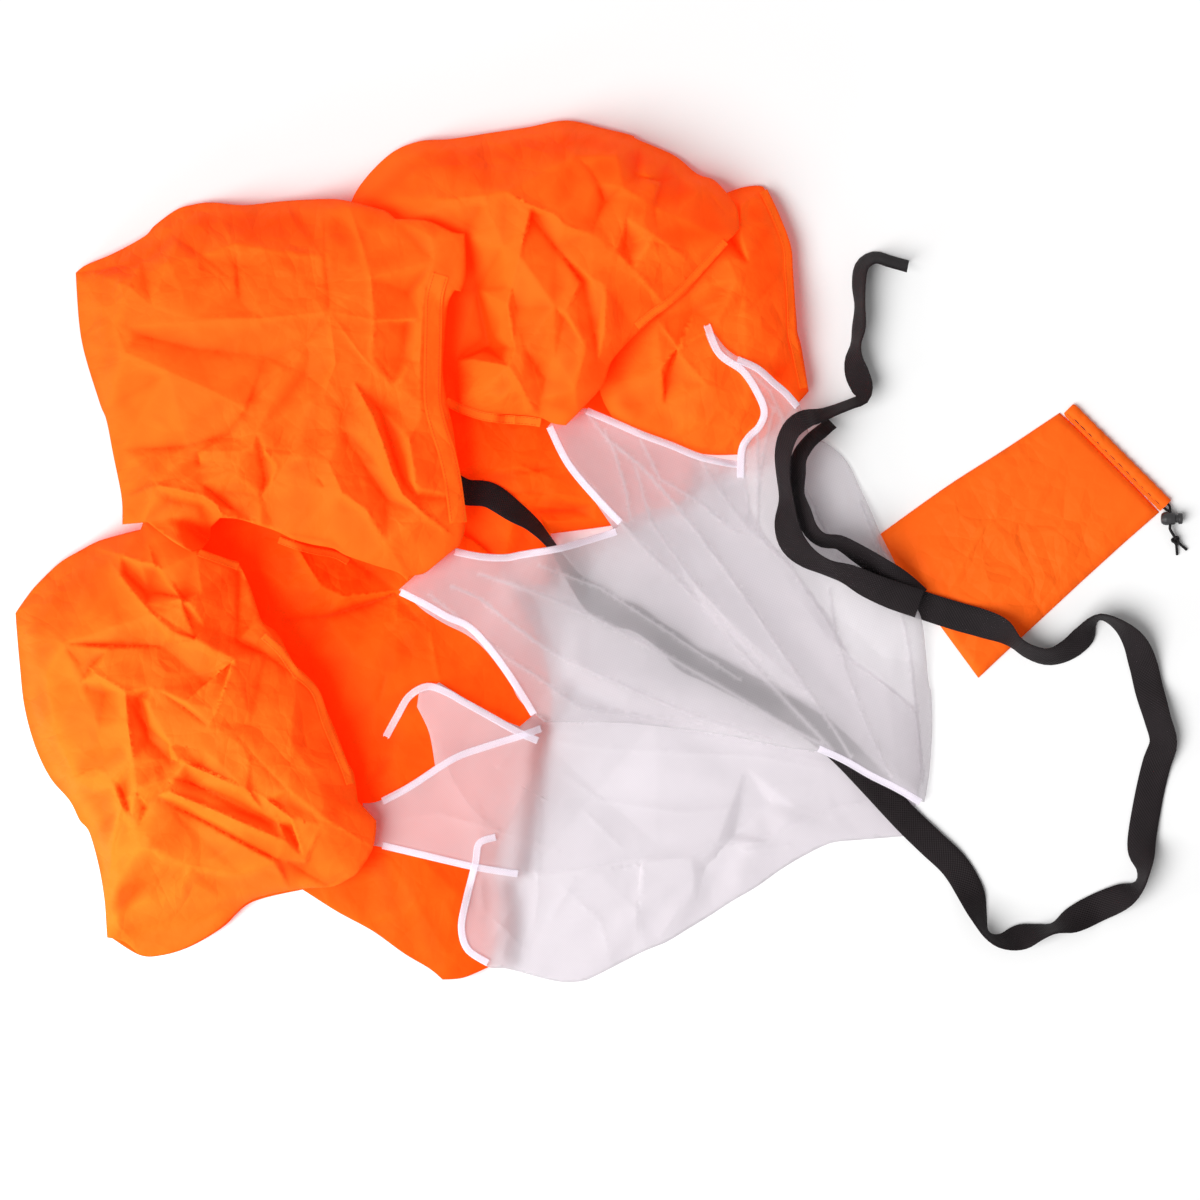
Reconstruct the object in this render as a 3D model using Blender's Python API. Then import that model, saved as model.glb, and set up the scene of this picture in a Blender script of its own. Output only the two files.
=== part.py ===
"""A speed parachute laid out on the ground, with its mesh star, tow strap, waist belt and storage bag.

Metres, +Z up. The origin is on the ground under the middle of the layout. +X runs from the canopy to the bag
and +Y away from the viewer. Each cloth is laid on the ones under it: it is raised until it just clears them.
"""

import math

import bmesh
import bpy
from mathutils import Vector
from mathutils.bvhtree import BVHTree

# The square of ground that the outlines and routes are shares of
HALF_LAYOUT_LENGTH = 0.525
LAYOUT_LENGTH = HALF_LAYOUT_LENGTH * 2

# How cloths lie on each other
LAY_GAP = 0.0004
LAY_ROUNDS = 8
CROSSING_ROUNDS = 24
SAMPLES_PER_SIDE = 4
SKY_HEIGHT = 1.0

# Canopy cloth
CANOPY_THICKNESS = 0.0014
UPPER_LEFT_CROWN = 0.085
UPPER_LEFT_FOLD = 0.012
TOP_CROWN = 0.100
TOP_FOLD = 0.014
RIGHT_CROWN = 0.050
RIGHT_FOLD = 0.008
LOWER_LEFT_CROWN = 0.090
LOWER_LEFT_FOLD = 0.014
INSIDE_LEFT_CROWN = 0.022
INSIDE_LEFT_FOLD = 0.010
INSIDE_RIGHT_CROWN = 0.024
INSIDE_RIGHT_FOLD = 0.008
LOBE_RINGS = 8
INSIDE_RINGS = 6
PUFF_POWER = 2.6
PUFF_ROUNDNESS_SHARE = 0.75

# Mesh star
MESH_THICKNESS = 0.0010
MESH_UPPER_CROWN = 0.018
MESH_UPPER_FOLD = 0.006
MESH_LOWER_CROWN = 0.0
MESH_LOWER_FOLD = 0.007
PETAL_LIFT = 0.012
PETAL_SAG_SHARE = 0.35

# White binding sewn on the mesh's edges
BINDING_WIDTH = 0.009
BINDING_THICKNESS = 0.0008
BINDING_STEP = 0.022

# Webbing of the tow strap and the waist belt
WEBBING_WIDTH = 0.030
WEBBING_THICKNESS = 0.0018
WEBBING_STEP = 0.014
ROUTE_SAMPLES = 40

# Storage bag, empty and flat
BAG_LENGTH = 0.263
BAG_WIDTH = 0.1825
BAG_TURN = math.radians(38.6)
BAG_BACK_THICKNESS = 0.0022
BAG_FRONT_RIM = 0.0016
BAG_FRONT_CROWN = 0.0045
BAG_RINGS = 5

# The drawstring channel along the bag's mouth
CHANNEL_LENGTH = 0.144
CHANNEL_WIDTH = 0.016
CHANNEL_HEIGHT = 0.0076
CHANNEL_TURN = math.radians(-45.0)
CHANNEL_END_WALL = 0.004
CHANNEL_BORE_WIDTH = 0.0100
CHANNEL_BORE_HEIGHT = 0.0044
CHANNEL_BEVEL = 0.0024
CHANNEL_SEAM_GAP = 0.0006

# Drawcord: both strands lie side by side in the channel and one over the other in the lock
DRAWCORD_DIAMETER = 0.0028
STRAND_SPREAD = 0.0052
STRAND_STACK = 0.0031
DRAWCORD_STEP = 0.0050

# Knot under the lock, with the cord's two tails
KNOT_WIDTH = 0.0105
KNOT_LENGTH = 0.0115
KNOT_HEIGHT = 0.0085
KNOT_TAIL_LENGTH = 0.0095
KNOT_TAIL_SPREAD = math.radians(22.0)
KNOT_TURN = math.radians(28.0)

# Cord lock: barrel, sprung plunger and spring, on an axis along X
LOCK_AXIS_HEIGHT = 0.0070
BARREL_LENGTH = 0.0150
BARREL_RADIUS = 0.0070
BARREL_END_RADIUS = 0.0052
BARREL_BORE_RADIUS = 0.0045
BARREL_FLOOR = 0.0016
CORD_HOLE_PLACE = 0.0095
CORD_HOLE_WIDTH = 0.0040
CORD_HOLE_HEIGHT = 0.0068
LOCK_SLIDE = 0.0040
PLUNGER_CLEARANCE = 0.0003
PLUNGER_TRAVEL = 0.0028
PLUNGER_END_WALL = 0.0012
PLUNGER_HEAD_LENGTH = 0.0044
PLUNGER_HEAD_RADIUS = 0.0058
PLUNGER_HEAD_ROUND = 0.0012
SPRING_WIRE = 0.00045
SPRING_RADIUS = 0.0031
SPRING_TURNS = 2.5
SPRING_POINTS_PER_TURN = 12

ROUND_SIDES = 24
CUT_OVERRUN = 0.001
SEAT_GAP = 0.0003

# Where the bag lies, in shares of the layout length, and the middle of its panels' mouth edge, in shares of the
# bag's length and width
BAG_PLACE_SHARES = (0.4285, 0.0222)
MOUTH_EDGE_SHARES = (0.4360, -0.0050)

# Where the lock lies from the channel's open end, and the knot from the lock
LOCK_OFFSET = (0.0024, -0.0136)
KNOT_OFFSET = (0.0083, -0.0230)

# Outlines: x and y in shares of the layout length, then the rim's height and the fold there, in shares of the
# crown and of the fold height. The first row is the point that the rings close in on.
UPPER_LEFT_SHARES = (
    (-0.261, 0.236),
    (-0.520, 0.279, 0.00, 0.0),
    (-0.450, 0.316, 0.00, 0.6),
    (-0.417, 0.342, 0.00, -0.5),
    (-0.385, 0.349, 0.00, 0.4),
    (-0.311, 0.350, 0.03, -0.3),
    (-0.251, 0.349, 0.12, 0.9),
    (-0.198, 0.329, 0.35, -0.4),
    (-0.168, 0.326, 0.50, 0.3),
    (-0.140, 0.314, 0.62, 0.5),
    (-0.129, 0.312, 0.62, 0.3),
    (-0.128, 0.273, 0.66, 0.0),
    (-0.133, 0.256, 0.70, -0.4),
    (-0.145, 0.249, 0.76, -0.2),
    (-0.150, 0.203, 0.80, 0.7),
    (-0.147, 0.150, 0.76, -0.3),
    (-0.142, 0.123, 0.72, 0.8),
    (-0.135, 0.070, 0.66, -0.5),
    (-0.129, 0.044, 0.62, -0.9),
    (-0.129, 0.021, 0.58, 0.2),
    (-0.142, 0.006, 0.56, 0.6),
    (-0.161, -0.015, 0.52, 0.3),
    (-0.183, -0.023, 0.50, -0.4),
    (-0.188, -0.033, 0.50, 0.0),
    (-0.245, -0.009, 0.56, 0.9),
    (-0.274, 0.004, 0.60, -0.6),
    (-0.299, 0.012, 0.62, 0.5),
    (-0.328, 0.023, 0.60, -0.8),
    (-0.373, 0.027, 0.58, 1.0),
    (-0.411, 0.030, 0.54, -0.6),
    (-0.447, 0.026, 0.46, 0.4),
    (-0.471, 0.027, 0.30, -0.2),
    (-0.472, 0.057, 0.20, 0.7),
    (-0.480, 0.087, 0.14, -0.5),
    (-0.497, 0.157, 0.05, 0.8),
    (-0.515, 0.210, 0.00, -0.3),
)
TOP_SHARES = (
    (-0.021, 0.297),
    (-0.250, 0.350, 0.00, 0.0),
    (-0.231, 0.372, 0.00, 0.3),
    (-0.205, 0.398, 0.00, -0.2),
    (-0.177, 0.410, 0.00, 0.4),
    (-0.113, 0.417, 0.00, -0.3),
    (-0.062, 0.425, 0.00, 0.5),
    (-0.030, 0.430, 0.00, 0.9),
    (-0.011, 0.427, 0.00, -0.5),
    (0.034, 0.415, 0.00, 1.0),
    (0.078, 0.395, 0.00, -0.4),
    (0.101, 0.377, 0.05, 0.6),
    (0.117, 0.371, 0.12, 0.2),
    (0.129, 0.358, 0.22, -0.5),
    (0.141, 0.315, 0.46, 0.9),
    (0.117, 0.293, 0.50, -0.2),
    (0.072, 0.242, 0.56, -0.9),
    (0.040, 0.222, 0.56, 0.5),
    (0.015, 0.187, 0.52, 0.8),
    (0.007, 0.165, 0.50, -0.3),
    (-0.011, 0.144, 0.46, 0.4),
    (-0.030, 0.125, 0.42, 0.7),
    (-0.043, 0.127, 0.42, 0.0),
    (-0.057, 0.133, 0.42, -0.8),
    (-0.086, 0.136, 0.42, 0.9),
    (-0.119, 0.138, 0.34, 0.2),
    (-0.145, 0.147, 0.28, -0.9),
    (-0.171, 0.157, 0.22, -0.9),
    (-0.196, 0.202, 0.15, -0.7),
    (-0.221, 0.262, 0.10, -0.6),
    (-0.244, 0.317, 0.05, -0.3),
)
RIGHT_SHARES = (
    (0.124, 0.222),
    (0.104, 0.370, 0.00, 0.2),
    (0.129, 0.358, 0.00, -0.4),
    (0.145, 0.363, 0.00, 0.8),
    (0.168, 0.365, 0.00, 0.3),
    (0.180, 0.344, 0.00, 0.9),
    (0.193, 0.309, 0.00, 0.4),
    (0.200, 0.254, 0.00, -0.6),
    (0.203, 0.210, 0.06, 0.5),
    (0.209, 0.181, 0.12, -0.3),
    (0.211, 0.160, 0.22, 0.2),
    (0.203, 0.152, 0.28, -0.3),
    (0.174, 0.120, 0.26, 0.6),
    (0.144, 0.097, 0.22, -0.5),
    (0.104, 0.098, 0.18, 0.9),
    (0.052, 0.115, 0.14, -0.7),
    (0.021, 0.126, 0.12, 0.3),
    (0.004, 0.160, 0.10, 0.0),
    (0.004, 0.212, 0.10, 0.3),
    (0.044, 0.302, 0.10, 0.0),
    (0.084, 0.352, 0.04, 0.2),
)
LOWER_LEFT_SHARES = (
    (-0.381, -0.163),
    (-0.580, -0.061, 0.00, 0.3),
    (-0.558, -0.032, 0.00, -0.3),
    (-0.532, -0.009, 0.00, 0.5),
    (-0.497, 0.011, 0.08, -0.6),
    (-0.475, 0.020, 0.16, 0.5),
    (-0.452, 0.040, 0.26, -0.4),
    (-0.410, 0.046, 0.36, 0.7),
    (-0.381, 0.024, 0.46, 0.2),
    (-0.354, -0.012, 0.55, -0.8),
    (-0.331, -0.066, 0.60, 0.8),
    (-0.315, -0.082, 0.60, -0.5),
    (-0.282, -0.130, 0.60, 0.9),
    (-0.261, -0.184, 0.56, -0.3),
    (-0.242, -0.219, 0.52, 0.6),
    (-0.237, -0.248, 0.48, -0.6),
    (-0.218, -0.267, 0.44, 0.8),
    (-0.220, -0.299, 0.42, -0.4),
    (-0.236, -0.324, 0.38, 0.3),
    (-0.264, -0.329, 0.36, -1.0),
    (-0.325, -0.337, 0.30, 1.0),
    (-0.396, -0.351, 0.24, -0.9),
    (-0.469, -0.366, 0.18, 0.8),
    (-0.488, -0.385, 0.10, 0.2),
    (-0.494, -0.318, 0.00, -0.7),
    (-0.505, -0.280, 0.00, 0.7),
    (-0.519, -0.254, 0.00, -0.5),
    (-0.539, -0.232, 0.00, 0.6),
    (-0.555, -0.203, 0.00, -0.4),
    (-0.569, -0.155, 0.00, 0.5),
    (-0.574, -0.114, 0.00, -0.4),
)
INSIDE_LEFT_SHARES = (
    (-0.246, -0.168),
    (-0.346, 0.052, 0.0, 0.0),
    (-0.266, 0.052, 0.0, 0.4),
    (-0.176, 0.032, 0.0, -0.3),
    (-0.116, 0.007, 0.0, 0.7),
    (-0.076, -0.048, 0.0, -0.5),
    (-0.051, -0.108, 0.0, 0.8),
    (-0.046, -0.171, 0.0, -0.4),
    (-0.076, -0.248, 0.0, 0.6),
    (-0.101, -0.308, 0.0, -0.3),
    (-0.096, -0.358, 0.0, 0.5),
    (-0.106, -0.414, 0.2, 0.2),
    (-0.132, -0.425, 0.3, -0.4),
    (-0.153, -0.427, 0.3, 0.8),
    (-0.166, -0.416, 0.3, -0.6),
    (-0.191, -0.401, 0.4, 0.9),
    (-0.223, -0.378, 0.5, -0.5),
    (-0.258, -0.359, 0.4, 0.8),
    (-0.293, -0.337, 0.3, -0.3),
    (-0.344, -0.350, 0.2, 0.4),
    (-0.373, -0.375, 0.2, -0.3),
    (-0.405, -0.394, 0.1, 0.4),
    (-0.433, -0.403, 0.0, 0.0),
    (-0.456, -0.403, 0.0, 0.3),
    (-0.484, -0.386, 0.0, 0.0),
    (-0.471, -0.348, 0.0, 0.2),
    (-0.446, -0.248, 0.0, 0.0),
    (-0.416, -0.148, 0.0, 0.2),
    (-0.386, -0.048, 0.0, 0.0),
)
INSIDE_RIGHT_SHARES = (
    (-0.056, 0.082),
    (-0.196, 0.172, 0.0, 0.0),
    (-0.126, 0.182, 0.0, 0.6),
    (-0.036, 0.182, 0.0, -0.4),
    (0.044, 0.152, 0.0, 0.5),
    (0.094, 0.112, 0.1, -0.3),
    (0.096, 0.072, 0.2, 0.6),
    (0.084, 0.047, 0.3, -0.4),
    (0.044, 0.039, 0.3, 0.9),
    (0.024, 0.028, 0.3, -0.5),
    (-0.045, 0.018, 0.3, 0.5),
    (-0.046, -0.032, 0.2, -0.6),
    (-0.096, -0.031, 0.1, 0.7),
    (-0.156, -0.008, 0.0, -0.4),
    (-0.176, 0.072, 0.0, 0.4),
)
MESH_UPPER_SHARES = (
    (0.285, -0.185),
    (0.024, 0.030, 0.5, 0.4),
    (0.084, 0.062, 0.5, -0.4),
    (0.142, 0.084, 0.4, 0.5),
    (0.179, 0.097, 0.3, -0.5),
    (0.213, 0.110, 0.2, 0.3),
    (0.228, 0.110, 0.1, -0.2),
    (0.244, 0.098, 0.0, 0.4),
    (0.262, 0.070, 0.0, -0.5),
    (0.275, 0.045, 0.0, 0.8),
    (0.283, 0.023, 0.0, -0.3),
    (0.306, -0.028, 0.0, 0.5),
    (0.326, -0.073, 0.0, -0.4),
    (0.332, -0.128, 0.0, 0.3),
    (0.335, -0.142, 0.0, 0.0),
    (0.334, -0.209, 0.0, 0.4),
    (0.330, -0.244, 0.1, 0.0),
    (0.326, -0.254, 0.2, -0.2),
    (0.301, -0.238, 0.3, 0.4),
    (0.273, -0.223, 0.4, 0.6),
    (0.250, -0.210, 0.5, 0.6),
    (0.235, -0.214, 0.5, 0.3),
    (0.189, -0.205, 0.5, -0.3),
    (0.087, -0.159, 0.5, 0.5),
    (0.041, -0.144, 0.5, -0.4),
    (-0.032, -0.109, 0.5, 0.6),
    (-0.016, -0.048, 0.5, -0.3),
    (0.004, -0.008, 0.5, 0.3),
)
MESH_LOWER_SHARES = (
    (0.164, -0.248),
    (-0.046, -0.104, 0.0, 0.4),
    (0.024, -0.112, 0.0, 0.0),
    (0.104, -0.128, 0.0, 0.0),
    (0.204, -0.168, 0.0, 0.0),
    (0.294, -0.208, 0.0, 0.0),
    (0.319, -0.258, 0.0, 0.0),
    (0.310, -0.284, 0.0, 0.0),
    (0.286, -0.285, 0.0, 0.0),
    (0.232, -0.292, 0.0, 0.6),
    (0.184, -0.317, 0.0, 0.0),
    (0.136, -0.351, 0.0, 0.8),
    (0.090, -0.376, 0.0, 0.0),
    (0.054, -0.402, 0.0, 0.9),
    (0.001, -0.426, 0.0, 0.0),
    (-0.032, -0.430, 0.0, 0.7),
    (-0.063, -0.426, 0.0, 0.0),
    (-0.091, -0.416, 0.0, 0.6),
    (-0.091, -0.373, 0.0, 0.0),
    (-0.084, -0.328, 0.0, 0.7),
    (-0.071, -0.248, 0.0, 0.0),
    (-0.053, -0.174, 0.0, 0.5),
)

# Petals: rows from the sewn point to the star. Each holds the left side's x and y, the right side's x and y
# and the height in shares of the petal's lift.
PETAL_TOP_SHARES = (
    (-0.048, 0.133, -0.012, 0.148, 1.00),
    (-0.040, 0.108, 0.020, 0.126, 1.00),
    (-0.027, 0.085, 0.052, 0.115, 0.95),
    (-0.014, 0.070, 0.078, 0.106, 0.90),
    (0.000, 0.055, 0.103, 0.098, 0.85),
    (0.012, 0.042, 0.122, 0.094, 0.80),
    (0.026, 0.030, 0.140, 0.086, 0.80),
)
PETAL_RIGHT_SHARES = (
    (0.108, 0.216, 0.117, 0.216, 1.60),
    (0.116, 0.198, 0.130, 0.200, 1.60),
    (0.126, 0.190, 0.144, 0.191, 1.55),
    (0.146, 0.176, 0.159, 0.184, 1.50),
    (0.162, 0.153, 0.176, 0.169, 1.40),
    (0.166, 0.137, 0.188, 0.161, 1.30),
    (0.160, 0.124, 0.201, 0.148, 1.10),
    (0.150, 0.114, 0.208, 0.130, 0.90),
    (0.143, 0.102, 0.214, 0.114, 0.70),
    (0.142, 0.074, 0.186, 0.096, 0.60),
)
PETAL_LEFT_SHARES = (
    (-0.196, -0.038, -0.139, 0.004, 1.00),
    (-0.170, -0.055, -0.114, -0.003, 1.00),
    (-0.147, -0.068, -0.090, -0.003, 1.00),
    (-0.127, -0.077, -0.073, 0.000, 1.00),
    (-0.111, -0.093, -0.055, 0.003, 1.00),
    (-0.088, -0.124, -0.037, 0.006, 1.00),
    (-0.076, -0.147, -0.012, 0.013, 1.00),
    (-0.065, -0.165, 0.004, 0.018, 1.00),
    (-0.050, -0.171, 0.024, 0.023, 1.00),
)
PETAL_INNER_SHARES = (
    (-0.176, -0.140, -0.156, -0.130, 1.0),
    (-0.178, -0.154, -0.150, -0.137, 1.0),
    (-0.166, -0.180, -0.132, -0.147, 1.0),
    (-0.157, -0.205, -0.114, -0.157, 1.0),
    (-0.139, -0.241, -0.096, -0.167, 0.9),
    (-0.122, -0.264, -0.078, -0.178, 0.8),
    (-0.100, -0.275, -0.053, -0.188, 0.8),
)
PETAL_LOWER_LEFT_SHARES = (
    (-0.234, -0.291, -0.232, -0.250, 1.0),
    (-0.216, -0.293, -0.216, -0.248, 1.0),
    (-0.193, -0.299, -0.185, -0.231, 1.0),
    (-0.170, -0.305, -0.164, -0.217, 1.0),
    (-0.144, -0.311, -0.142, -0.203, 0.9),
    (-0.119, -0.317, -0.110, -0.192, 0.9),
    (-0.096, -0.320, -0.078, -0.182, 0.8),
    (-0.073, -0.324, -0.053, -0.173, 0.8),
)
PETAL_BOTTOM_SHARES = (
    (-0.118, -0.288, -0.104, -0.286, 1.0),
    (-0.120, -0.306, -0.096, -0.302, 1.0),
    (-0.124, -0.326, -0.089, -0.320, 1.0),
    (-0.133, -0.348, -0.084, -0.348, 1.0),
    (-0.137, -0.376, -0.082, -0.376, 0.9),
    (-0.131, -0.398, -0.083, -0.398, 0.8),
    (-0.108, -0.414, -0.084, -0.416, 0.6),
)

# Bindings: routes along the mesh's edges, in shares of the layout length
BINDING_ROUTE_SHARES = {
    "binding_top_left": ((-0.046, 0.124), (-0.028, 0.088), (-0.002, 0.056), (0.024, 0.029)),
    "binding_top_right": ((0.008, 0.128), (0.050, 0.113), (0.101, 0.096), (0.136, 0.088)),
    "binding_right_tail": (
        (0.110, 0.224), (0.122, 0.196), (0.146, 0.178), (0.161, 0.155), (0.167, 0.138), (0.162, 0.124),
        (0.152, 0.114), (0.145, 0.101), (0.144, 0.074),
    ),
    "binding_right_edge": ((0.140, 0.190), (0.160, 0.181), (0.176, 0.167), (0.187, 0.158), (0.200, 0.144)),
    "binding_left_upper": (
        (-0.140, 0.000), (-0.114, -0.005), (-0.090, -0.006), (-0.073, -0.003), (-0.037, 0.003),
        (-0.012, 0.010), (0.020, 0.020),
    ),
    "binding_left_lower": (
        (-0.194, -0.040), (-0.170, -0.052), (-0.147, -0.065), (-0.127, -0.074), (-0.109, -0.092),
        (-0.086, -0.123), (-0.062, -0.162),
    ),
    "binding_inner_tail": (
        (-0.209, -0.184), (-0.198, -0.164), (-0.186, -0.144), (-0.168, -0.134), (-0.150, -0.139),
        (-0.132, -0.149), (-0.114, -0.159), (-0.080, -0.178), (-0.058, -0.188),
    ),
    "binding_lower_left_upper": (
        (-0.212, -0.248), (-0.184, -0.233), (-0.142, -0.206), (-0.110, -0.194), (-0.078, -0.184),
        (-0.055, -0.176),
    ),
    "binding_lower_left_lower": ((-0.212, -0.292), (-0.170, -0.302), (-0.119, -0.314), (-0.078, -0.321)),
    "binding_bottom_loop": (
        (-0.100, -0.284), (-0.116, -0.290), (-0.120, -0.310), (-0.129, -0.346), (-0.134, -0.374),
        (-0.128, -0.396), (-0.108, -0.410),
    ),
    "binding_mouth": ((0.222, -0.196), (0.248, -0.208), (0.274, -0.223), (0.300, -0.236), (0.324, -0.250)),
}

# Webbing routes: x and y in shares of the layout length, the lift of the middle line in shares of the webbing's
# width and the tilt across its run in shares of a quarter turn
TOW_STRAP_ROUTE_SHARES = (
    (-0.176, 0.076, 0.2, 0.00),
    (-0.150, 0.068, 0.2, 0.00),
    (-0.124, 0.058, 0.2, 0.10),
    (-0.098, 0.047, 0.2, 0.30),
    (-0.072, 0.034, 0.3, 0.40),
    (-0.052, 0.016, 0.3, 0.55),
    (-0.034, -0.010, 0.3, 0.65),
    (-0.017, -0.034, 0.2, 0.45),
    (0.002, -0.053, 0.2, 0.15),
    (0.016, -0.060, 0.2, 0.10),
    (0.038, -0.066, 0.2, 0.30),
    (0.056, -0.078, 0.2, 0.45),
    (0.076, -0.092, 0.2, 0.30),
    (0.092, -0.107, 0.2, 0.10),
    (0.114, -0.117, 0.2, 0.10),
    (0.144, -0.133, 0.2, 0.15),
    (0.174, -0.149, 0.2, 0.20),
    (0.200, -0.164, 0.2, 0.15),
    (0.224, -0.180, 0.2, 0.10),
    (0.250, -0.203, 0.2, 0.10),
    (0.278, -0.233, 0.2, 0.15),
    (0.310, -0.267, 0.2, 0.10),
    (0.334, -0.290, 0.2, 0.00),
    (0.358, -0.313, 0.1, 0.00),
    (0.373, -0.338, 0.1, 0.15),
    (0.381, -0.362, 0.3, 0.55),
    (0.389, -0.382, 0.5, 0.85),
    (0.404, -0.389, 0.4, 0.70),
    (0.424, -0.385, 0.3, 0.35),
    (0.442, -0.380, 0.4, 0.65),
    (0.458, -0.376, 0.5, 0.80),
    (0.476, -0.368, 0.3, 0.35),
    (0.500, -0.356, 0.1, 0.05),
    (0.524, -0.345, 0.2, 0.30),
    (0.542, -0.334, 0.5, 0.80),
    (0.547, -0.318, 0.4, 0.75),
    (0.545, -0.292, 0.2, 0.15),
    (0.552, -0.248, 0.1, 0.00),
    (0.560, -0.213, 0.1, 0.05),
    (0.567, -0.190, 0.2, 0.25),
    (0.561, -0.166, 0.2, 0.30),
    (0.553, -0.138, 0.1, 0.10),
    (0.547, -0.113, 0.1, 0.15),
    (0.538, -0.090, 0.3, 0.45),
    (0.523, -0.073, 0.5, 0.75),
    (0.505, -0.064, 0.6, 0.88),
    (0.494, -0.070, 0.5, 0.72),
    (0.486, -0.084, 0.3, 0.40),
    (0.471, -0.097, 0.3, 0.45),
    (0.452, -0.104, 0.4, 0.60),
    (0.433, -0.099, 0.4, 0.68),
    (0.418, -0.089, 0.4, 0.70),
    (0.404, -0.078, 0.3, 0.35),
    (0.385, -0.071, 0.3, 0.10),
    (0.360, -0.064, 0.3, 0.00),
    (0.335, -0.056, 0.2, 0.00),
    (0.312, -0.048, 0.2, 0.00),
    (0.293, -0.040, 0.2, 0.00),
)
SHORT_HALF_ROUTE_SHARES = (
    (0.322, -0.048, 0.5, 0.00),
    (0.300, -0.030, 0.5, 0.10),
    (0.276, -0.012, 0.5, 0.35),
    (0.256, -0.001, 0.5, 0.55),
    (0.236, 0.006, 0.5, 0.60),
    (0.219, 0.018, 0.5, 0.50),
    (0.207, 0.038, 0.5, 0.50),
    (0.200, 0.062, 0.4, 0.35),
    (0.202, 0.086, 0.4, 0.45),
    (0.212, 0.106, 0.4, 0.60),
    (0.224, 0.122, 0.4, 0.50),
)
LONG_HALF_ROUTE_SHARES = (
    (0.318, -0.054, 0.9, 0.00),
    (0.290, -0.044, 0.9, 0.05),
    (0.262, -0.030, 0.8, 0.15),
    (0.236, -0.013, 0.8, 0.20),
    (0.212, -0.004, 0.8, 0.35),
    (0.195, 0.012, 0.8, 0.45),
    (0.190, 0.034, 0.8, 0.45),
    (0.192, 0.062, 0.8, 0.20),
    (0.193, 0.090, 0.8, 0.10),
    (0.200, 0.114, 0.7, 0.20),
    (0.214, 0.128, 0.6, 0.15),
    (0.232, 0.134, 0.5, 0.10),
    (0.248, 0.146, 0.4, 0.40),
    (0.258, 0.158, 0.4, 0.75),
    (0.266, 0.172, 0.3, 0.70),
    (0.263, 0.190, 0.2, 0.50),
    (0.259, 0.207, 0.4, 0.70),
    (0.262, 0.224, 0.5, 0.76),
    (0.263, 0.243, 0.4, 0.70),
    (0.262, 0.262, 0.4, 0.68),
    (0.264, 0.280, 0.4, 0.66),
    (0.274, 0.293, 0.4, 0.66),
    (0.290, 0.291, 0.4, 0.66),
    (0.311, 0.284, 0.4, 0.64),
)

# Bag outline without its channel: along the bag in shares of its length, across in shares of its width
BAG_OUTLINE_SHARES = (
    (-0.486, 0.500),
    (-0.300, 0.488),
    (-0.100, 0.470),
    (0.130, 0.434),
    (0.400, 0.400),
    (0.418, 0.240),
    (0.436, 0.000),
    (0.452, -0.220),
    (0.463, -0.404),
    (0.280, -0.416),
    (0.060, -0.436),
    (-0.180, -0.462),
    (-0.400, -0.486),
    (-0.513, -0.500),
    (-0.506, -0.250),
    (-0.499, 0.000),
    (-0.492, 0.250),
)

ORANGE = (0.92, 0.17, 0.02, 1.0)
DEEP_ORANGE = (0.85, 0.08, 0.01, 1.0)
BAG_ORANGE = (0.90, 0.14, 0.02, 1.0)
SHEER_WHITE = (0.84, 0.82, 0.87, 1.0)
BINDING_WHITE = (0.92, 0.90, 0.93, 1.0)
WEBBING_BLACK = (0.022, 0.020, 0.022, 1.0)
CORD_BLACK = (0.018, 0.017, 0.018, 1.0)
PLASTIC_BLACK = (0.035, 0.033, 0.035, 1.0)
SPRING_STEEL = (0.55, 0.55, 0.56, 1.0)

DOWN = Vector((0.0, 0.0, -1.0))
UP = Vector((0.0, 0.0, 1.0))


def clear_scene():
    for obj in list(bpy.data.objects):
        bpy.data.objects.remove(obj)


def make_material(name, colour, roughness, metallic=0.0):
    """A plain Principled material for one kind of piece."""
    found = bpy.data.materials.get(name)
    if found:
        return found
    material = bpy.data.materials.new(name)
    material.use_nodes = True
    shader = material.node_tree.nodes["Principled BSDF"]
    shader.inputs["Base Color"].default_value = colour
    shader.inputs["Roughness"].default_value = roughness
    shader.inputs["Metallic"].default_value = metallic
    return material


def canopy_cloth():
    return make_material("canopy_cloth", ORANGE, 0.55)


def canopy_inside_cloth():
    return make_material("canopy_inside_cloth", DEEP_ORANGE, 0.60)


def mesh_cloth():
    return make_material("mesh_cloth", SHEER_WHITE, 0.65)


def binding_tape():
    return make_material("binding_tape", BINDING_WHITE, 0.70)


def webbing():
    return make_material("webbing", WEBBING_BLACK, 0.80)


def bag_cloth():
    return make_material("bag_cloth", BAG_ORANGE, 0.60)


def cord_braid():
    return make_material("cord_braid", CORD_BLACK, 0.75)


def lock_plastic():
    return make_material("lock_plastic", PLASTIC_BLACK, 0.35)


def spring_steel():
    return make_material("spring_steel", SPRING_STEEL, 0.30, 1.0)


def spot(x_share, y_share, height=0.0):
    """A place on the layout, from shares of its span."""
    return Vector((x_share * LAYOUT_LENGTH, y_share * LAYOUT_LENGTH, height))


def turned(vector, angle):
    return Vector(
        (
            vector.x * math.cos(angle) - vector.y * math.sin(angle),
            vector.x * math.sin(angle) + vector.y * math.cos(angle),
            vector.z,
        )
    )


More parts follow.
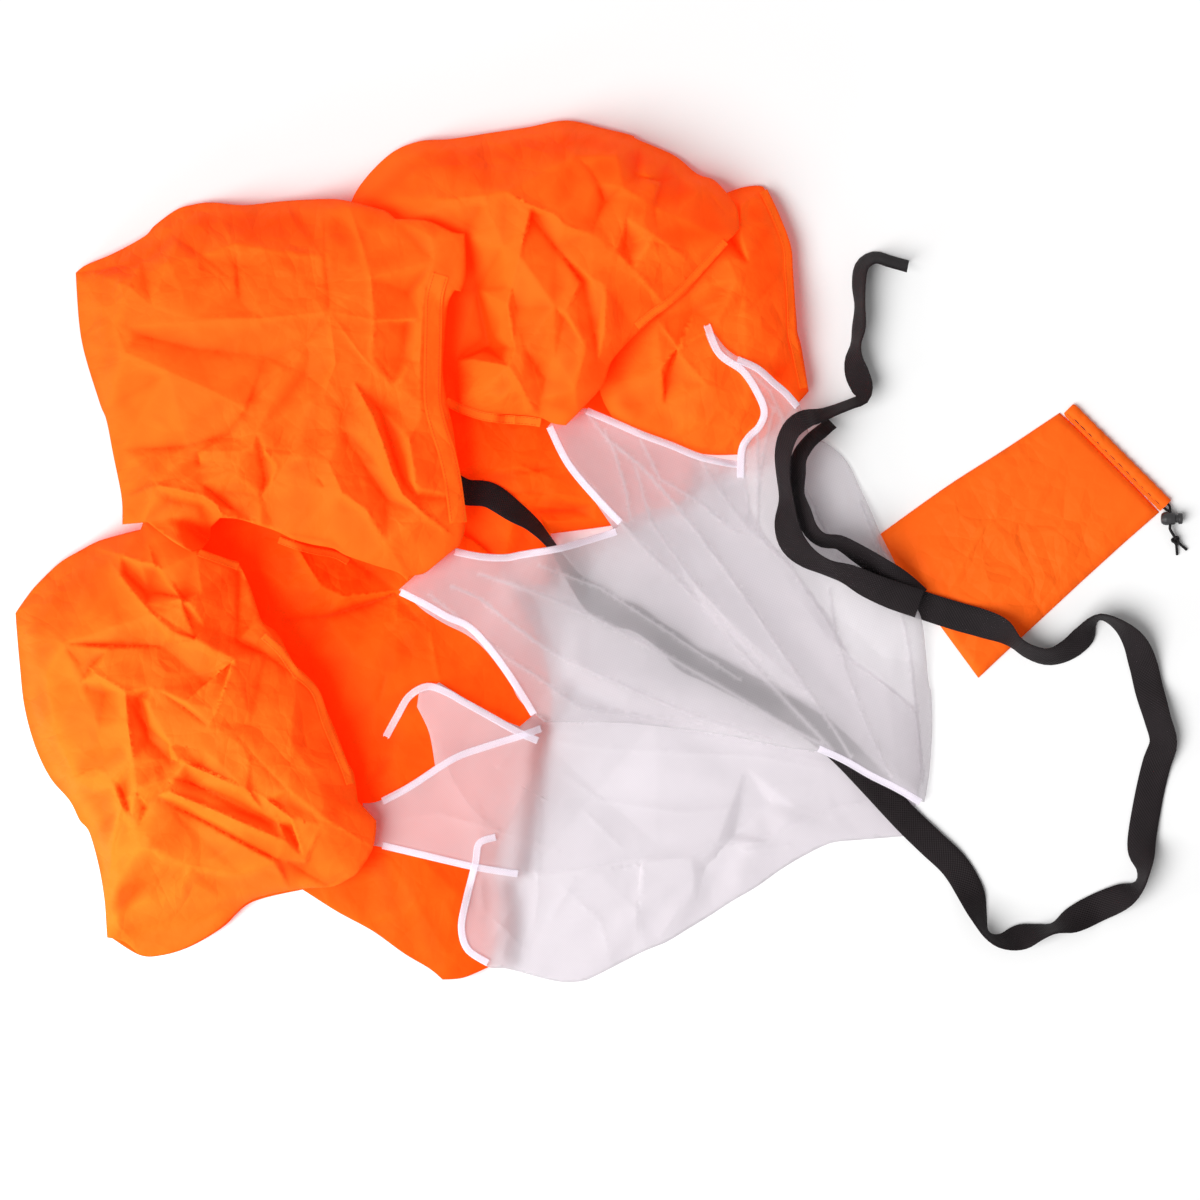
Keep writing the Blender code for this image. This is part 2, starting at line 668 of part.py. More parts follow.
def finish(name, points, faces, material, smooth=True):
    """Makes one closed solid from points and faces, with its faces turned out."""
    mesh = bpy.data.meshes.new(name)
    mesh.from_pydata([tuple(point) for point in points], [], faces)
    shape = bmesh.new()
    shape.from_mesh(mesh)
    bmesh.ops.recalc_face_normals(shape, faces=shape.faces)
    if shape.calc_volume(signed=True) < 0.0:
        bmesh.ops.reverse_faces(shape, faces=shape.faces)
    shape.to_mesh(mesh)
    shape.free()
    if smooth:
        mesh.shade_smooth()
        mesh.set_sharp_from_angle(angle=math.radians(50.0))
    mesh.materials.append(material)
    obj = bpy.data.objects.new(name, mesh)
    bpy.context.scene.collection.objects.link(obj)
    return obj


# Laying one cloth on another


def tree_of(obj):
    """The object's faces and points in world space, for finding what lies under a new cloth."""
    bpy.context.view_layer.update()
    graph = bpy.context.evaluated_depsgraph_get()
    evaluated = obj.evaluated_get(graph)
    mesh = evaluated.to_mesh()
    points = [obj.matrix_world @ vertex.co for vertex in mesh.vertices]
    faces = [tuple(polygon.vertices) for polygon in mesh.polygons]
    evaluated.to_mesh_clear()
    return points, BVHTree.FromPolygons(points, faces)


def height_at(laid, x, y):
    """The highest point of what is laid at one place, or the ground."""
    highest = 0.0
    for _, tree in laid:
        hit = tree.ray_cast(Vector((x, y, SKY_HEIGHT)), DOWN)[0]
        if hit is not None:
            highest = max(highest, hit.z)
    return highest


def sample_weights():
    """Places over a triangle, as weights of its corners."""
    steps = SAMPLES_PER_SIDE
    return [
        (i / steps, j / steps, (steps - i - j) / steps)
        for i in range(steps + 1)
        for j in range(steps + 1 - i)
    ]


def shortages(points, triangles, laid):
    """How far the underside is short of its gap above what is laid, face by face. Spare room is negative."""
    weights = sample_weights()
    for face, triangle in enumerate(triangles):
        corners = [points[index] for index in triangle]
        for share in weights:
            place = corners[0] * share[0] + corners[1] * share[1] + corners[2] * share[2]
            below = height_at(laid, place.x, place.y)
            if below > 0.0:
                yield face, below + LAY_GAP - place.z
    under = BVHTree.FromPolygons(points, triangles)
    for laid_points, _ in laid:
        for place in laid_points:
            hit, _, face, _ = under.ray_cast(Vector((place.x, place.y, SKY_HEIGHT)), DOWN)
            if hit is not None:
                yield face, place.z + LAY_GAP - hit.z


def crossed_groups(points, triangles, groups, laid):
    """The groups of points whose faces still cross something that is laid."""
    under = BVHTree.FromPolygons(points, triangles)
    crossed = {face for _, tree in laid for face, _ in under.overlap(tree)}
    return {groups[index] for face in crossed for index in triangles[face]}


def lay(points, triangles, groups, laid):
    """Moves an underside until it just clears all that is laid. The points of one group move together."""

    def lift(heights):
        for index, point in enumerate(points):
            point.z += heights.get(groups[index], 0.0)

    for _ in range(LAY_ROUNDS):
        needed = {}
        for face, shortage in shortages(points, triangles, laid):
            if shortage > 0.0:
                for index in triangles[face]:
                    group = groups[index]
                    needed[group] = max(needed.get(group, 0.0), shortage)
        if not needed:
            break
        lift(needed)
    room = max(0.0, min((-shortage for _, shortage in shortages(points, triangles, laid)), default=0.0))
    lowest = {}
    for group, point in zip(groups, points):
        lowest[group] = min(lowest.get(group, point.z), point.z)
    lift({group: -min(room, height) for group, height in lowest.items()})
    for _ in range(CROSSING_ROUNDS):
        crossed = crossed_groups(points, triangles, groups, laid)
        if not crossed:
            return
        lift(dict.fromkeys(crossed, LAY_GAP))


def shell(name, points, triangles, rim, thickness, material):
    """A cloth solid: the underside, the same surface one thickness higher, and a strip round the rim."""
    count = len(points)
    raised = [point + UP * thickness for point in points]
    faces = [tuple(triangle) for triangle in triangles]
    faces += [tuple(index + count for index in reversed(triangle)) for triangle in triangles]
    for here, there in zip(rim, rim[1:] + rim[:1]):
        faces.append((here, here + count, there + count, there))
    return finish(name, points + raised, faces, material)


def puffed(share):
    """How much of the crown a ring has reached, from 0 at the rim to 1 at the middle."""
    return (1.0 - share**PUFF_POWER) ** PUFF_ROUNDNESS_SHARE


def lobe(name, outline_shares, crown, fold, rings, thickness, material, laid):
    """A puffed cloth: rings that close in from the outline on its first row's point, with folds along rays."""
    middle = spot(*outline_shares[0])
    rim_rows = outline_shares[1:]
    count = len(rim_rows)
    points = []
    for ring in range(rings):
        share = 1.0 - ring / rings
        for x_share, y_share, rim_share, fold_share in rim_rows:
            place = middle.lerp(spot(x_share, y_share), share)
            rise = rim_share + (1.0 - rim_share) * puffed(share)
            crease = fold_share * fold * math.sin(math.pi * share)
            place.z = max(0.0, crown * rise + crease)
            points.append(place)
    points.append(middle + UP * crown)
    triangles = []
    for ring in range(rings - 1):
        for here in range(count):
            there = (here + 1) % count
            a = ring * count + here
            b = ring * count + there
            c = (ring + 1) * count + there
            d = (ring + 1) * count + here
            triangles += [(a, b, c), (a, c, d)]
    last = (rings - 1) * count
    for here in range(count):
        triangles.append((last + here, last + (here + 1) % count, rings * count))
    lay(points, triangles, list(range(len(points))), laid)
    obj = shell(name, points, triangles, list(range(count)), thickness, material)
    laid.append(tree_of(obj))
    return obj


def petal(name, row_shares, laid):
    """One point of the mesh star: rows of three points from its tip, sagging between the bound edges."""
    points = []
    for left_x, left_y, right_x, right_y, height_share in row_shares:
        height = PETAL_LIFT * height_share
        left = spot(left_x, left_y, height)
        right = spot(right_x, right_y, height)
        middle = left.lerp(right, 0.5) - UP * height * PETAL_SAG_SHARE
        points += [left, middle, right]
    triangles = []
    rows = len(row_shares)
    for row in range(rows - 1):
        for column in range(2):
            a = row * 3 + column
            triangles += [(a, a + 1, a + 4), (a, a + 4, a + 3)]
    lay(points, triangles, list(range(len(points))), laid)
    left_side = [row * 3 for row in range(rows)]
    right_side = [row * 3 + 2 for row in range(rows)]
    rim = left_side[::-1] + [1] + right_side + [rows * 3 - 2]
    obj = shell(name, points, triangles, rim, MESH_THICKNESS, mesh_cloth())
    laid.append(tree_of(obj))
    return obj


def between(a, b, c, d, t):
    """A value on the smooth curve from b to c, with its neighbours a and d."""
    slope = c - a
    bend = 2.0 * a - 5.0 * b + 4.0 * c - d
    turn = 3.0 * b - a - 3.0 * c + d
    return b + 0.5 * (slope * t + bend * t**2 + turn * t**3)


def smooth_route(rows, step):
    """Rows read at even steps along a smooth curve through the given rows."""
    dense = []
    for index in range(len(rows) - 1):
        before = rows[max(index - 1, 0)]
        start = rows[index]
        end = rows[index + 1]
        after = rows[min(index + 2, len(rows) - 1)]
        for sample in range(ROUTE_SAMPLES):
            t = sample / ROUTE_SAMPLES
            dense.append(
                [between(*values, t) for values in zip(before, start, end, after)]
            )
    dense.append(list(rows[-1]))
    runs = [0.0]
    for here, there in zip(dense, dense[1:]):
        runs.append(runs[-1] + math.dist(here[:2], there[:2]))
    count = max(2, round(runs[-1] / step))
    even = []
    index = 0
    for number in range(count + 1):
        target = runs[-1] * number / count
        while index < len(runs) - 2 and runs[index + 1] < target:
            index += 1
        span = runs[index + 1] - runs[index]
        t = (target - runs[index]) / span if span > 0.0 else 0.0
        even.append([a + (b - a) * t for a, b in zip(dense[index], dense[index + 1])])
    return even


def ribbon(name, rows, width, thickness, material, laid):
    """A flat band along rows of x, y, height and tilt, as one solid with square ends."""
    lows = []
    normals = []
    for index, (x, y, height, tilt) in enumerate(rows):
        before = rows[max(index - 1, 0)]
        after = rows[min(index + 1, len(rows) - 1)]
        run = Vector((after[0] - before[0], after[1] - before[1], 0.0)).normalized()
        side = run.cross(UP)
        across = side * math.cos(tilt) + UP * math.sin(tilt)
        normal = across.cross(run)
        middle = Vector((x, y, height))
        lows += [middle - across * width / 2, middle, middle + across * width / 2]
        normals += [normal * thickness] * 3
    lowest = [min(point.z for point in lows[index : index + 3]) for index in range(0, len(lows), 3)]
    for index, point in enumerate(lows):
        point.z += max(0.0, SEAT_GAP - lowest[index // 3])
    triangles = []
    for row in range(len(rows) - 1):
        for column in range(2):
            a = row * 3 + column
            triangles += [(a, a + 1, a + 4), (a, a + 4, a + 3)]
    groups = [index // 3 for index in range(len(lows))]
    lay(lows, triangles, groups, laid)
    count = len(lows)
    highs = [point + offset for point, offset in zip(lows, normals)]
    faces = []
    for row in range(len(rows) - 1):
        a = row * 3
        faces.append((a, a + 1, a + 4, a + 3))
        faces.append((a + 1, a + 2, a + 5, a + 4))
        faces.append((a + count + 3, a + count + 4, a + count + 1, a + count))
        faces.append((a + count + 4, a + count + 5, a + count + 2, a + count + 1))
        faces.append((a, a + 3, a + count + 3, a + count))
        faces.append((a + 5, a + 2, a + count + 2, a + count + 5))
    last = count - 3
    faces.append((0, count, count + 1, 1))
    faces.append((1, count + 1, count + 2, 2))
    faces.append((last, last + 1, last + 1 + count, last + count))
    faces.append((last + 1, last + 2, last + 2 + count, last + 1 + count))
    obj = finish(name, lows + highs, faces, material, smooth=False)
    laid.append(tree_of(obj))
    return obj


def webbing_band(name, route_shares, laid):
    """A length of webbing along its route."""
    rows = [
        (x * LAYOUT_LENGTH, y * LAYOUT_LENGTH, lift * WEBBING_WIDTH, tilt * math.pi / 2)
        for x, y, lift, tilt in route_shares
    ]
    even = smooth_route(rows, WEBBING_STEP)
    return ribbon(name, even, WEBBING_WIDTH, WEBBING_THICKNESS, webbing(), laid)


def binding(name, route_shares, laid):
    """A white tape on an edge of the mesh."""
    rows = [(x * LAYOUT_LENGTH, y * LAYOUT_LENGTH, SEAT_GAP, 0.0) for x, y in route_shares]
    even = smooth_route(rows, BINDING_STEP)
    return ribbon(name, even, BINDING_WIDTH, BINDING_THICKNESS, binding_tape(), laid)


# Storage bag


def bag_point(along_share, across_share, height):
    """A place on the bag, from shares of its length and width."""
    local = Vector((along_share * BAG_LENGTH, across_share * BAG_WIDTH, height))
    return turned(local, BAG_TURN) + spot(*BAG_PLACE_SHARES)


def bag_panel(name, low, rim_height, crown, laid):
    """A flat-bottomed panel over the bag's outline, raised a little in the middle."""
    count = len(BAG_OUTLINE_SHARES)
    points = []
    for ring in range(BAG_RINGS):
        share = 1.0 - ring / BAG_RINGS
        for along, across in BAG_OUTLINE_SHARES:
            points.append(bag_point(along * share, across * share, low + rim_height + crown * puffed(share)))
    points.append(bag_point(0.0, 0.0, low + rim_height + crown))
    base = [bag_point(along, across, low) for along, across in BAG_OUTLINE_SHARES]
    faces = []
    for ring in range(BAG_RINGS - 1):
        for here in range(count):
            there = (here + 1) % count
            a = ring * count
            faces.append((a + here, a + there, a + count + there, a + count + here))
    last = (BAG_RINGS - 1) * count
    for here in range(count):
        faces.append((last + here, last + (here + 1) % count, BAG_RINGS * count))
    start = len(points)
    for here in range(count):
        there = (here + 1) % count
        faces.append((start + here, start + there, there, here))
    faces.append(tuple(start + here for here in reversed(range(count))))
    obj = finish(name, points + base, faces, bag_cloth())
    laid.append(tree_of(obj))
    return obj


def box(name, centre, sides, turn, bevel=0.0):
    """A box with its long edges rounded, as a piece or a cutter."""
    shape = bmesh.new()
    bmesh.ops.create_cube(shape, size=1.0)
    bmesh.ops.scale(shape, vec=sides, verts=shape.verts)
    if bevel > 0.0:
        long_edges = [edge for edge in shape.edges if abs(edge.verts[0].co.x - edge.verts[1].co.x) > bevel]
        bmesh.ops.bevel(shape, geom=long_edges, offset=bevel, segments=3, profile=0.5, affect="EDGES")
    mesh = bpy.data.meshes.new(name)
    shape.to_mesh(mesh)
    shape.free()
    obj = bpy.data.objects.new(name, mesh)
    obj.location = centre
    obj.rotation_euler = (0.0, 0.0, turn)
    bpy.context.scene.collection.objects.link(obj)
    return obj


def cut(obj, cutter):
    """Takes the cutter's shape out of the object."""
    cutter.hide_render = True
    cutter.display_type = "WIRE"
    change = obj.modifiers.new(cutter.name, "BOOLEAN")
    change.operation = "DIFFERENCE"
    change.solver = "EXACT"
    change.object = cutter


def channel_point(along, across, height):
    """A place in the drawstring channel, from lengths along and across it."""
    past_edge = turned(Vector((CHANNEL_WIDTH / 2 + CHANNEL_SEAM_GAP, 0.0, 0.0)), BAG_TURN)
    mouth = bag_point(*MOUTH_EDGE_SHARES, 0.0) + past_edge
    return mouth + turned(Vector((along, across, height)), CHANNEL_TURN)


def lock_place():
    """The middle of the cord lock's barrel."""
    return channel_point(CHANNEL_LENGTH / 2, 0.0, LOCK_AXIS_HEIGHT) + Vector((*LOCK_OFFSET, 0.0))


def knot_place():
    """The middle of the knot under the lock."""
    place = lock_place() + Vector((*KNOT_OFFSET, 0.0))
    place.z = KNOT_HEIGHT / 2
    return place


def drawstring_channel(laid):
    """The sewn sleeve along the mouth, open at the lock's end, where the cord lies."""
    half_height = CHANNEL_HEIGHT / 2
    sides = (CHANNEL_LENGTH, CHANNEL_WIDTH, CHANNEL_HEIGHT)
    sleeve_middle = channel_point(0.0, 0.0, half_height)
    sleeve = box("bag_drawstring_channel", sleeve_middle, sides, CHANNEL_TURN, CHANNEL_BEVEL)
    sleeve.data.materials.append(bag_cloth())
    sleeve.data.shade_smooth()
    sleeve.data.set_sharp_from_angle(angle=math.radians(50.0))
    bore_start = CHANNEL_END_WALL - CHANNEL_LENGTH / 2
    bore_end = CHANNEL_LENGTH / 2 + CUT_OVERRUN
    bore_sides = (bore_end - bore_start, CHANNEL_BORE_WIDTH, CHANNEL_BORE_HEIGHT)
    bore_middle = channel_point((bore_start + bore_end) / 2, 0.0, half_height)
    bore = box("channel_bore", bore_middle, bore_sides, CHANNEL_TURN)
    cut(sleeve, bore)
    laid.append(tree_of(sleeve))
    return sleeve


def drawcord_route():
    """The cord from the knot through the lock, round inside the channel and back beside itself."""
    mouth_end = CHANNEL_LENGTH / 2
    far_end = -CHANNEL_LENGTH / 2 + CHANNEL_END_WALL + DRAWCORD_DIAMETER
    lock = lock_place()
    cord_x = lock.x + CORD_HOLE_PLACE - BARREL_LENGTH / 2
    knot = knot_place()
    knot_top = knot.y + KNOT_LENGTH / 2 + DRAWCORD_DIAMETER / 2
    clear_of_lock = lock.y - BARREL_RADIUS - LOCK_SLIDE
    bore_height = CHANNEL_HEIGHT / 2
    halves = []
    for side in (1.0, -1.0):
        stacked = LOCK_AXIS_HEIGHT + side * STRAND_STACK / 2
        half = [
            Vector((knot.x - KNOT_WIDTH / 8, knot_top, knot.z + side * STRAND_STACK / 2)),
            Vector((cord_x, clear_of_lock, stacked)),
            Vector((cord_x, lock.y - BARREL_RADIUS, stacked)),
            Vector((cord_x, lock.y, stacked)),
            Vector((cord_x, lock.y + BARREL_RADIUS, stacked)),
            channel_point(mouth_end + DRAWCORD_DIAMETER, side * STRAND_SPREAD / 2, bore_height),
            channel_point(mouth_end - BARREL_RADIUS, side * STRAND_SPREAD / 2, bore_height),
            channel_point(mouth_end / 2, side * STRAND_SPREAD / 2, bore_height),
            channel_point(0.0, side * STRAND_SPREAD / 2, bore_height),
            channel_point(far_end / 2, side * STRAND_SPREAD / 2, bore_height),
            channel_point(far_end + STRAND_SPREAD, side * STRAND_SPREAD / 2, bore_height),
        ]
        halves.append(half)
    turn = [channel_point(far_end, 0.0, bore_height)]
    return halves[0] + turn + halves[1][::-1]


def tube(name, points, radius, resolution, material, smooth_step=None):
    """A round cord through the points, with filled ends."""
    rows = [list(point) for point in points]
    if smooth_step:
        rows = smooth_route(rows, smooth_step)
    curve = bpy.data.curves.new(name, "CURVE")
    curve.dimensions = "3D"
    curve.bevel_depth = radius
    curve.bevel_resolution = resolution
    curve.use_fill_caps = True
    line = curve.splines.new("POLY")
    line.points.add(len(rows) - 1)
    for point, row in zip(line.points, rows):
        point.co = (row[0], row[1], row[2], 1.0)
    curve.materials.append(material)
    obj = bpy.data.objects.new(name, curve)
    bpy.context.scene.collection.objects.link(obj)
    return obj


def drawcord():
    return tube("drawcord", drawcord_route(), DRAWCORD_DIAMETER / 2, 2, cord_braid(), DRAWCORD_STEP)


def drawcord_knot():
    """The tied end: a tight ball of cord with the two short tails joined to it."""
    place = knot_place()
    shape = bmesh.new()
    bmesh.ops.create_uvsphere(shape, u_segments=16, v_segments=10, radius=1.0)
    for vertex in shape.verts:
        wrap = 1.0 + 0.10 * math.cos(3.0 * math.atan2(vertex.co.y, vertex.co.x) + 4.0 * vertex.co.z)
        vertex.co.x *= KNOT_WIDTH / 2 * wrap
        vertex.co.y *= KNOT_LENGTH / 2
        vertex.co.z *= KNOT_HEIGHT / 2
    mesh = bpy.data.meshes.new("drawcord_knot")
    shape.to_mesh(mesh)
    shape.free()
    mesh.shade_smooth()
    mesh.materials.append(cord_braid())
    knot = bpy.data.objects.new("drawcord_knot", mesh)
    knot.location = place
    bpy.context.scene.collection.objects.link(knot)
    for index, spread in enumerate((-KNOT_TAIL_SPREAD, KNOT_TAIL_SPREAD)):
        away = turned(Vector((0.0, -1.0, 0.0)), KNOT_TURN + spread)
        start = place + away * KNOT_LENGTH / 4
        end = place + away * (KNOT_LENGTH / 2 + KNOT_TAIL_LENGTH)
        tail = rod(f"knot_tail_{index + 1}", start, end, DRAWCORD_DIAMETER / 2, 10)
        tail.hide_render = True
        tail.display_type = "WIRE"
        join = knot.modifiers.new(tail.name, "BOOLEAN")
        join.operation = "UNION"
        join.solver = "EXACT"
        join.object = tail
    return knot


def rod(name, start, end, radius, sides):
    """A straight round bar between two points."""
    shape = bmesh.new()
    length = (end - start).length
    bmesh.ops.create_cone(
        shape, cap_ends=True, segments=sides, radius1=radius, radius2=radius, depth=length
    )
    mesh = bpy.data.meshes.new(name)
    shape.to_mesh(mesh)
    shape.free()
    obj = bpy.data.objects.new(name, mesh)
    obj.location = start.lerp(end, 0.5)
    obj.rotation_euler = (end - start).to_track_quat("Z", "Y").to_euler()
    bpy.context.scene.collection.objects.link(obj)
    return obj


# Cord lock


def revolved(name, profile, material, origin):
    """A solid turned about the X axis from a profile of places along it and radii."""
    points = []
    faces = []
    for along, radius in profile:
        for side in range(ROUND_SIDES):
            angle = 2.0 * math.pi * side / ROUND_SIDES
            points.append(Vector((along, radius * math.cos(angle), radius * math.sin(angle))))
    for ring in range(len(profile) - 1):
        for here in range(ROUND_SIDES):
            there = (here + 1) % ROUND_SIDES
            a = ring * ROUND_SIDES
            b = a + ROUND_SIDES
            faces.append((a + here, a + there, b + there, b + here))
    last = (len(profile) - 1) * ROUND_SIDES
    faces.append(tuple(reversed(range(ROUND_SIDES))))
    faces.append(tuple(range(last, last + ROUND_SIDES)))
    obj = finish(name, points, faces, material)
    obj.location = origin
    return obj


def cord_slot(name, centre, width, height):
    """The cutter for the way that both strands take through the lock."""
    return box(name, centre, (width, BARREL_RADIUS * 2 + CUT_OVERRUN * 2, height), 0.0)


def cord_lock_barrel(origin):
    """The lock's body: a barrel with rounded ends, a blind bore for the plunger and a slot for the cord."""
    left = -BARREL_LENGTH / 2
    right = BARREL_LENGTH / 2
    shoulder = BARREL_LENGTH / 6
    profile = [
        (left, BARREL_END_RADIUS * 0.7),
        (left + shoulder / 4, BARREL_END_RADIUS),
        (left + shoulder, (BARREL_END_RADIUS + BARREL_RADIUS) / 2 + BARREL_FLOOR / 4),
        (left + shoulder * 2, BARREL_RADIUS),
        (right - shoulder * 2, BARREL_RADIUS),
        (right - shoulder, (BARREL_END_RADIUS + BARREL_RADIUS) / 2 + BARREL_FLOOR / 4),
        (right - shoulder / 4, BARREL_END_RADIUS + BARREL_FLOOR / 2),
        (right, BARREL_END_RADIUS),
    ]
    barrel = revolved("cord_lock_barrel", profile, lock_plastic(), origin)
    bore_length = BARREL_LENGTH - BARREL_FLOOR + CUT_OVERRUN
    start = origin + Vector((left + BARREL_FLOOR, 0.0, 0.0))
    bore = rod("barrel_bore", start, start + Vector((bore_length, 0.0, 0.0)), BARREL_BORE_RADIUS, ROUND_SIDES)
    cut(barrel, bore)
    hole_middle = origin + Vector((left + CORD_HOLE_PLACE, 0.0, 0.0))
    cut(barrel, cord_slot("barrel_cord_hole", hole_middle, CORD_HOLE_WIDTH, CORD_HOLE_HEIGHT))
    return barrel


def plunger_sizes():
    """Places along the lock's axis: the plunger's inner end, its slot's ends and its head's inner face."""
    cord_middle = -BARREL_LENGTH / 2 + CORD_HOLE_PLACE
    slot_left = cord_middle - DRAWCORD_DIAMETER / 2 - SEAT_GAP
    slot_right = cord_middle + DRAWCORD_DIAMETER / 2 + SEAT_GAP + PLUNGER_TRAVEL
    inner_end = slot_left - PLUNGER_END_WALL
    head_face = BARREL_LENGTH / 2 + PLUNGER_TRAVEL + SEAT_GAP
    return inner_end, slot_left, slot_right, head_face


def cord_lock_plunger(origin):
    """The button: a round head and a shaft with the slot that pinches the cord against the barrel."""
    inner_end, slot_left, slot_right, head_face = plunger_sizes()
    shaft_radius = BARREL_BORE_RADIUS - PLUNGER_CLEARANCE
    head_end = head_face + PLUNGER_HEAD_LENGTH
    profile = [
        (inner_end, shaft_radius),
        (head_face, shaft_radius),
        (head_face + PLUNGER_HEAD_ROUND / 8, PLUNGER_HEAD_RADIUS - PLUNGER_HEAD_ROUND / 4),
        (head_face + PLUNGER_HEAD_ROUND / 2, PLUNGER_HEAD_RADIUS),
        (head_end - PLUNGER_HEAD_ROUND, PLUNGER_HEAD_RADIUS),
        (head_end - PLUNGER_HEAD_ROUND / 3, PLUNGER_HEAD_RADIUS - PLUNGER_HEAD_ROUND / 3),
        (head_end, PLUNGER_HEAD_RADIUS - PLUNGER_HEAD_ROUND),
    ]
    plunger = revolved("cord_lock_plunger", profile, lock_plastic(), origin)
    slot_middle = origin + Vector(((slot_left + slot_right) / 2, 0.0, 0.0))
    cut(plunger, cord_slot("plunger_slot", slot_middle, slot_right - slot_left, CORD_HOLE_HEIGHT))
    return plunger


def cord_lock_spring(origin):
    """The coil between the barrel's floor and the plunger's inner end."""
    inner_end = plunger_sizes()[0]
    start = -BARREL_LENGTH / 2 + BARREL_FLOOR + SEAT_GAP + SPRING_WIRE / 2
    end = inner_end - SEAT_GAP - SPRING_WIRE / 2
    count = round(SPRING_TURNS * SPRING_POINTS_PER_TURN)
    points = []
    for index in range(count + 1):
        share = index / count
        angle = 2.0 * math.pi * SPRING_TURNS * share
        place = Vector((start + (end - start) * share, math.cos(angle) * SPRING_RADIUS, 0.0))
        place.z = math.sin(angle) * SPRING_RADIUS
        points.append(origin + place)
    return tube("cord_lock_spring", points, SPRING_WIRE / 2, 1, spring_steel())


# The whole layout, from the ground up


def inside_sheets(laid):
    lobe(
        "canopy_inside_right", INSIDE_RIGHT_SHARES, INSIDE_RIGHT_CROWN, INSIDE_RIGHT_FOLD, INSIDE_RINGS,
        CANOPY_THICKNESS, canopy_inside_cloth(), laid,
    )
    lobe(
        "canopy_inside_left", INSIDE_LEFT_SHARES, INSIDE_LEFT_CROWN, INSIDE_LEFT_FOLD, INSIDE_RINGS,
        CANOPY_THICKNESS, canopy_inside_cloth(), laid,
    )
    lobe(
        "canopy_lobe_right", RIGHT_SHARES, RIGHT_CROWN, RIGHT_FOLD, LOBE_RINGS,
        CANOPY_THICKNESS, canopy_cloth(), laid,
    )


def storage_bag(laid):
    bag_panel("bag_back_panel", 0.0, BAG_BACK_THICKNESS, 0.0, laid)
    bag_panel("bag_front_panel", BAG_BACK_THICKNESS + SEAT_GAP, BAG_FRONT_RIM, BAG_FRONT_CROWN, laid)
    drawstring_channel(laid)
    drawcord()
    drawcord_knot()


def cord_lock():
    origin = lock_place()
    cord_lock_barrel(origin)
    cord_lock_plunger(origin)
    cord_lock_spring(origin)


def mesh_star(laid):
    petal("mesh_petal_bottom", PETAL_BOTTOM_SHARES, laid)
    petal("mesh_petal_inner", PETAL_INNER_SHARES, laid)
    petal("mesh_petal_lower_left", PETAL_LOWER_LEFT_SHARES, laid)
    petal("mesh_petal_left", PETAL_LEFT_SHARES, laid)
    lobe(
        "mesh_upper_layer", MESH_UPPER_SHARES, MESH_UPPER_CROWN, MESH_UPPER_FOLD, LOBE_RINGS,
        MESH_THICKNESS, mesh_cloth(), laid,
    )
    petal("mesh_petal_top", PETAL_TOP_SHARES, laid)
    petal("mesh_petal_right", PETAL_RIGHT_SHARES, laid)
    for name, route_shares in BINDING_ROUTE_SHARES.items():
        binding(name, route_shares, laid)


def upper_lobes(laid):
    lobe(
        "canopy_lobe_lower_left", LOWER_LEFT_SHARES, LOWER_LEFT_CROWN, LOWER_LEFT_FOLD, LOBE_RINGS,
        CANOPY_THICKNESS, canopy_cloth(), laid,
    )
    lobe(
        "canopy_lobe_top", TOP_SHARES, TOP_CROWN, TOP_FOLD, LOBE_RINGS,
        CANOPY_THICKNESS, canopy_cloth(), laid,
    )
    lobe(
        "canopy_lobe_upper_left", UPPER_LEFT_SHARES, UPPER_LEFT_CROWN, UPPER_LEFT_FOLD, LOBE_RINGS,
        CANOPY_THICKNESS, canopy_cloth(), laid,
    )


def main():
    clear_scene()
    laid = []
    inside_sheets(laid)
    lobe(
        "mesh_lower_layer", MESH_LOWER_SHARES, MESH_LOWER_CROWN, MESH_LOWER_FOLD, INSIDE_RINGS,
        MESH_THICKNESS, mesh_cloth(), laid,
    )
    storage_bag(laid)
    cord_lock()
    webbing_band("tow_strap", TOW_STRAP_ROUTE_SHARES, laid)
    mesh_star(laid)
    webbing_band("waist_belt_short_half", SHORT_HALF_ROUTE_SHARES, laid)
    webbing_band("waist_belt_long_half", LONG_HALF_ROUTE_SHARES, laid)
    upper_lobes(laid)


main()
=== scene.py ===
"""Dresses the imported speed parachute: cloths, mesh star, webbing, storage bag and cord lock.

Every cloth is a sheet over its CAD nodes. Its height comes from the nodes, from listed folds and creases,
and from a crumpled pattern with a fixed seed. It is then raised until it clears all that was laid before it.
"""

import math

import bmesh
import bpy
import numpy as np
from bpy.props import FloatProperty, FloatVectorProperty, IntProperty, PointerProperty
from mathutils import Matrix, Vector, geometry, kdtree


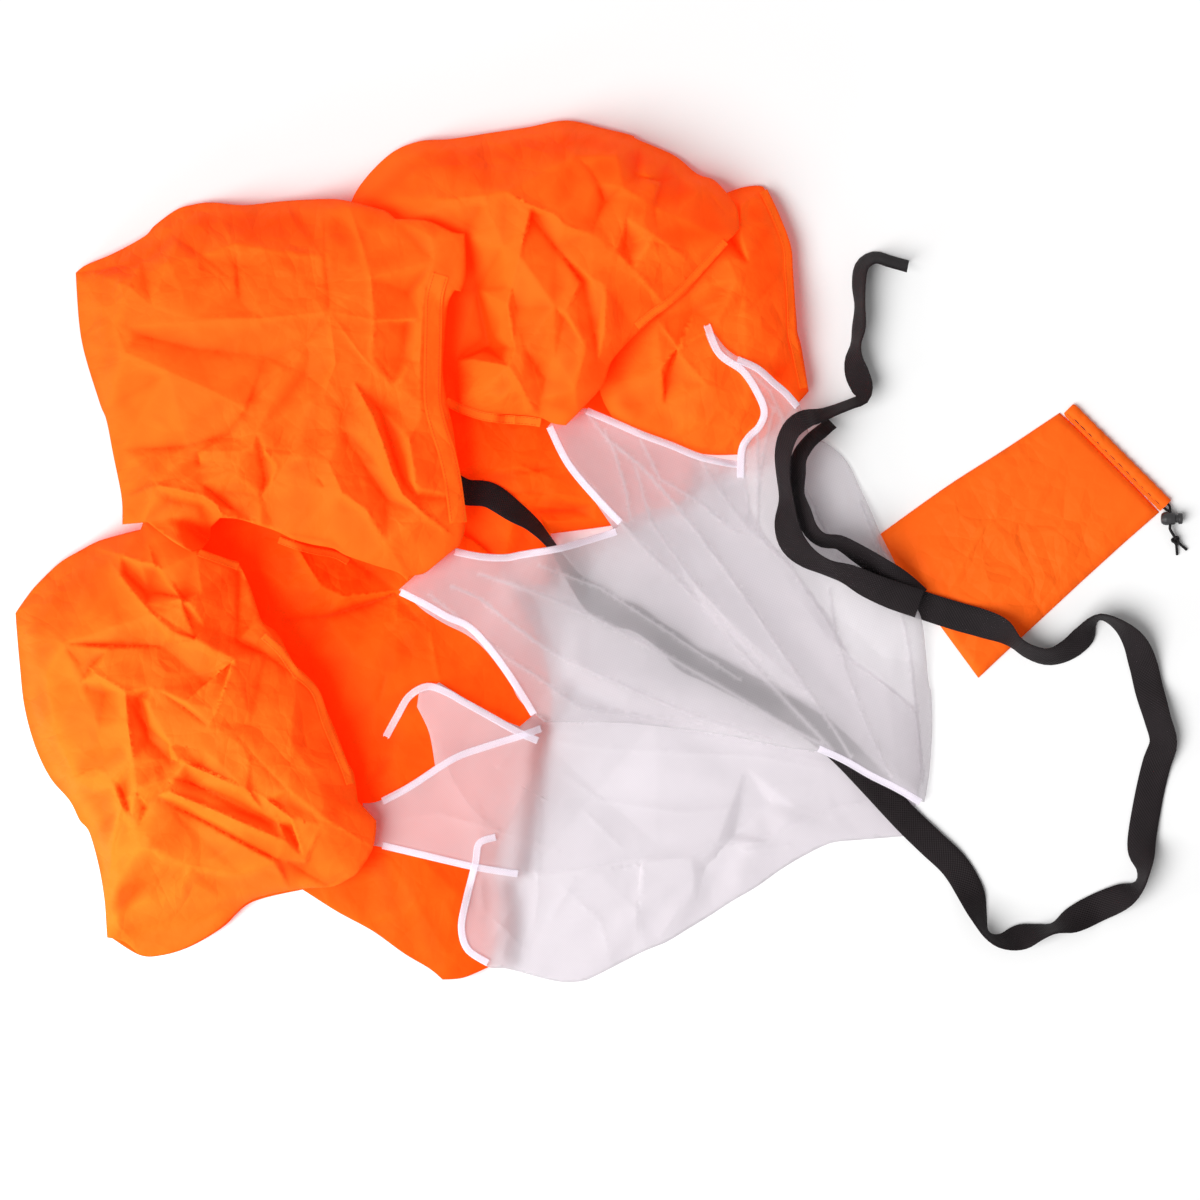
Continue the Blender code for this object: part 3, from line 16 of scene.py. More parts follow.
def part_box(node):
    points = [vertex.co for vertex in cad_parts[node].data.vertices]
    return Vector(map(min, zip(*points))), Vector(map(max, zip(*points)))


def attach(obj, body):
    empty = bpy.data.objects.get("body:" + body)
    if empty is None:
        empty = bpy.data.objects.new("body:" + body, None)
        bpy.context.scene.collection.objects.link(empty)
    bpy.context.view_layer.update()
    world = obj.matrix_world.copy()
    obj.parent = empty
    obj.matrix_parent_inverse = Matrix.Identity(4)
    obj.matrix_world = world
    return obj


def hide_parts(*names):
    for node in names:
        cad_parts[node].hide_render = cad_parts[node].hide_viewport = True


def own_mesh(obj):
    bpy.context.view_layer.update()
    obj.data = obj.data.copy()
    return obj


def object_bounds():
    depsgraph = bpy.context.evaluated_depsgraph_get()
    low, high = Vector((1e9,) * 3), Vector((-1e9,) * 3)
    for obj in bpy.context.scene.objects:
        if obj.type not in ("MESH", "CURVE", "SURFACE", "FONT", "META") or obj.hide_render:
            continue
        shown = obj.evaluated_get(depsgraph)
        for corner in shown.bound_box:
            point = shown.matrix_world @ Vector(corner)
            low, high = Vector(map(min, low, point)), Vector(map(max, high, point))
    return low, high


bl_info = {
    "name": "Speed Parachute",
    "version": (1, 0, 0),
    "blender": (4, 5, 0),
    "location": "3D View > Sidebar > Parachute",
    "description": "Makes the cloths, webbing, bag and cord lock of a speed parachute over its CAD frame",
    "category": "Add Mesh",
}

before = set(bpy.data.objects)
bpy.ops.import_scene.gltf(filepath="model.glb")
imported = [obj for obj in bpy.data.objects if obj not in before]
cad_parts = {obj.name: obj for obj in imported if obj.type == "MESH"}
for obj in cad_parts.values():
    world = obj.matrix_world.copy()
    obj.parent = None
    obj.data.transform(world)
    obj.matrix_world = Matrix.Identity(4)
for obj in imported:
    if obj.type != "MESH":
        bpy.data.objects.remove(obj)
CAD_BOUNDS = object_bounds()

# The square of ground that the outlines, creases and routes are shares of
LAYOUT_LENGTH = 1.05

# The middle of the photograph on the layout, and the ground that its frame spans
PICTURE_PLACE_SHARES = (0.004, -0.048)

# Heights are kept on a square grid over the layout
GRID_CELL = 0.0012
GRID_MARGIN = 0.030
LEAST_AREA = 0.000001
ON_EDGE = 0.000001
TINY = 1e-12
SMALL = 1e-9
MERGE_DISTANCE = 1e-7
CORNER_TURN = math.radians(32.0)

# The camera's film, in millimetres, how far it sees, and plain white
SENSOR_WIDTH = 36.0
CAMERA_REACH = 50.0
WHITE = (1.0, 1.0, 1.0)

# A fixed red emission on the orange cloths: a painted glow that keeps them red in the shade, standing for the
# fluorescent dye
PAINTED_RED_GLOW = (1.0, 0.05, 0.0)

# Threads of the real cloth are 0.25 mm apart, too fine to show, so they are drawn 0.9 mm apart
CLOTH_PITCH = 0.0009
BINDING_PITCH = 0.0012
BRAID_PITCH = 0.0010
THREAD_PITCH = 0.0006
PLASTIC_GRAIN = 0.0012
STEEL_GRAIN = 0.0006

# Crushed cloth: how far the pattern is bent, where it is calm, and each kind of facet with its slope
BENT_SCALE = 14.0
BENT_REACH = (0.03, 0.03, 0.0)
CALM_SCALE = 6.0
CALM_RANGE = (0.40, 0.62, 0.25, 1.0)
FACET_SCALES = ((19.0, 0.13), (43.0, 0.11), (104.0, 0.05))

# How cloth is painted deeper in its folds as shade and is clouded, and how tape is worn
FOLD_SHADE_RANGE = (-0.2, 1.0, 0.0, 0.85)
CLOUD_SCALE = 9.0
CLOUD_RANGE = (0.3, 0.7, 0.96, 1.03)
WORN_SCALE = 60.0
WORN_RANGE = (0.3, 0.7, 0.85, 1.2)
CLOTH_WEAVE_DEPTH = 0.10
CLOTH_SPECULAR = 0.04
TAPE_SPECULAR = 0.15
TAPE_SHEEN = 0.02
TAPE_SHEEN_ROUGHNESS = 0.4

# The net: how its cover changes from thread to hole, along folds, at a slant and for its shadow
THREAD_WAVE = 0.6
THREAD_COVER = 0.04
FOLDED_COVER = 0.34
SLANT_BLEND = 0.25
SLANT_COVER = 0.5
SHADOW_SHARE = 0.45
NET_THROUGH_SHARE = 0.55
NET_ROUGHNESS = 0.8
NET_SPECULAR = 0.1

# Moulded plastic and wire: how much their roughness changes, and the depth of their grain
SMOOTHER = 0.06
ROUGHER = 0.08
GRAIN_DEPTH = 0.15

# How cloths lie on each other
LAY_GAP = 0.0005
CLEARING_ROUNDS = 3
SPREAD_CELLS = 4
PATCH_CELLS = 24
BASE_SPREAD_CELLS = 6
BASE_BLUR_CELLS = 5
RIM_BLUR_CELLS = 12
# Blur, in cells, for the painted fold shade
FOLD_SHADE_BLUR_CELLS = 7
RIM_FACET_SHARE = 0.35
FOLD_RIM_POINTS = 60
CREASE_REACHES = 5
LEAST_LINE_SHARE = 0.3
RIM_CLEAR_SHARE = 0.55
CREASE_CLEAR_SHARE = 0.7
POINT_CLEAR_SHARE = 0.62
JITTER_SHARE = 0.48
CALM_WAVES = (0.9, 1.1)
CALM_MIDDLE = 0.75
CALM_REACH = 0.45
LEAST_TOP = 0.0004
BAG_TOP = 0.0005
FULLER_POWER = 1.5
# The depth of fold that gets the full painted fold shade
FOLD_SHADE_DEPTH = 0.004

# How routes are read, and how webbing takes up the ground's slope
ROUTE_SAMPLES = 12
MOST_SLOPE = math.radians(30.0)
LIFT_KEPT_SHARE = 0.35
TILT_ROWS = 3
LIFT_ROWS = 2
TAPE_SLOPE = 0.6
SHARP_ANGLE = math.radians(40.0)
BAND_ACROSS_SHARES = (-0.5, -0.475, -0.24, 0.0, 0.24, 0.475, 0.5)
BAND_EDGE_SHARE = 0.49
BAND_EDGE_ROUND_SHARE = 0.3
FLOOR_GAP = 0.0003
STITCH_PLACE_SHARE = 0.36
STITCH_RUN_SHARE = 0.94
STITCH_SCALES = (0.88, 1.08)
THREAD_SIDES = 6
DOUBLED_SHARE = 0.85
SPRING_WIRE = 0.00045
SPRING_SIDES = 8
SPRING_TURNS = 2.5
SPRING_POINTS_PER_TURN = 20
UPPER_NET_NODES = ("mesh_upper_layer", "mesh_petal_top", "mesh_petal_right", "mesh_petal_left")
LOWER_NET_NODES = ("mesh_lower_layer", "mesh_petal_inner", "mesh_petal_lower_left", "mesh_petal_bottom")

# Storage bag, its channel, drawcord and lock, as in the CAD frame
BAG_LENGTH = 0.263
BAG_WIDTH = 0.1825
BAG_TURN = math.radians(38.6)
BAG_PLACE_SHARES = (0.4285, 0.0222)
MOUTH_EDGE_SHARES = (0.4360, -0.0050)
CHANNEL_LENGTH = 0.144
CHANNEL_WIDTH = 0.016
CHANNEL_HEIGHT = 0.0076
CHANNEL_TURN = math.radians(-45.0)
CHANNEL_END_WALL = 0.004
CHANNEL_SEAM_GAP = 0.0006
BAG_SEED = 61
BAG_RIM_CELLS = 3
BAG_RIM_SLOPE = 1.6
BAG_RIM_DROP = 0.55
BAG_FLAT_SHARE = 0.12
CHANNEL_SIDES = 20
CHANNEL_ROWS = 60
CHANNEL_FULL_SHARE = 0.95
CHANNEL_INNER_SHARE = 0.78
CHANNEL_INNER_ROWS = 5
CHANNEL_END_SHARES = (0.3, 0.85, 0.5)
CHANNEL_DROP_SHARE = 0.35
HEM_FLAT_LENGTH = 0.003
HEM_FLAT_SHARE = 0.40
GATHER_LENGTH = 0.011
GATHER_SHARE = 0.14
GATHER_SHIFT = 0.9
CORD_DIAMETER = 0.0028
CORD_SIDES = 10
CORD_STEP_SHARE = 0.6
LOCK_CLEAR_SHARE = 1.6
STRAND_SPREAD = 0.0052
STRAND_STACK = 0.0031
BRAID_TURN = math.radians(45.0)
KNOT_WIDTH = 0.0105
KNOT_LENGTH = 0.0115
KNOT_HEIGHT = 0.0085
KNOT_TURN_REACH = 3.0
KNOT_POINTS = 48
KNOT_TAIL_POINTS = 8
KNOT_TAIL_LENGTH = 0.0095
KNOT_TAIL_SPREAD = math.radians(22.0)
KNOT_TURN = math.radians(28.0)
LOCK_AXIS_HEIGHT = 0.0070
BARREL_LENGTH = 0.0150
BARREL_RADIUS = 0.0070
CORD_HOLE_PLACE = 0.0095
LOCK_OFFSET = (0.0024, -0.0136)
KNOT_OFFSET = (0.0083, -0.0230)


def linear(hex_colour):
    """The linear colour of an sRGB hex value."""
    values = [int(hex_colour[place : place + 2], 16) / 255 for place in (1, 3, 5)]
    return tuple(value / 12.92 if value <= 0.04045 else ((value + 0.055) / 1.055) ** 2.4 for value in values)


def length(name, description, default):
    return FloatProperty(
        name=name, description=description, default=default, min=0.0, unit="LENGTH", precision=5
    )


def place(name, description, default):
    return FloatProperty(name=name, description=description, default=default, unit="LENGTH", precision=5)


def amount(name, description, default):
    return FloatProperty(name=name, description=description, default=default, min=0.0)


def angle(name, description, degrees):
    return FloatProperty(name=name, description=description, default=math.radians(degrees), subtype="ANGLE")


def colour(name, description, hex_colour):
    return FloatVectorProperty(
        name=name, description=description, default=linear(hex_colour), size=3, min=0.0, max=1.0,
        subtype="COLOR",
    )


def share(name, description, default):
    return FloatProperty(
        name=name, description=description, default=default, min=0.0, max=1.0, subtype="FACTOR"
    )


class CanopySizes(bpy.types.PropertyGroup):
    thickness: length("Cloth thickness", "Thickness of the canopy's coated cloth", 0.0006)
    spacing: length("Point spacing", "Distance between the points of a canopy sheet", 0.0024)
    fold_height: length("Fold height", "Height of a full fold in the tables", 0.010)
    crease_depth: length("Crease depth", "Depth of a full crease in the tables", 0.0034)
    crease_width: length("Crease width", "Half width of a full crease in the tables", 0.0042)
    crumple_height: length("Crumple height", "Height of the large facets of crumpled cloth", 0.0022)
    crumple_size: length("Crumple size", "Distance between the large facets' corners", 0.042)
    wrinkle_height: length("Wrinkle height", "Height of the small facets of crumpled cloth", 0.0008)
    wrinkle_size: length("Wrinkle size", "Distance between the small facets' corners", 0.016)
    hem_width: length("Hem width", "Width of a sewn hem", 0.0075)
    hem_thickness: length("Hem thickness", "How far a hem stands up from its cloth", 0.0004)
    flatness: share("Facet flatness", "How far the cloth is drawn flat between its folds", 0.65)
    line_width: length("Crease line width", "Half width of the worn line along a crease", 0.0012)


class MeshSizes(bpy.types.PropertyGroup):
    thickness: length("Mesh thickness", "Thickness of the mesh star's net", 0.0004)
    spacing: length("Point spacing", "Distance between the points of a mesh sheet", 0.0032)
    fold_height: length("Fold height", "Height of a full fold in the tables", 0.006)
    crease_depth: length("Crease depth", "Depth of a full crease in the tables", 0.0024)
    crease_width: length("Crease width", "Half width of a full crease in the tables", 0.0060)
    crumple_height: length("Crumple height", "Height of the mesh's soft waves", 0.0012)
    crumple_size: length("Crumple size", "Distance between the soft waves", 0.060)
    wrinkle_height: length("Wrinkle height", "Height of the mesh's small waves", 0.0003)
    wrinkle_size: length("Wrinkle size", "Distance between the small waves", 0.020)
    thread_pitch: length("Thread pitch", "Distance between the net's threads", 0.0012)
    line_width: length("Fold line width", "Half width of the denser line along a fold", 0.0016)
    flatness: share("Facet flatness", "How far the mesh is drawn flat between its folds", 0.30)
    binding_width: length("Binding width", "Width of the white tape on the mesh's edges", 0.0075)
    binding_thickness: length("Binding thickness", "Thickness of the white tape", 0.0009)


class WebbingSizes(bpy.types.PropertyGroup):
    width: length("Width", "Width of the tow strap's and waist belt's webbing", 0.030)
    thickness: length("Thickness", "Thickness of the webbing", 0.0017)
    step: length("Row step", "Distance between two rows of points along the webbing", 0.005)
    rib_pitch: length("Rib pitch", "Distance between two woven ribs", 0.0016)


class BagSizes(bpy.types.PropertyGroup):
    spacing: length("Point spacing", "Distance between the points of the bag's panels", 0.0022)
    crease_depth: length("Crease depth", "Depth of a full crease in the tables", 0.0016)
    crease_width: length("Crease width", "Half width of a full crease in the tables", 0.0070)
    crumple_height: length("Crumple height", "Height of the bag's soft dents", 0.0011)
    crumple_size: length("Crumple size", "Distance between the bag's dents", 0.050)
    wrinkle_height: length("Wrinkle height", "Height of the small wrinkles", 0.0004)
    wrinkle_size: length("Wrinkle size", "Distance between the small wrinkles", 0.014)
    flatness: share("Facet flatness", "How far the bag is drawn flat between its folds", 0.0)


class StitchSizes(bpy.types.PropertyGroup):
    pitch: length("Stitch pitch", "Distance from one stitch to the next", 0.0036)
    reach: length("Stitch length", "Length of one stitch", 0.0026)
    thread: length("Thread diameter", "Diameter of the sewing thread", 0.0005)
    seed: IntProperty(name="Seed", description="Seed of the stitches' small turns", default=4, min=0)


class FinishColours(bpy.types.PropertyGroup):
    canopy: colour("Canopy cloth", "Fluorescent orange of the canopy", "#FF7D22")
    # Painted shade: the colour that the cloths are blended towards in their folds, and also the orange thread's own
    # colour
    canopy_fold_shade_and_thread: colour("Canopy folds", "The cloth's deeper colour where it lies in a fold", "#FF4A08")
    canopy_glow: colour("Light through the canopy", "Colour of the light it lets through", "#FF3A08")
    # The inner side's deeper orange is partly painted shade, as that side lies in the lobes' shade, and partly the
    # uncoated cloth's own tone
    inside: colour("Canopy inside", "The uncoated inner side", "#FF6A14")
    mesh: colour("Mesh", "White polyester net", "#E0DCDF")
    binding: colour("Binding", "White woven tape", "#F4F0F6")
    # The webbing's slight warm tint is a painted reflection of the orange cloth's bounce light on the black
    webbing: colour("Webbing", "Black polypropylene webbing", "#1A1416")
    bag: colour("Bag cloth", "Orange of the storage bag", "#FF7420")
    cord: colour("Drawcord", "Black braided cord", "#1C1A1B")
    plastic: colour("Lock plastic", "Black moulded acetal", "#232123")
    spring: colour("Spring steel", "Drawn spring wire", "#B9BABD")
    floor: colour("Floor", "Paper that the parachute lies on", "#F7F7F8")


class StageSizes(bpy.types.PropertyGroup):
    span: length("Picture span", "Ground that the picture spans", 1.26)
    camera_height: length("Camera height", "Height of the camera over the floor", 6.0)
    floor_size: length("Floor size", "Side of the floor", 14.0)
    light: amount("Light", "All the light on the floor, where 1 shows a colour as it is", 1.0)
    lamp_share: share("Lamp share", "The soft lamp's share of the light on the floor", 0.70)
    lamp_softness: angle("Lamp softness", "The angle that the lamp fills", 46.0)
    lamp_height: angle("Lamp elevation", "The lamp's angle over the floor", 50.0)
    lamp_turn: angle("Lamp direction", "The lamp's angle round the object", 212.0)
    side_across: place("Side lamp across", "The side lamp's place, to the right of the middle", -0.75)
    side_along: place("Side lamp along", "The side lamp's place, up from the middle", -0.45)
    side_height: length("Side lamp height", "The side lamp's height over the floor", 0.36)
    side_size: length("Side lamp size", "Side of the side lamp's soft box", 0.35)
    side_power: amount("Side lamp power", "Power of the side lamp", 2.6)


GROUPS = {
    "canopy_sizes": CanopySizes,
    "mesh_sizes": MeshSizes,
    "webbing_sizes": WebbingSizes,
    "bag_sizes": BagSizes,
    "stitch_sizes": StitchSizes,
    "finish_colours": FinishColours,
    "stage_sizes": StageSizes,
}


def setting(group):
    """The property group that holds one kind of piece's sizes."""
    return getattr(bpy.context.scene, group)


# Materials


def add_node(tree, kind, inputs=None, **settings):
    """Adds a node with its own settings. An input takes a value, or a link where it is given a socket."""
    node = tree.nodes.new(kind)
    for name, value in settings.items():
        setattr(node, name, value)
    for name, value in (inputs or {}).items():
        if isinstance(value, bpy.types.NodeSocket):
            tree.links.new(value, node.inputs[name])
        else:
            node.inputs[name].default_value = value
    return node


def new_material(name):
    """An empty material and its node tree."""
    material = bpy.data.materials.new(name)
    material.use_nodes = True
    material.node_tree.nodes.clear()
    return material, material.node_tree


def opaque(value):
    return (*value, 1.0)


def cut_place(tree):
    """Places on the flat cut, in metres."""
    return add_node(tree, "ShaderNodeUVMap", uv_map="cut").outputs["UV"]


def worked_out(tree, operation, *values, clamp=False):
    """The outcome of a calculation with sockets or numbers."""
    inputs = dict(enumerate(values))
    return add_node(tree, "ShaderNodeMath", inputs, operation=operation, use_clamp=clamp).outputs[0]


def noise(tree, vector, scale, detail):
    """The outputs of a cloudy noise."""
    return add_node(tree, "ShaderNodeTexNoise", {"Vector": vector, "Scale": scale, "Detail": detail}).outputs


def ranged(tree, value, start, end, low, high):
    """A value carried from the range start to end over to the range low to high."""
    inputs = {"Value": value, "From Min": start, "From Max": end, "To Min": low, "To Max": high}
    return add_node(tree, "ShaderNodeMapRange", inputs).outputs["Result"]


def bumped(tree, height, strength, distance, normal=None):
    """The normal of a surface with small heights, over another normal where one is given."""
    inputs = {"Height": height, "Strength": strength, "Distance": distance}
    if normal is not None:
        inputs["Normal"] = normal
    return add_node(tree, "ShaderNodeBump", inputs).outputs["Normal"]


def mixed(tree, part, first, second):
    """Two shaders, with the second one's part of the light."""
    return add_node(tree, "ShaderNodeMixShader", {"Fac": part, 1: first, 2: second}).outputs[0]


def blended_colour(tree, part, first, second):
    """Two colours blended, with the second one's part."""
    inputs = {"Factor": part, 6: opaque(first), 7: opaque(second)}
    return add_node(tree, "ShaderNodeMix", inputs, data_type="RGBA").outputs[2]


def show(tree, shader):
    """Makes a shader the material's surface."""
    add_node(tree, "ShaderNodeOutputMaterial", {"Surface": shader})


def woven_height(tree, vector, pitch):
    """A plain weave's height: threads over and under each other, one pitch apart."""
    apart = add_node(tree, "ShaderNodeSeparateXYZ", {"Vector": vector}).outputs
    turns = [worked_out(tree, "MULTIPLY", apart[axis], math.pi / pitch) for axis in ("X", "Y")]
    waves = [worked_out(tree, "SINE", turn) for turn in turns]
    return worked_out(tree, "MULTIPLY", *waves)


def crushed_bump(tree, vector, normal):
    """Fine creases of crushed cloth: flat facets of one to three centimetres that meet in sharp lines."""
    bent = noise(tree, vector, BENT_SCALE, 2.0)["Color"]
    shifted = add_node(
        tree, "ShaderNodeVectorMath", {0: bent, 1: BENT_REACH, 2: vector}, operation="MULTIPLY_ADD"
    ).outputs[0]
    strength = ranged(tree, noise(tree, vector, CALM_SCALE, 1.0)["Fac"], *CALM_RANGE)
    for scale, slope in FACET_SCALES:
        facets = add_node(
            tree, "ShaderNodeTexVoronoi", {"Vector": shifted, "Scale": scale, "Randomness": 1.0},
            feature="DISTANCE_TO_EDGE", voronoi_dimensions="2D",
        )
        normal = bumped(tree, facets.outputs["Distance"], strength, slope / scale, normal)
    return normal


def cloth_material(name, base, fold, glow, passed, roughness, painted_glow):
    """Thin coated polyester: a soft dull shine, a fine plain weave, and light that passes through it.

    The orange is painted deeper in the folds, as shade, from an attribute that the sheet carries. A fixed red
    emission is a painted glow that keeps red strong in the shade, standing for the dye's fluorescence.
    """
    material, tree = new_material(name)
    place = cut_place(tree)
    # Painted shade: the colour is blended towards the fold colour where the sheet's attribute marks a fold
    painted_fold_shade = add_node(tree, "ShaderNodeAttribute", attribute_name="painted_fold_shade").outputs["Fac"]
    fold_shade_share = ranged(tree, painted_fold_shade, *FOLD_SHADE_RANGE)
    shade = blended_colour(tree, fold_shade_share, base, fold)
    bright = ranged(tree, noise(tree, place, CLOUD_SCALE, 3.0)["Fac"], *CLOUD_RANGE)
    tinted = add_node(tree, "ShaderNodeHueSaturation", {"Value": bright, "Color": shade})
    woven = bumped(tree, woven_height(tree, place, CLOTH_PITCH), CLOTH_WEAVE_DEPTH, CLOTH_PITCH / 4)
    normal = crushed_bump(tree, place, woven)
    # The emission is a painted glow: it keeps the cloth red in the shade, standing for the fluorescent dye
    surface = add_node(
        tree, "ShaderNodeBsdfPrincipled",
        {"Base Color": tinted.outputs["Color"], "Normal": normal, "Roughness": roughness,
         "Specular IOR Level": CLOTH_SPECULAR, "Emission Color": opaque(PAINTED_RED_GLOW),
         "Emission Strength": painted_glow},
    )
    through = add_node(tree, "ShaderNodeBsdfTranslucent", {"Normal": normal, "Color": opaque(glow)})
    show(tree, mixed(tree, passed, surface.outputs[0], through.outputs[0]))
    return material


def mesh_material(name, base, pitch, cover):
    """Warp-knitted polyester net: half of it is holes, so that what lies under it shows through, milky.

    The eye sees a pale haze that thickens where the net is seen at a slant. The threads scatter light on, so
    that the net's own shadow is paler than its cover.
    """
    material, tree = new_material(name)
    weave = woven_height(tree, cut_place(tree), pitch)
    threads = ranged(tree, weave, -THREAD_WAVE, THREAD_WAVE, cover - THREAD_COVER, cover + THREAD_COVER)
    folded = add_node(tree, "ShaderNodeAttribute", attribute_name="fold_line").outputs["Fac"]
    denser = worked_out(tree, "MULTIPLY_ADD", folded, FOLDED_COVER, threads)
    facing = add_node(tree, "ShaderNodeLayerWeight", {"Blend": SLANT_BLEND}).outputs["Facing"]
    slanted = worked_out(tree, "MULTIPLY", facing, SLANT_COVER)
    alpha = worked_out(tree, "ADD", denser, slanted, clamp=True)
    shadowed = add_node(tree, "ShaderNodeLightPath").outputs["Is Shadow Ray"]
    seen = worked_out(tree, "MULTIPLY", alpha, ranged(tree, shadowed, 0.0, 1.0, 1.0, SHADOW_SHARE))
    surface = add_node(
        tree, "ShaderNodeBsdfPrincipled",
        {"Base Color": opaque(base), "Roughness": NET_ROUGHNESS, "Specular IOR Level": NET_SPECULAR},
    )
    through = add_node(tree, "ShaderNodeBsdfTranslucent", {"Color": opaque(base)})
    hole = add_node(tree, "ShaderNodeBsdfTransparent")
    thread = mixed(tree, NET_THROUGH_SHARE, surface.outputs[0], through.outputs[0])
    show(tree, mixed(tree, seen, hole.outputs[0], thread))
    return material


def tape_material(name, base, pitch, roughness, depth):
    """Woven tape or webbing: ribs along it and a slight twill across, matt with a faint sheen of fibres."""
    material, tree = new_material(name)
    place = cut_place(tree)
    bright = ranged(tree, noise(tree, place, WORN_SCALE, 4.0)["Fac"], *WORN_RANGE)
    tinted = add_node(tree, "ShaderNodeHueSaturation", {"Value": bright, "Color": opaque(base)})
    normal = bumped(tree, woven_height(tree, place, pitch), depth, pitch / 3)
    surface = add_node(
        tree, "ShaderNodeBsdfPrincipled",
        {"Base Color": tinted.outputs["Color"], "Normal": normal, "Roughness": roughness,
         "Specular IOR Level": TAPE_SPECULAR, "Sheen Weight": TAPE_SHEEN,
         "Sheen Roughness": TAPE_SHEEN_ROUGHNESS},
    )
    show(tree, surface.outputs[0])
    return material


def moulded_material(name, base, roughness, metallic, grain):
    """Moulded acetal or drawn wire: an even sheen with a fine grain left by the tool."""
    material, tree = new_material(name)
    place = add_node(tree, "ShaderNodeTexCoord").outputs["Object"]
    rough = noise(tree, place, 1.0 / grain, 2.0)["Fac"]
    uneven = ranged(tree, rough, 0.0, 1.0, roughness - SMOOTHER, roughness + ROUGHER)
    normal = bumped(tree, rough, GRAIN_DEPTH, grain / 8)
    surface = add_node(
        tree, "ShaderNodeBsdfPrincipled",
        {"Roughness": uneven, "Normal": normal, "Base Color": opaque(base), "Metallic": metallic},
    )
    show(tree, surface.outputs[0])
    return material


def finish(name):
    """The material of one kind of surface, made the first time it is asked for."""
    found = bpy.data.materials.get(name)
    if found:
        return found
    colours = setting("finish_colours")
    fold = colours.canopy_fold_shade_and_thread
    glow = colours.canopy_glow
    net_pitch = setting("mesh_sizes").thread_pitch
    rib_pitch = setting("webbing_sizes").rib_pitch
    # After the colours come, for cloths, the light let through, the roughness and the painted glow's strength; for
    # nets, the pitch and the cover; for tapes, the pitch, the roughness and the weave's depth; for moulded pieces,
    # the roughness, the metal and the grain. A cloth's second colour is the painted shade in its folds.
    makers = {
        "canopy_coated_polyester": (cloth_material, colours.canopy, fold, glow, 0.30, 0.60, 0.27),
        # The inner side's folds are painted in shade with the colour of the light let through
        "canopy_uncoated_inside": (cloth_material, colours.inside, glow, glow, 0.30, 0.60, 0.24),
        "bag_coated_polyester": (cloth_material, colours.bag, fold, glow, 0.10, 0.50, 0.14),
        "hem_tape": (cloth_material, colours.canopy, fold, glow, 0.15, 0.60, 0.25),
        "warp_knitted_net": (mesh_material, colours.mesh, net_pitch, 0.46),
        "woven_binding_tape": (mesh_material, colours.binding, BINDING_PITCH, 0.84),
        "white_thread": (tape_material, colours.binding, THREAD_PITCH, 0.6, 0.2),
        "polypropylene_webbing": (tape_material, colours.webbing, rib_pitch, 0.62, 0.6),
        "braided_cord": (tape_material, colours.cord, BRAID_PITCH, 0.7, 0.7),
        "orange_thread": (tape_material, fold, THREAD_PITCH, 0.6, 0.2),
        "moulded_acetal": (moulded_material, colours.plastic, 0.38, 0.0, PLASTIC_GRAIN),
        "drawn_spring_wire": (moulded_material, colours.spring, 0.28, 1.0, STEEL_GRAIN),
    }
    maker, *values = makers[name]
    return maker(name, *values)


# The grid of heights


class Ground:
    """The heights of all that is laid so far, on a square grid over the layout."""

    def __init__(self, low, cell, heights):
        self.low = low
        self.cell = cell
        self.heights = heights
        self.shape = heights.shape
        self.whole = np.ones(self.shape, bool)

    def patch(self, outline):
        """The part of the grid round an outline. It shares its heights with the whole."""
        left, bottom = np.maximum(self.cells([outline.min(axis=0)])[0].astype(int) - PATCH_CELLS, 0)
        right, top = self.cells([outline.max(axis=0)])[0].astype(int) + PATCH_CELLS
        low = self.low + np.array([left, bottom]) * self.cell
        return Ground(low, self.cell, self.heights[bottom:top, left:right])

    def cells(self, points):
        """Places on the grid, as columns and rows with fractions."""
        return (np.asarray(points)[:, :2] - self.low) / self.cell

    def read(self, grid, points):
        """The grid's values at places in metres, between its four nearest cells."""
        at = self.cells(points)
        column = np.clip(at[:, 0], 0, self.shape[1] - 1.001)
        row = np.clip(at[:, 1], 0, self.shape[0] - 1.001)
        left = column.astype(int)
        low = row.astype(int)
        right_share = column - left
        high_share = row - low
        lower = grid[low, left] * (1 - right_share) + grid[low, left + 1] * right_share
        upper = grid[low + 1, left] * (1 - right_share) + grid[low + 1, left + 1] * right_share
        return lower * (1 - high_share) + upper * high_share

    def filled(self, points, triangles):
        """A grid of the triangles' highest heights, and minus infinity where there are none."""
        grid = np.full(self.shape, -np.inf)
        at = self.cells(points)
        heights = np.asarray(points)[:, 2]
        for corners in triangles:
            x = at[list(corners), 0]
            y = at[list(corners), 1]
            z = heights[list(corners)]
            left = max(math.ceil(x.min() - ON_EDGE), 0)
            right = min(math.floor(x.max() + ON_EDGE), self.shape[1] - 1)
            low = max(math.ceil(y.min() - ON_EDGE), 0)
            high = min(math.floor(y.max() + ON_EDGE), self.shape[0] - 1)
            area = (x[1] - x[0]) * (y[2] - y[0]) - (x[2] - x[0]) * (y[1] - y[0])
            if right < left or high < low or abs(area) < LEAST_AREA:
                continue
            columns = np.arange(left, right + 1)[None, :] - x[0]
            rows = np.arange(low, high + 1)[:, None] - y[0]
            second = (columns * (y[2] - y[0]) - (x[2] - x[0]) * rows) / area
            third = ((x[1] - x[0]) * rows - columns * (y[1] - y[0])) / area
            first = 1.0 - second - third
            inside = (first > -ON_EDGE) & (second > -ON_EDGE) & (third > -ON_EDGE)
            level = first * z[0] + second * z[1] + third * z[2]
            patch = grid[low : high + 1, left : right + 1]
            np.maximum(patch, np.where(inside, level, -np.inf), out=patch)
        return grid

    def lay(self, grid):
        """Adds the top of a new piece."""
        np.maximum(self.heights, grid, out=self.heights)


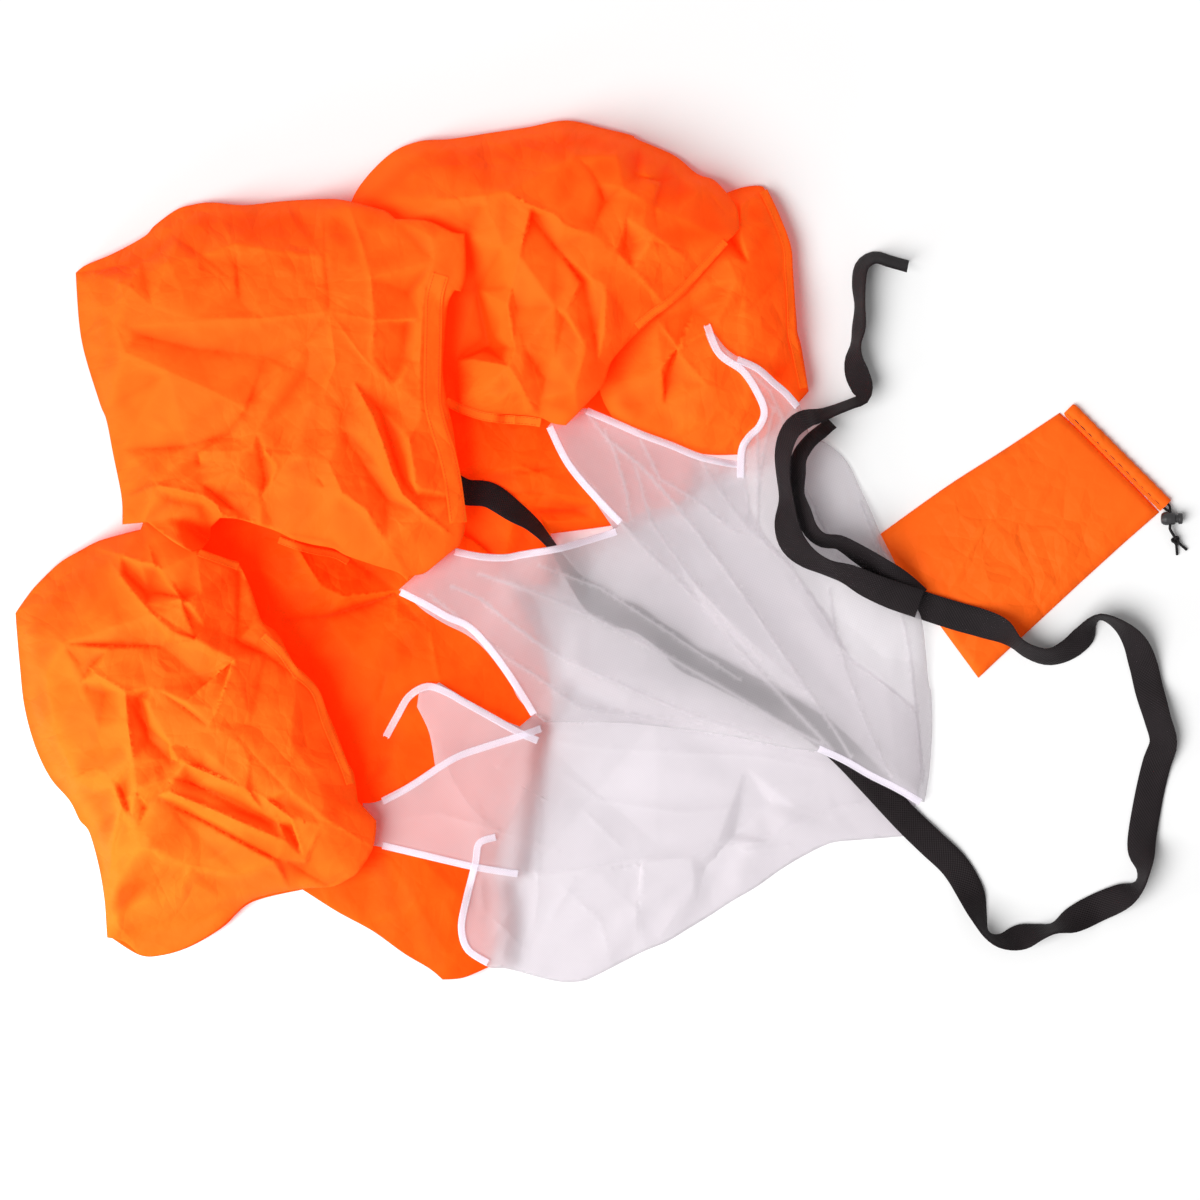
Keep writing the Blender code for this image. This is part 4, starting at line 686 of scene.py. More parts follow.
def run_sums(values, radius, axis):
    """Sums over a window of cells on both sides of each cell, along one axis."""
    pad = [(0, 0), (0, 0)]
    pad[axis] = (radius + 1, radius)
    sums = np.cumsum(np.pad(values, pad), axis=axis)
    width = 2 * radius + 1
    return sums[width:] - sums[:-width] if axis == 0 else sums[:, width:] - sums[:, :-width]


def smoothed(values, known, radius, rounds=3):
    """The values blurred over a radius in cells, reading only the known cells."""
    if radius < 1:
        return values
    weights = known.astype(float)
    result = np.where(known, values, 0.0)
    for _ in range(rounds):
        for axis in (0, 1):
            result = run_sums(result, radius, axis)
            weights = run_sums(weights, radius, axis)
        result = result / np.maximum(weights, TINY)
        weights = (weights > SMALL).astype(float)
        result = result * weights
    return result


def spread_out(grid, cells):
    """Carries the grid's values outwards into its empty cells."""
    grid = grid.copy()
    for _ in range(cells):
        known = np.isfinite(grid)
        values = np.where(known, grid, 0.0)
        total = run_sums(run_sums(values, 1, 0), 1, 1)
        count = run_sums(run_sums(known.astype(float), 1, 0), 1, 1)
        fill = (~known) & (count > 0.5)
        grid[fill] = total[fill] / count[fill]
    return grid


def widened(grid, cells):
    """The highest value within some cells of each cell."""
    result = grid.copy()
    for _ in range(cells):
        grown = result.copy()
        grown[1:] = np.maximum(grown[1:], result[:-1])
        grown[:-1] = np.maximum(grown[:-1], result[1:])
        sideways = grown.copy()
        sideways[:, 1:] = np.maximum(sideways[:, 1:], grown[:, :-1])
        sideways[:, :-1] = np.maximum(sideways[:, :-1], grown[:, 1:])
        result = sideways
    return result


def empty_ground():
    """The bare floor under the layout."""
    low = np.array(CAD_BOUNDS[0][:2]) - GRID_MARGIN
    columns, rows = np.ceil((np.array(CAD_BOUNDS[1][:2]) + GRID_MARGIN - low) / GRID_CELL).astype(int) + 1
    return Ground(low, GRID_CELL, np.zeros((rows, columns)))


ground = empty_ground()


# Outlines and triangles


def between(a, b, c, d, t):
    """A value on the smooth curve from b to c, with its neighbours a and d."""
    slope = c - a
    bend = 2.0 * a - 5.0 * b + 4.0 * c - d
    turn = 3.0 * b - a - 3.0 * c + d
    return b + 0.5 * (slope * t + bend * t**2 + turn * t**3)


def is_corner(before, here, after):
    """Whether the outline turns sharply at a point."""
    first = here - before
    second = after - here
    turn = math.atan2(first[0] * second[1] - first[1] * second[0], first @ second)
    return abs(turn) > CORNER_TURN


def smooth_outline(points, spacing):
    """A closed outline through the points, smooth but for its sharp corners, at even steps."""
    count = len(points)
    corners = [is_corner(points[i - 1], points[i], points[(i + 1) % count]) for i in range(count)]
    places = []
    for index in range(count):
        after = (index + 1) % count
        start = points[index]
        end = points[after]
        before = start if corners[index] else points[index - 1]
        beyond = end if corners[after] else points[(index + 2) % count]
        steps = max(1, round(math.dist(start, end) / spacing))
        for step in range(steps):
            places.append(between(before, start, end, beyond, step / steps))
    places = np.array(places)
    x, y = places.T
    turns_left = (x * np.roll(y, -1) - np.roll(x, -1) * y).sum() > 0.0
    return places if turns_left else places[::-1].copy()


def inside_outline(places, outline, clearance):
    """Which places lie inside the outline and at least the clearance away from it."""
    inside = np.zeros(len(places), bool)
    nearest = np.full(len(places), np.inf)
    x = places[:, 0]
    y = places[:, 1]
    for start, end in zip(outline, np.roll(outline, -1, axis=0)):
        run = end - start
        crosses = (start[1] > y) != (end[1] > y)
        if run[1] != 0.0:
            inside ^= crosses & (x < start[0] + (y - start[1]) * run[0] / run[1])
        size = max(run @ run, TINY)
        along = np.clip(((x - start[0]) * run[0] + (y - start[1]) * run[1]) / size, 0.0, 1.0)
        gap = (x - start[0] - along * run[0]) ** 2 + (y - start[1] - along * run[1]) ** 2
        nearest = np.minimum(nearest, gap)
    return inside & (nearest > clearance**2)


def even_places(outline, spacing):
    """Places in staggered rows inside the outline."""
    low = outline.min(axis=0)
    high = outline.max(axis=0)
    rows = np.arange(low[1], high[1], spacing * math.sqrt(3.0) / 2)
    columns = np.arange(low[0], high[0], spacing)
    x, y = np.meshgrid(columns, rows)
    x = x + (np.arange(len(rows)) % 2)[:, None] * spacing / 2
    places = np.stack([x.ravel(), y.ravel()], axis=1)
    return places[inside_outline(places, outline, spacing * RIM_CLEAR_SHARE)]


def triangles_over(places, edges, rim):
    """Triangles over flat places inside the rim, whose points come first."""
    loop = [list(range(rim))] if rim else []
    kind = 1 if rim else 0
    flat = [Vector(place) for place in places]
    found = geometry.delaunay_2d_cdt(flat, edges, loop, kind, MERGE_DISTANCE, True)
    points = np.array([tuple(point) for point in found[0]])
    sources = [source[0] if source else -1 for source in found[3]]
    triangles = np.array(found[2])
    if rim:
        triangles = triangles[inside_outline(points[triangles].mean(axis=1), np.array(places[:rim]), 0.0)]
    return points, triangles, sources


def spots(rows):
    """Places in metres from rows of shares."""
    return np.array([(row[0] * LAYOUT_LENGTH, row[1] * LAYOUT_LENGTH) for row in rows])


# Height patterns


def fold_grids(patch, outline, base, folds):
    """Two grids of flat facets between the outline and the folds: the folds' own heights, and the base."""
    places = list(outline[:: max(1, len(outline) // FOLD_RIM_POINTS)])
    rim = len(places)
    lifts = [0.0] * rim
    edges = []
    for line in folds:
        for number, (x, y, lift) in enumerate(line):
            if number:
                edges.append((len(places) - 1, len(places)))
            places.append(np.array((x * LAYOUT_LENGTH, y * LAYOUT_LENGTH)))
            lifts.append(lift)
    points, triangles, sources = triangles_over(places, edges, rim)
    known = np.array([lifts[source] if source >= 0 else 0.0 for source in sources])
    levels = patch.read(base, points)
    lifted = patch.filled(np.column_stack([points, known]), triangles)
    flat = patch.filled(np.column_stack([points, levels]), triangles)
    return spread_out(lifted, SPREAD_CELLS), spread_out(flat, SPREAD_CELLS)


def crumple(patch, outline, size, seed):
    """Facets of crumpled cloth: random heights from -1 to 1 on jittered places, and the facets' edges."""
    chance = np.random.default_rng(seed)
    low = outline.min(axis=0) - size * 2
    high = outline.max(axis=0) + size * 2
    x, y = np.meshgrid(np.arange(low[0], high[0], size), np.arange(low[1], high[1], size))
    places = np.stack([x.ravel(), y.ravel()], axis=1)
    places = places + chance.uniform(-JITTER_SHARE, JITTER_SHARE, places.shape) * size
    across, along = CALM_WAVES
    calm = np.sin(places[:, 0] / size * across + seed) * np.sin(places[:, 1] / size * along - seed)
    heights = chance.uniform(-1.0, 1.0, len(places)) * (CALM_MIDDLE + CALM_REACH * calm)
    points, triangles, sources = triangles_over(places, [], 0)
    levels = np.array([heights[source] if source >= 0 else 0.0 for source in sources])
    grid = patch.filled(np.column_stack([points, levels]), triangles)
    sides = [edge for corners in triangles.tolist() for edge in zip(corners, corners[1:] + corners[:1])]
    edges = {tuple(sorted(edge)) for edge in sides}
    lines = [(points[first], points[second]) for first, second in edges]
    return np.where(np.isfinite(grid), grid, 0.0), lines


def crease_grid(patch, creases, depth, width):
    """Sharp creases: each row holds a height, a width and a step in shares, and then its places."""
    grid = np.zeros(patch.shape)
    for height_share, width_share, step_share, *line in creases:
        reach = width * width_share
        at = spots(line)
        total = sum(math.dist(a, b) for a, b in zip(at, at[1:]))
        done = 0.0
        nearest = np.full(patch.shape, np.inf)
        change = np.zeros(patch.shape)
        for start, end in zip(at, at[1:]):
            run = end - start
            size = max(math.dist(start, end), SMALL)
            low = np.minimum(start, end) - reach * CREASE_REACHES
            high = np.maximum(start, end) + reach * CREASE_REACHES
            left, bottom = np.maximum(patch.cells([low])[0].astype(int), 0)
            right, top = np.minimum(patch.cells([high])[0].astype(int) + 2, (patch.shape[1], patch.shape[0]))
            x = patch.low[0] + np.arange(left, right)[None, :] * patch.cell - start[0]
            y = patch.low[1] + np.arange(bottom, top)[:, None] * patch.cell - start[1]
            along = np.clip((x * run[0] + y * run[1]) / size**2, 0.0, 1.0)
            away_x = x - along * run[0]
            away_y = y - along * run[1]
            gap = np.hypot(away_x, away_y)
            side = np.sign(run[0] * away_y - run[1] * away_x)
            place = (done + along * size) / total
            taper = np.sqrt(np.clip(4.0 * place * (1.0 - place), 0.0, 1.0))
            falloff = np.exp(-gap / reach)
            shape = (height_share + step_share * side * (1.0 - np.exp(-gap / patch.cell))) * falloff * taper
            window = nearest[bottom:top, left:right]
            closer = gap < window
            change[bottom:top, left:right] = np.where(closer, shape, change[bottom:top, left:right])
            nearest[bottom:top, left:right] = np.where(closer, gap, window)
            done += size
        grid += change * depth
    return grid


def points_of(mesh):
    """A mesh's points as rows."""
    points = np.empty(len(mesh.vertices) * 3)
    mesh.vertices.foreach_get("co", points)
    return points.reshape(-1, 3)


def flat_places(obj):
    """Where the points of a sheet's upper side lie on the floor."""
    points = points_of(obj.data)
    return points[: len(points) // 2, :2]


def fold_lines(obj, creases, width):
    """How near each point of a sheet's upper side is to a listed crease, from 0 to 1."""
    flat = flat_places(obj)
    near = np.zeros(len(flat))
    for height_share, width_share, _, *line in creases:
        at = spots(line)
        reach = width * width_share
        for start, end in zip(at, at[1:]):
            run = end - start
            along = np.clip(((flat - start) @ run) / max(run @ run, LEAST_AREA), 0.0, 1.0)
            gap = np.linalg.norm(flat - start - along[:, None] * run, axis=1)
            strength = min(1.0, abs(height_share) + LEAST_LINE_SHARE)
            near = np.maximum(near, strength * np.exp(-((gap / reach) ** 2)))
    return near


def cleared(patch, grid, gap):
    """The grid raised smoothly until it clears all that is laid."""
    under = widened(patch.heights, 1)
    for _ in range(CLEARING_ROUNDS):
        short = np.maximum(np.where(under > 0.0, under + gap - grid, 0.0), 0.0)
        if short.max() <= 0.0:
            break
        wide = widened(short, SPREAD_CELLS)
        grid = grid + smoothed(wide, patch.whole, SPREAD_CELLS // 2, 2)
    return np.where(under > 0.0, np.maximum(grid, under + gap), grid)


def mesh_grid(patch, mesh):
    """The top of a mesh on the grid."""
    mesh.calc_loop_triangles()
    corners = np.empty(len(mesh.loop_triangles) * 3, int)
    mesh.loop_triangles.foreach_get("vertices", corners)
    return patch.filled(points_of(mesh), corners.reshape(-1, 3))


def top_of_nodes(patch, nodes):
    """The top of some CAD nodes on the grid."""
    return np.max([mesh_grid(patch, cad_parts[node].data) for node in nodes], axis=0)


def cloth_grid(patch, outline, base, sizes, folds, creases, seed):
    """The heights of one cloth before it is laid, its detail alone, and the lines that it is creased along."""
    least = getattr(sizes, "thickness", BAG_TOP) + LEAST_TOP
    known = np.isfinite(base)
    top = base[known].max()
    base = np.where(known, top * (1.0 - (1.0 - np.clip(base / top, 0.0, 1.0)) ** FULLER_POWER), base)
    base = spread_out(base, BASE_SPREAD_CELLS)
    base = np.where(np.isfinite(base), base, patch.heights + LAY_GAP + least)
    base = smoothed(base, patch.whole, BASE_BLUR_CELLS)
    depth_in = smoothed(np.where(known, 1.0, 0.0), patch.whole, RIM_BLUR_CELLS)
    middle = np.clip(2.0 * depth_in - 1.0, 0.0, 1.0)
    grid = base
    lines = [list(spots(line)) for _, _, _, *line in creases]
    if folds:
        lifted, flat = fold_grids(patch, outline, base, folds)
        level = np.isfinite(flat)
        drawn = sizes.flatness * middle
        grid = np.where(level, base * (1.0 - drawn) + np.where(level, flat, 0.0) * drawn, base)
        grid = grid + np.where(np.isfinite(lifted), lifted, 0.0) * sizes.fold_height
        lines += [list(spots(line)) for line in folds]
    facets, large_lines = crumple(patch, outline, sizes.crumple_size, seed)
    wrinkles, small_lines = crumple(patch, outline, sizes.wrinkle_size, seed + 1)
    grid = grid + facets * sizes.crumple_height * (RIM_FACET_SHARE + (1.0 - RIM_FACET_SHARE) * middle)
    grid = grid + wrinkles * sizes.wrinkle_height
    grid = grid + crease_grid(patch, creases, sizes.crease_depth, sizes.crease_width)
    return np.maximum(grid, least), grid - base, lines + large_lines + small_lines


# Pieces


def linked(name, data):
    """An object of its own in the scene."""
    obj = bpy.data.objects.new(name, data)
    bpy.context.scene.collection.objects.link(obj)
    return obj


def new_piece(name, points, faces, material, smooth=True):
    """One piece from points and faces."""
    mesh = bpy.data.meshes.new(name)
    mesh.from_pydata([tuple(point) for point in points], [], [tuple(face) for face in faces])
    mesh.update()
    if smooth:
        mesh.shade_smooth()
    mesh.materials.append(material)
    return linked(name, mesh)


def give_cut(obj, places, turn=0.0):
    """The UV map of the flat cut, in metres, turned to the cloth's grain."""
    mesh = obj.data
    layer = mesh.uv_layers.new(name="cut")
    corners = np.empty(len(mesh.loops), int)
    mesh.loops.foreach_get("vertex_index", corners)
    x = places[:, 0] * math.cos(turn) - places[:, 1] * math.sin(turn)
    y = places[:, 0] * math.sin(turn) + places[:, 1] * math.cos(turn)
    flat = np.stack([x, y], axis=1)[corners]
    layer.uv.foreach_set("vector", flat.ravel())


def give_values(obj, name, values):
    """An attribute on the piece's points."""
    layer = obj.data.attributes.new(name, "FLOAT", "POINT")
    layer.data.foreach_set("value", values.astype(np.float32))


def rim_edges(triangles):
    """The directed edges that only one triangle has."""
    edges = np.concatenate([triangles[:, [0, 1]], triangles[:, [1, 2]], triangles[:, [2, 0]]])
    known = {tuple(edge) for edge in edges.tolist()}
    return [edge for edge in known if (edge[1], edge[0]) not in known]


def crease_points(lines, outline, spacing):
    """Points at even steps along the creases inside an outline, and the edges between them."""
    rows = []
    joins = []
    for line in lines:
        for start, end in zip(line, line[1:]):
            steps = max(1, round(math.dist(start, end) / spacing))
            shares_along = np.linspace(0.0, 1.0, steps + 1)[:, None]
            joins.append(len(rows) + len(shares_along))
            rows += list(np.asarray(start) + (np.asarray(end) - np.asarray(start)) * shares_along)
    rows = np.array(rows)
    keep = inside_outline(rows, outline, spacing * CREASE_CLEAR_SHARE)
    numbers = np.cumsum(keep) - 1
    breaks = set(joins)
    edges = [
        (int(numbers[index]), int(numbers[index + 1])) for index in range(len(rows) - 1)
        if keep[index] and keep[index + 1] and index + 1 not in breaks
    ]
    return rows[keep], edges


def clear_of(places, points, distance):
    """The places that keep a distance from all the points."""
    tree = kdtree.KDTree(len(points))
    for index, point in enumerate(points):
        tree.insert((*point, 0.0), index)
    tree.balance()
    return np.array([place for place in places if tree.find((*place, 0.0))[2] > distance])


def sheet_piece(patch, name, outline, grid, lines, detail, thickness, spacing, material, grain, bottom=None):
    """A closed thin sheet over the grid's heights, or a closed form down to the bottom."""
    points, edges = crease_points(lines, outline, spacing)
    rim = len(outline)
    edges = [(first + rim, second + rim) for first, second in edges]
    inner = clear_of(even_places(outline, spacing), points, spacing * POINT_CLEAR_SHARE)
    places = np.concatenate([outline, points, inner])
    flat, triangles, _ = triangles_over(places, edges, rim)
    top = np.column_stack([flat, patch.read(grid, flat)])
    low = top.copy()
    if bottom is None:
        low[:, 2] -= thickness
    else:
        low[:, 2] = bottom
    count = len(top)
    faces = triangles.tolist()
    faces += (triangles[:, ::-1] + count).tolist()
    faces += [(b, a, a + count, b + count) for a, b in rim_edges(triangles)]
    obj = new_piece(name, np.concatenate([top, low]), faces, material)
    give_cut(obj, np.concatenate([flat, flat]), grain)
    # Painted fold shade: how far each point lies below its blurred surroundings, which the material darkens
    depth = smoothed(detail, patch.whole, FOLD_SHADE_BLUR_CELLS) - detail
    values = patch.read(depth, flat) / FOLD_SHADE_DEPTH
    give_values(obj, "painted_fold_shade", np.concatenate([values, values]))
    return obj


def dress(obj, body, slot_name, *nodes):
    """Says what a piece rides and which CAD nodes it stands for, which it hides. The slot name is not used."""
    if nodes:
        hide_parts(*nodes)
    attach(obj, body)


def lay_cloth(nodes, rows, sizes, material, slot_name, seed, folds=(), creases=(), grain=0.0, single=()):
    """Outside the outline in single the cloth lies doubled.
    """
    outline = smooth_outline(spots(rows), sizes.spacing)
    patch = ground.patch(outline)
    base = top_of_nodes(patch, nodes)
    grid, detail, lines = cloth_grid(patch, outline, base, sizes, folds, creases, seed)
    grid = cleared(patch, grid, LAY_GAP + sizes.thickness)
    obj = sheet_piece(
        patch, f"dressed_{nodes[0]}", outline, grid, lines, detail, sizes.thickness, sizes.spacing,
        finish(material), grain,
    )
    denser = fold_lines(obj, creases, sizes.line_width)
    if single:
        other = smooth_outline(spots(single), sizes.spacing)
        alone = ~inside_outline(flat_places(obj), other, 0.0)
        denser = np.maximum(denser, alone * DOUBLED_SHARE)
    give_values(obj, "fold_line", np.tile(denser, 2))
    patch.lay(np.where(np.isfinite(node_mask(patch, outline)), grid, -np.inf))
    dress(obj, "parachute", slot_name, *nodes)


def node_mask(patch, outline):
    """A grid that is finite inside the outline."""
    places = [tuple(place) for place in outline]
    points, triangles, _ = triangles_over(places, [], len(places))
    return patch.filled(np.column_stack([points, np.zeros(len(points))]), triangles)


# Bands: webbing, bindings and hems


def even_route(rows, step):
    """Rows at even steps along a smooth curve through the given rows, and how far along it each one is."""
    rows = np.array(rows, float)
    dense = []
    for index in range(len(rows) - 1):
        before = rows[max(index - 1, 0)]
        beyond = rows[min(index + 2, len(rows) - 1)]
        for sample in range(ROUTE_SAMPLES):
            dense.append(between(before, rows[index], rows[index + 1], beyond, sample / ROUTE_SAMPLES))
    dense = np.array([*dense, rows[-1]])
    steps = np.diff(dense[:, :2], axis=0)
    runs = np.concatenate([[0.0], np.cumsum(np.hypot(steps[:, 0], steps[:, 1]))])
    targets = np.linspace(0.0, runs[-1], max(2, round(runs[-1] / step)) + 1)
    return np.stack([np.interp(targets, runs, column) for column in dense.T], axis=1), targets


def side_of(places):
    """The flat directions along a route and to its right, at each of its places."""
    run = np.gradient(places, axis=0)
    run = run / np.maximum(np.linalg.norm(run, axis=1, keepdims=True), ON_EDGE)
    return run, np.stack([run[:, 1], -run[:, 0]], axis=1)


def eased(values, reach):
    """Heights that are nowhere lower than the given ones and change slowly from row to row."""
    for pick in (np.max, np.mean):
        wide = np.pad(values, [(reach, reach)] + [(0, 0)] * (values.ndim - 1), mode="edge")
        values = pick([wide[start : start + len(values)] for start in range(2 * reach + 1)], axis=0)
    return values


def evened(values, reach):
    """The mean of each value and its neighbours in the row."""
    wide = np.pad(values, reach, mode="edge")
    return np.mean([wide[start : start + len(values)] for start in range(2 * reach + 1)], axis=0)


def under_rows(flat):
    """The heights of what is laid under rows of flat places."""
    return ground.read(widened(ground.heights, 1), flat.reshape(-1, 2)).reshape(flat.shape[:2])


def ring_piece(name, rings, cuts, material, turn=0.0):
    """A closed skin over rings of points, with filled ends and with its own cut."""
    count, sides = rings.shape[:2]
    faces = []
    for ring in range(count - 1):
        for here in range(sides):
            there = (here + 1) % sides
            a = ring * sides
            b = a + sides
            faces.append((a + here, a + there, b + there, b + here))
    last = (count - 1) * sides
    faces.append(tuple(range(sides)))
    faces.append(tuple(range(last, last + sides)))
    obj = new_piece(name, rings.reshape(-1, 3), faces, material)
    give_cut(obj, cuts.reshape(-1, 2), turn)
    turn_faces_out(obj)
    obj.data.set_sharp_from_angle(angle=SHARP_ANGLE)
    return obj


def turn_faces_out(obj):
    """Recalculates a closed mesh's faces so that they all look outwards."""
    shape = bmesh.new()
    shape.from_mesh(obj.data)
    bmesh.ops.recalc_face_normals(shape, faces=shape.faces)
    shape.to_mesh(obj.data)
    shape.free()


def band_rings(middle, across, normal, width, thickness):
    """The rings of a flat band with rounded edges: its low side and then its high side."""
    shares_across = np.array(BAND_ACROSS_SHARES)
    edge = (np.abs(shares_across) > BAND_EDGE_SHARE) * BAND_EDGE_ROUND_SHARE
    spread = (shares_across * width)[:, None]
    base = middle if middle.ndim == 3 else middle[:, None] + across[:, None] * spread
    low = base + normal[:, None] * (edge * thickness)[:, None]
    high = base + normal[:, None] * ((1.0 - edge) * thickness)[:, None]
    return np.concatenate([low, high[:, ::-1]], axis=1)


def band_cuts(runs, width):
    """The flat cut of a band: how far along and how far across."""
    across = np.array(BAND_ACROSS_SHARES) * width
    around = np.concatenate([across, across[::-1]])
    return np.stack(np.broadcast_arrays(runs[:, None], around[None, :]), axis=2)


def lay_piece(obj):
    """Adds a finished piece to the laid ground."""
    ground.lay(mesh_grid(ground, obj.data))


def stiff_band(name, table, width, thickness, step, material):
    """A woven band that bends along its length only. Its rows hold place, lift and tilt in shares."""
    even, runs = even_route(table, step)
    places = even[:, :2] * LAYOUT_LENGTH
    tilt = even[:, 3] * math.pi / 2
    run, side = side_of(places)
    shares_across = np.array(BAND_ACROSS_SHARES)
    spread = side[:, None] * (shares_across * width)[:, None]
    below = under_rows(places[:, None] + spread * np.cos(tilt)[:, None, None])
    slope = (below @ shares_across) / (shares_across @ shares_across) / width
    tilt = tilt + np.cos(tilt) * evened(np.clip(np.arctan(slope), -MOST_SLOPE, MOST_SLOPE), TILT_ROWS)
    below = under_rows(places[:, None] + spread * np.cos(tilt)[:, None, None])
    rise = (shares_across * width)[None] * np.sin(tilt)[:, None]
    heights = eased((below + LAY_GAP - rise).max(axis=1), 1)
    heights = heights + evened(np.maximum(even[:, 2] * width - heights, 0.0), LIFT_ROWS) * LIFT_KEPT_SHARE
    flat = np.zeros(len(even))
    across = np.column_stack([side * np.cos(tilt)[:, None], np.sin(tilt)])
    normal = np.cross(across, np.column_stack([run, flat]))
    middle = np.column_stack([places, heights])
    rings = band_rings(middle, across, normal, width, thickness)
    obj = ring_piece(name, rings, band_cuts(runs, width), material)
    lay_piece(obj)
    return obj, middle + normal * thickness / 2


def limp_band(name, table, width, thickness, step, material):
    """A soft tape sewn on a cloth, which follows what lies below it everywhere."""
    even, runs = even_route(table, step)
    places = even[:, :2] * LAYOUT_LENGTH
    _, side = side_of(places)
    spread = side[:, None] * (np.array(BAND_ACROSS_SHARES) * width)[:, None]
    flat = places[:, None] + spread
    below = ground.read(ground.heights, flat.reshape(-1, 2)).reshape(flat.shape[:2])
    apart = np.abs(np.subtract.outer(BAND_ACROSS_SHARES, BAND_ACROSS_SHARES)) * width * TAPE_SLOPE
    heights = eased((below[:, None] - apart[None]).max(axis=2), 1) + LAY_GAP / 2
    base = np.concatenate([flat, heights[:, :, None]], axis=2)
    up = np.tile((0.0, 0.0, 1.0), (len(even), 1))
    obj = ring_piece(name, band_rings(base, None, up, width, thickness), band_cuts(runs, width), material)
    lay_piece(obj)
    middle = base[:, base.shape[1] // 2]
    return obj, middle + up * thickness / 2


def tube_piece(name, path, radius, sides, material, turn=0.0):
    """A round cord along a path, with its own cut."""
    path = np.asarray(path, float)
    run = np.gradient(path, axis=0)
    run = run / np.linalg.norm(run, axis=1, keepdims=True)
    first = np.cross(run[0], (0.0, 0.0, 1.0))
    if np.linalg.norm(first) < ON_EDGE:
        first = np.array([1.0, 0.0, 0.0])
    angles = np.arange(sides) * 2.0 * math.pi / sides
    rings = []
    for place, ahead in zip(path, run):
        first = first - ahead * (first @ ahead)
        first = first / np.linalg.norm(first)
        second = np.cross(ahead, first)
        rings.append(place + radius * (np.cos(angles)[:, None] * first + np.sin(angles)[:, None] * second))
    along = np.concatenate([[0.0], np.cumsum(np.linalg.norm(np.diff(path, axis=0), axis=1))])
    cuts = np.stack(np.broadcast_arrays(along[:, None], (angles * radius)[None, :]), axis=2)
    return ring_piece(name, np.array(rings), cuts, material, turn)


# Stitches


def stitch_tree(material):
    """Geometry Nodes that set one stitch at every pitch along the edges of a mesh."""
    tree = bpy.data.node_groups.new("stitch_line", "GeometryNodeTree")
    face = tree.interface
    face.new_socket("Geometry", in_out="INPUT", socket_type="NodeSocketGeometry")
    for name in ("Pitch", "Stitch length", "Thread"):
        face.new_socket(name, in_out="INPUT", socket_type="NodeSocketFloat")
    face.new_socket("Seed", in_out="INPUT", socket_type="NodeSocketInt")
    face.new_socket("Geometry", in_out="OUTPUT", socket_type="NodeSocketGeometry")
    given = add_node(tree, "NodeGroupInput").outputs
    line = add_node(tree, "GeometryNodeMeshToCurve", {"Mesh": given["Geometry"]})
    spaced = add_node(
        tree, "GeometryNodeResampleCurve", {"Curve": line.outputs["Curve"], "Length": given["Pitch"]},
        mode="LENGTH",
    )
    radius = worked_out(tree, "MULTIPLY", given["Thread"], 0.5)
    stitch = add_node(
        tree, "GeometryNodeMeshCylinder",
        {"Radius": radius, "Depth": given["Stitch length"], "Vertices": THREAD_SIDES},
    )
    tangent = add_node(tree, "GeometryNodeInputTangent")
    turned_along = add_node(
        tree, "FunctionNodeAlignRotationToVector", {"Vector": tangent.outputs["Tangent"]}, axis="Z"
    )
    short, long = STITCH_SCALES
    uneven = add_node(
        tree, "FunctionNodeRandomValue", {"Seed": given["Seed"], 2: short, 3: long}, data_type="FLOAT"
    )
    placed = add_node(
        tree, "GeometryNodeInstanceOnPoints",
        {"Points": spaced.outputs["Curve"], "Instance": stitch.outputs["Mesh"],
         "Rotation": turned_along.outputs["Rotation"], "Scale": uneven.outputs[1]},
    )
    real = add_node(tree, "GeometryNodeRealizeInstances", {"Geometry": placed.outputs["Instances"]})
    covered = add_node(
        tree, "GeometryNodeSetMaterial", {"Geometry": real.outputs["Geometry"], "Material": material}
    )
    add_node(tree, "NodeGroupOutput", {"Geometry": covered.outputs["Geometry"]})
    return tree


def sew(name, lines, material, body, slot_name):
    """Stitches along lines of places on the laid ground, as one plain mesh."""
    sizes = setting("stitch_sizes")
    points = []
    edges = []
    for line in lines:
        start = len(points)
        flat, _ = even_route(np.asarray(line, float), sizes.pitch)
        level = ground.read(ground.heights, flat) + sizes.thread / 4
        points += np.column_stack([flat, level]).tolist()
        edges += [(index, index + 1) for index in range(start, len(points) - 1)]
    mesh = bpy.data.meshes.new(name)
    mesh.from_pydata(points, edges, [])
    obj = linked(name, mesh)
    maker = obj.modifiers.new("stitches", "NODES")
    maker.node_group = stitch_tree(finish(material))
    values = {"Pitch": sizes.pitch, "Stitch length": sizes.reach, "Thread": sizes.thread, "Seed": sizes.seed}
    for item in maker.node_group.interface.items_tree:
        if item.in_out == "INPUT" and item.name in values:
            maker[item.identifier] = values[item.name]
    seen = obj.evaluated_get(bpy.context.evaluated_depsgraph_get())
    plain = bpy.data.meshes.new_from_object(seen)
    obj.modifiers.clear()
    obj.data = plain
    dress(obj, body, slot_name)


# The storage bag and its cord


def turned(points, angle):
    """Points turned about the vertical axis."""
    points = np.asarray(points, float)
    result = points.copy()
    result[..., 0] = points[..., 0] * math.cos(angle) - points[..., 1] * math.sin(angle)
    result[..., 1] = points[..., 0] * math.sin(angle) + points[..., 1] * math.cos(angle)
    return result


def bag_places(rows):
    """Flat places on the bag, from shares of its length and width."""
    return turned(np.asarray(rows) * (BAG_LENGTH, BAG_WIDTH), BAG_TURN) + spots([BAG_PLACE_SHARES])[0]


def channel_places(points):
    """Places in the drawstring channel, from lengths along and across it and heights."""
    points = np.asarray(points, float)
    mouth = bag_places([MOUTH_EDGE_SHARES])[0] + turned((CHANNEL_WIDTH / 2 + CHANNEL_SEAM_GAP, 0.0), BAG_TURN)
    placed = turned(points, CHANNEL_TURN)
    placed[..., :2] += mouth
    return placed


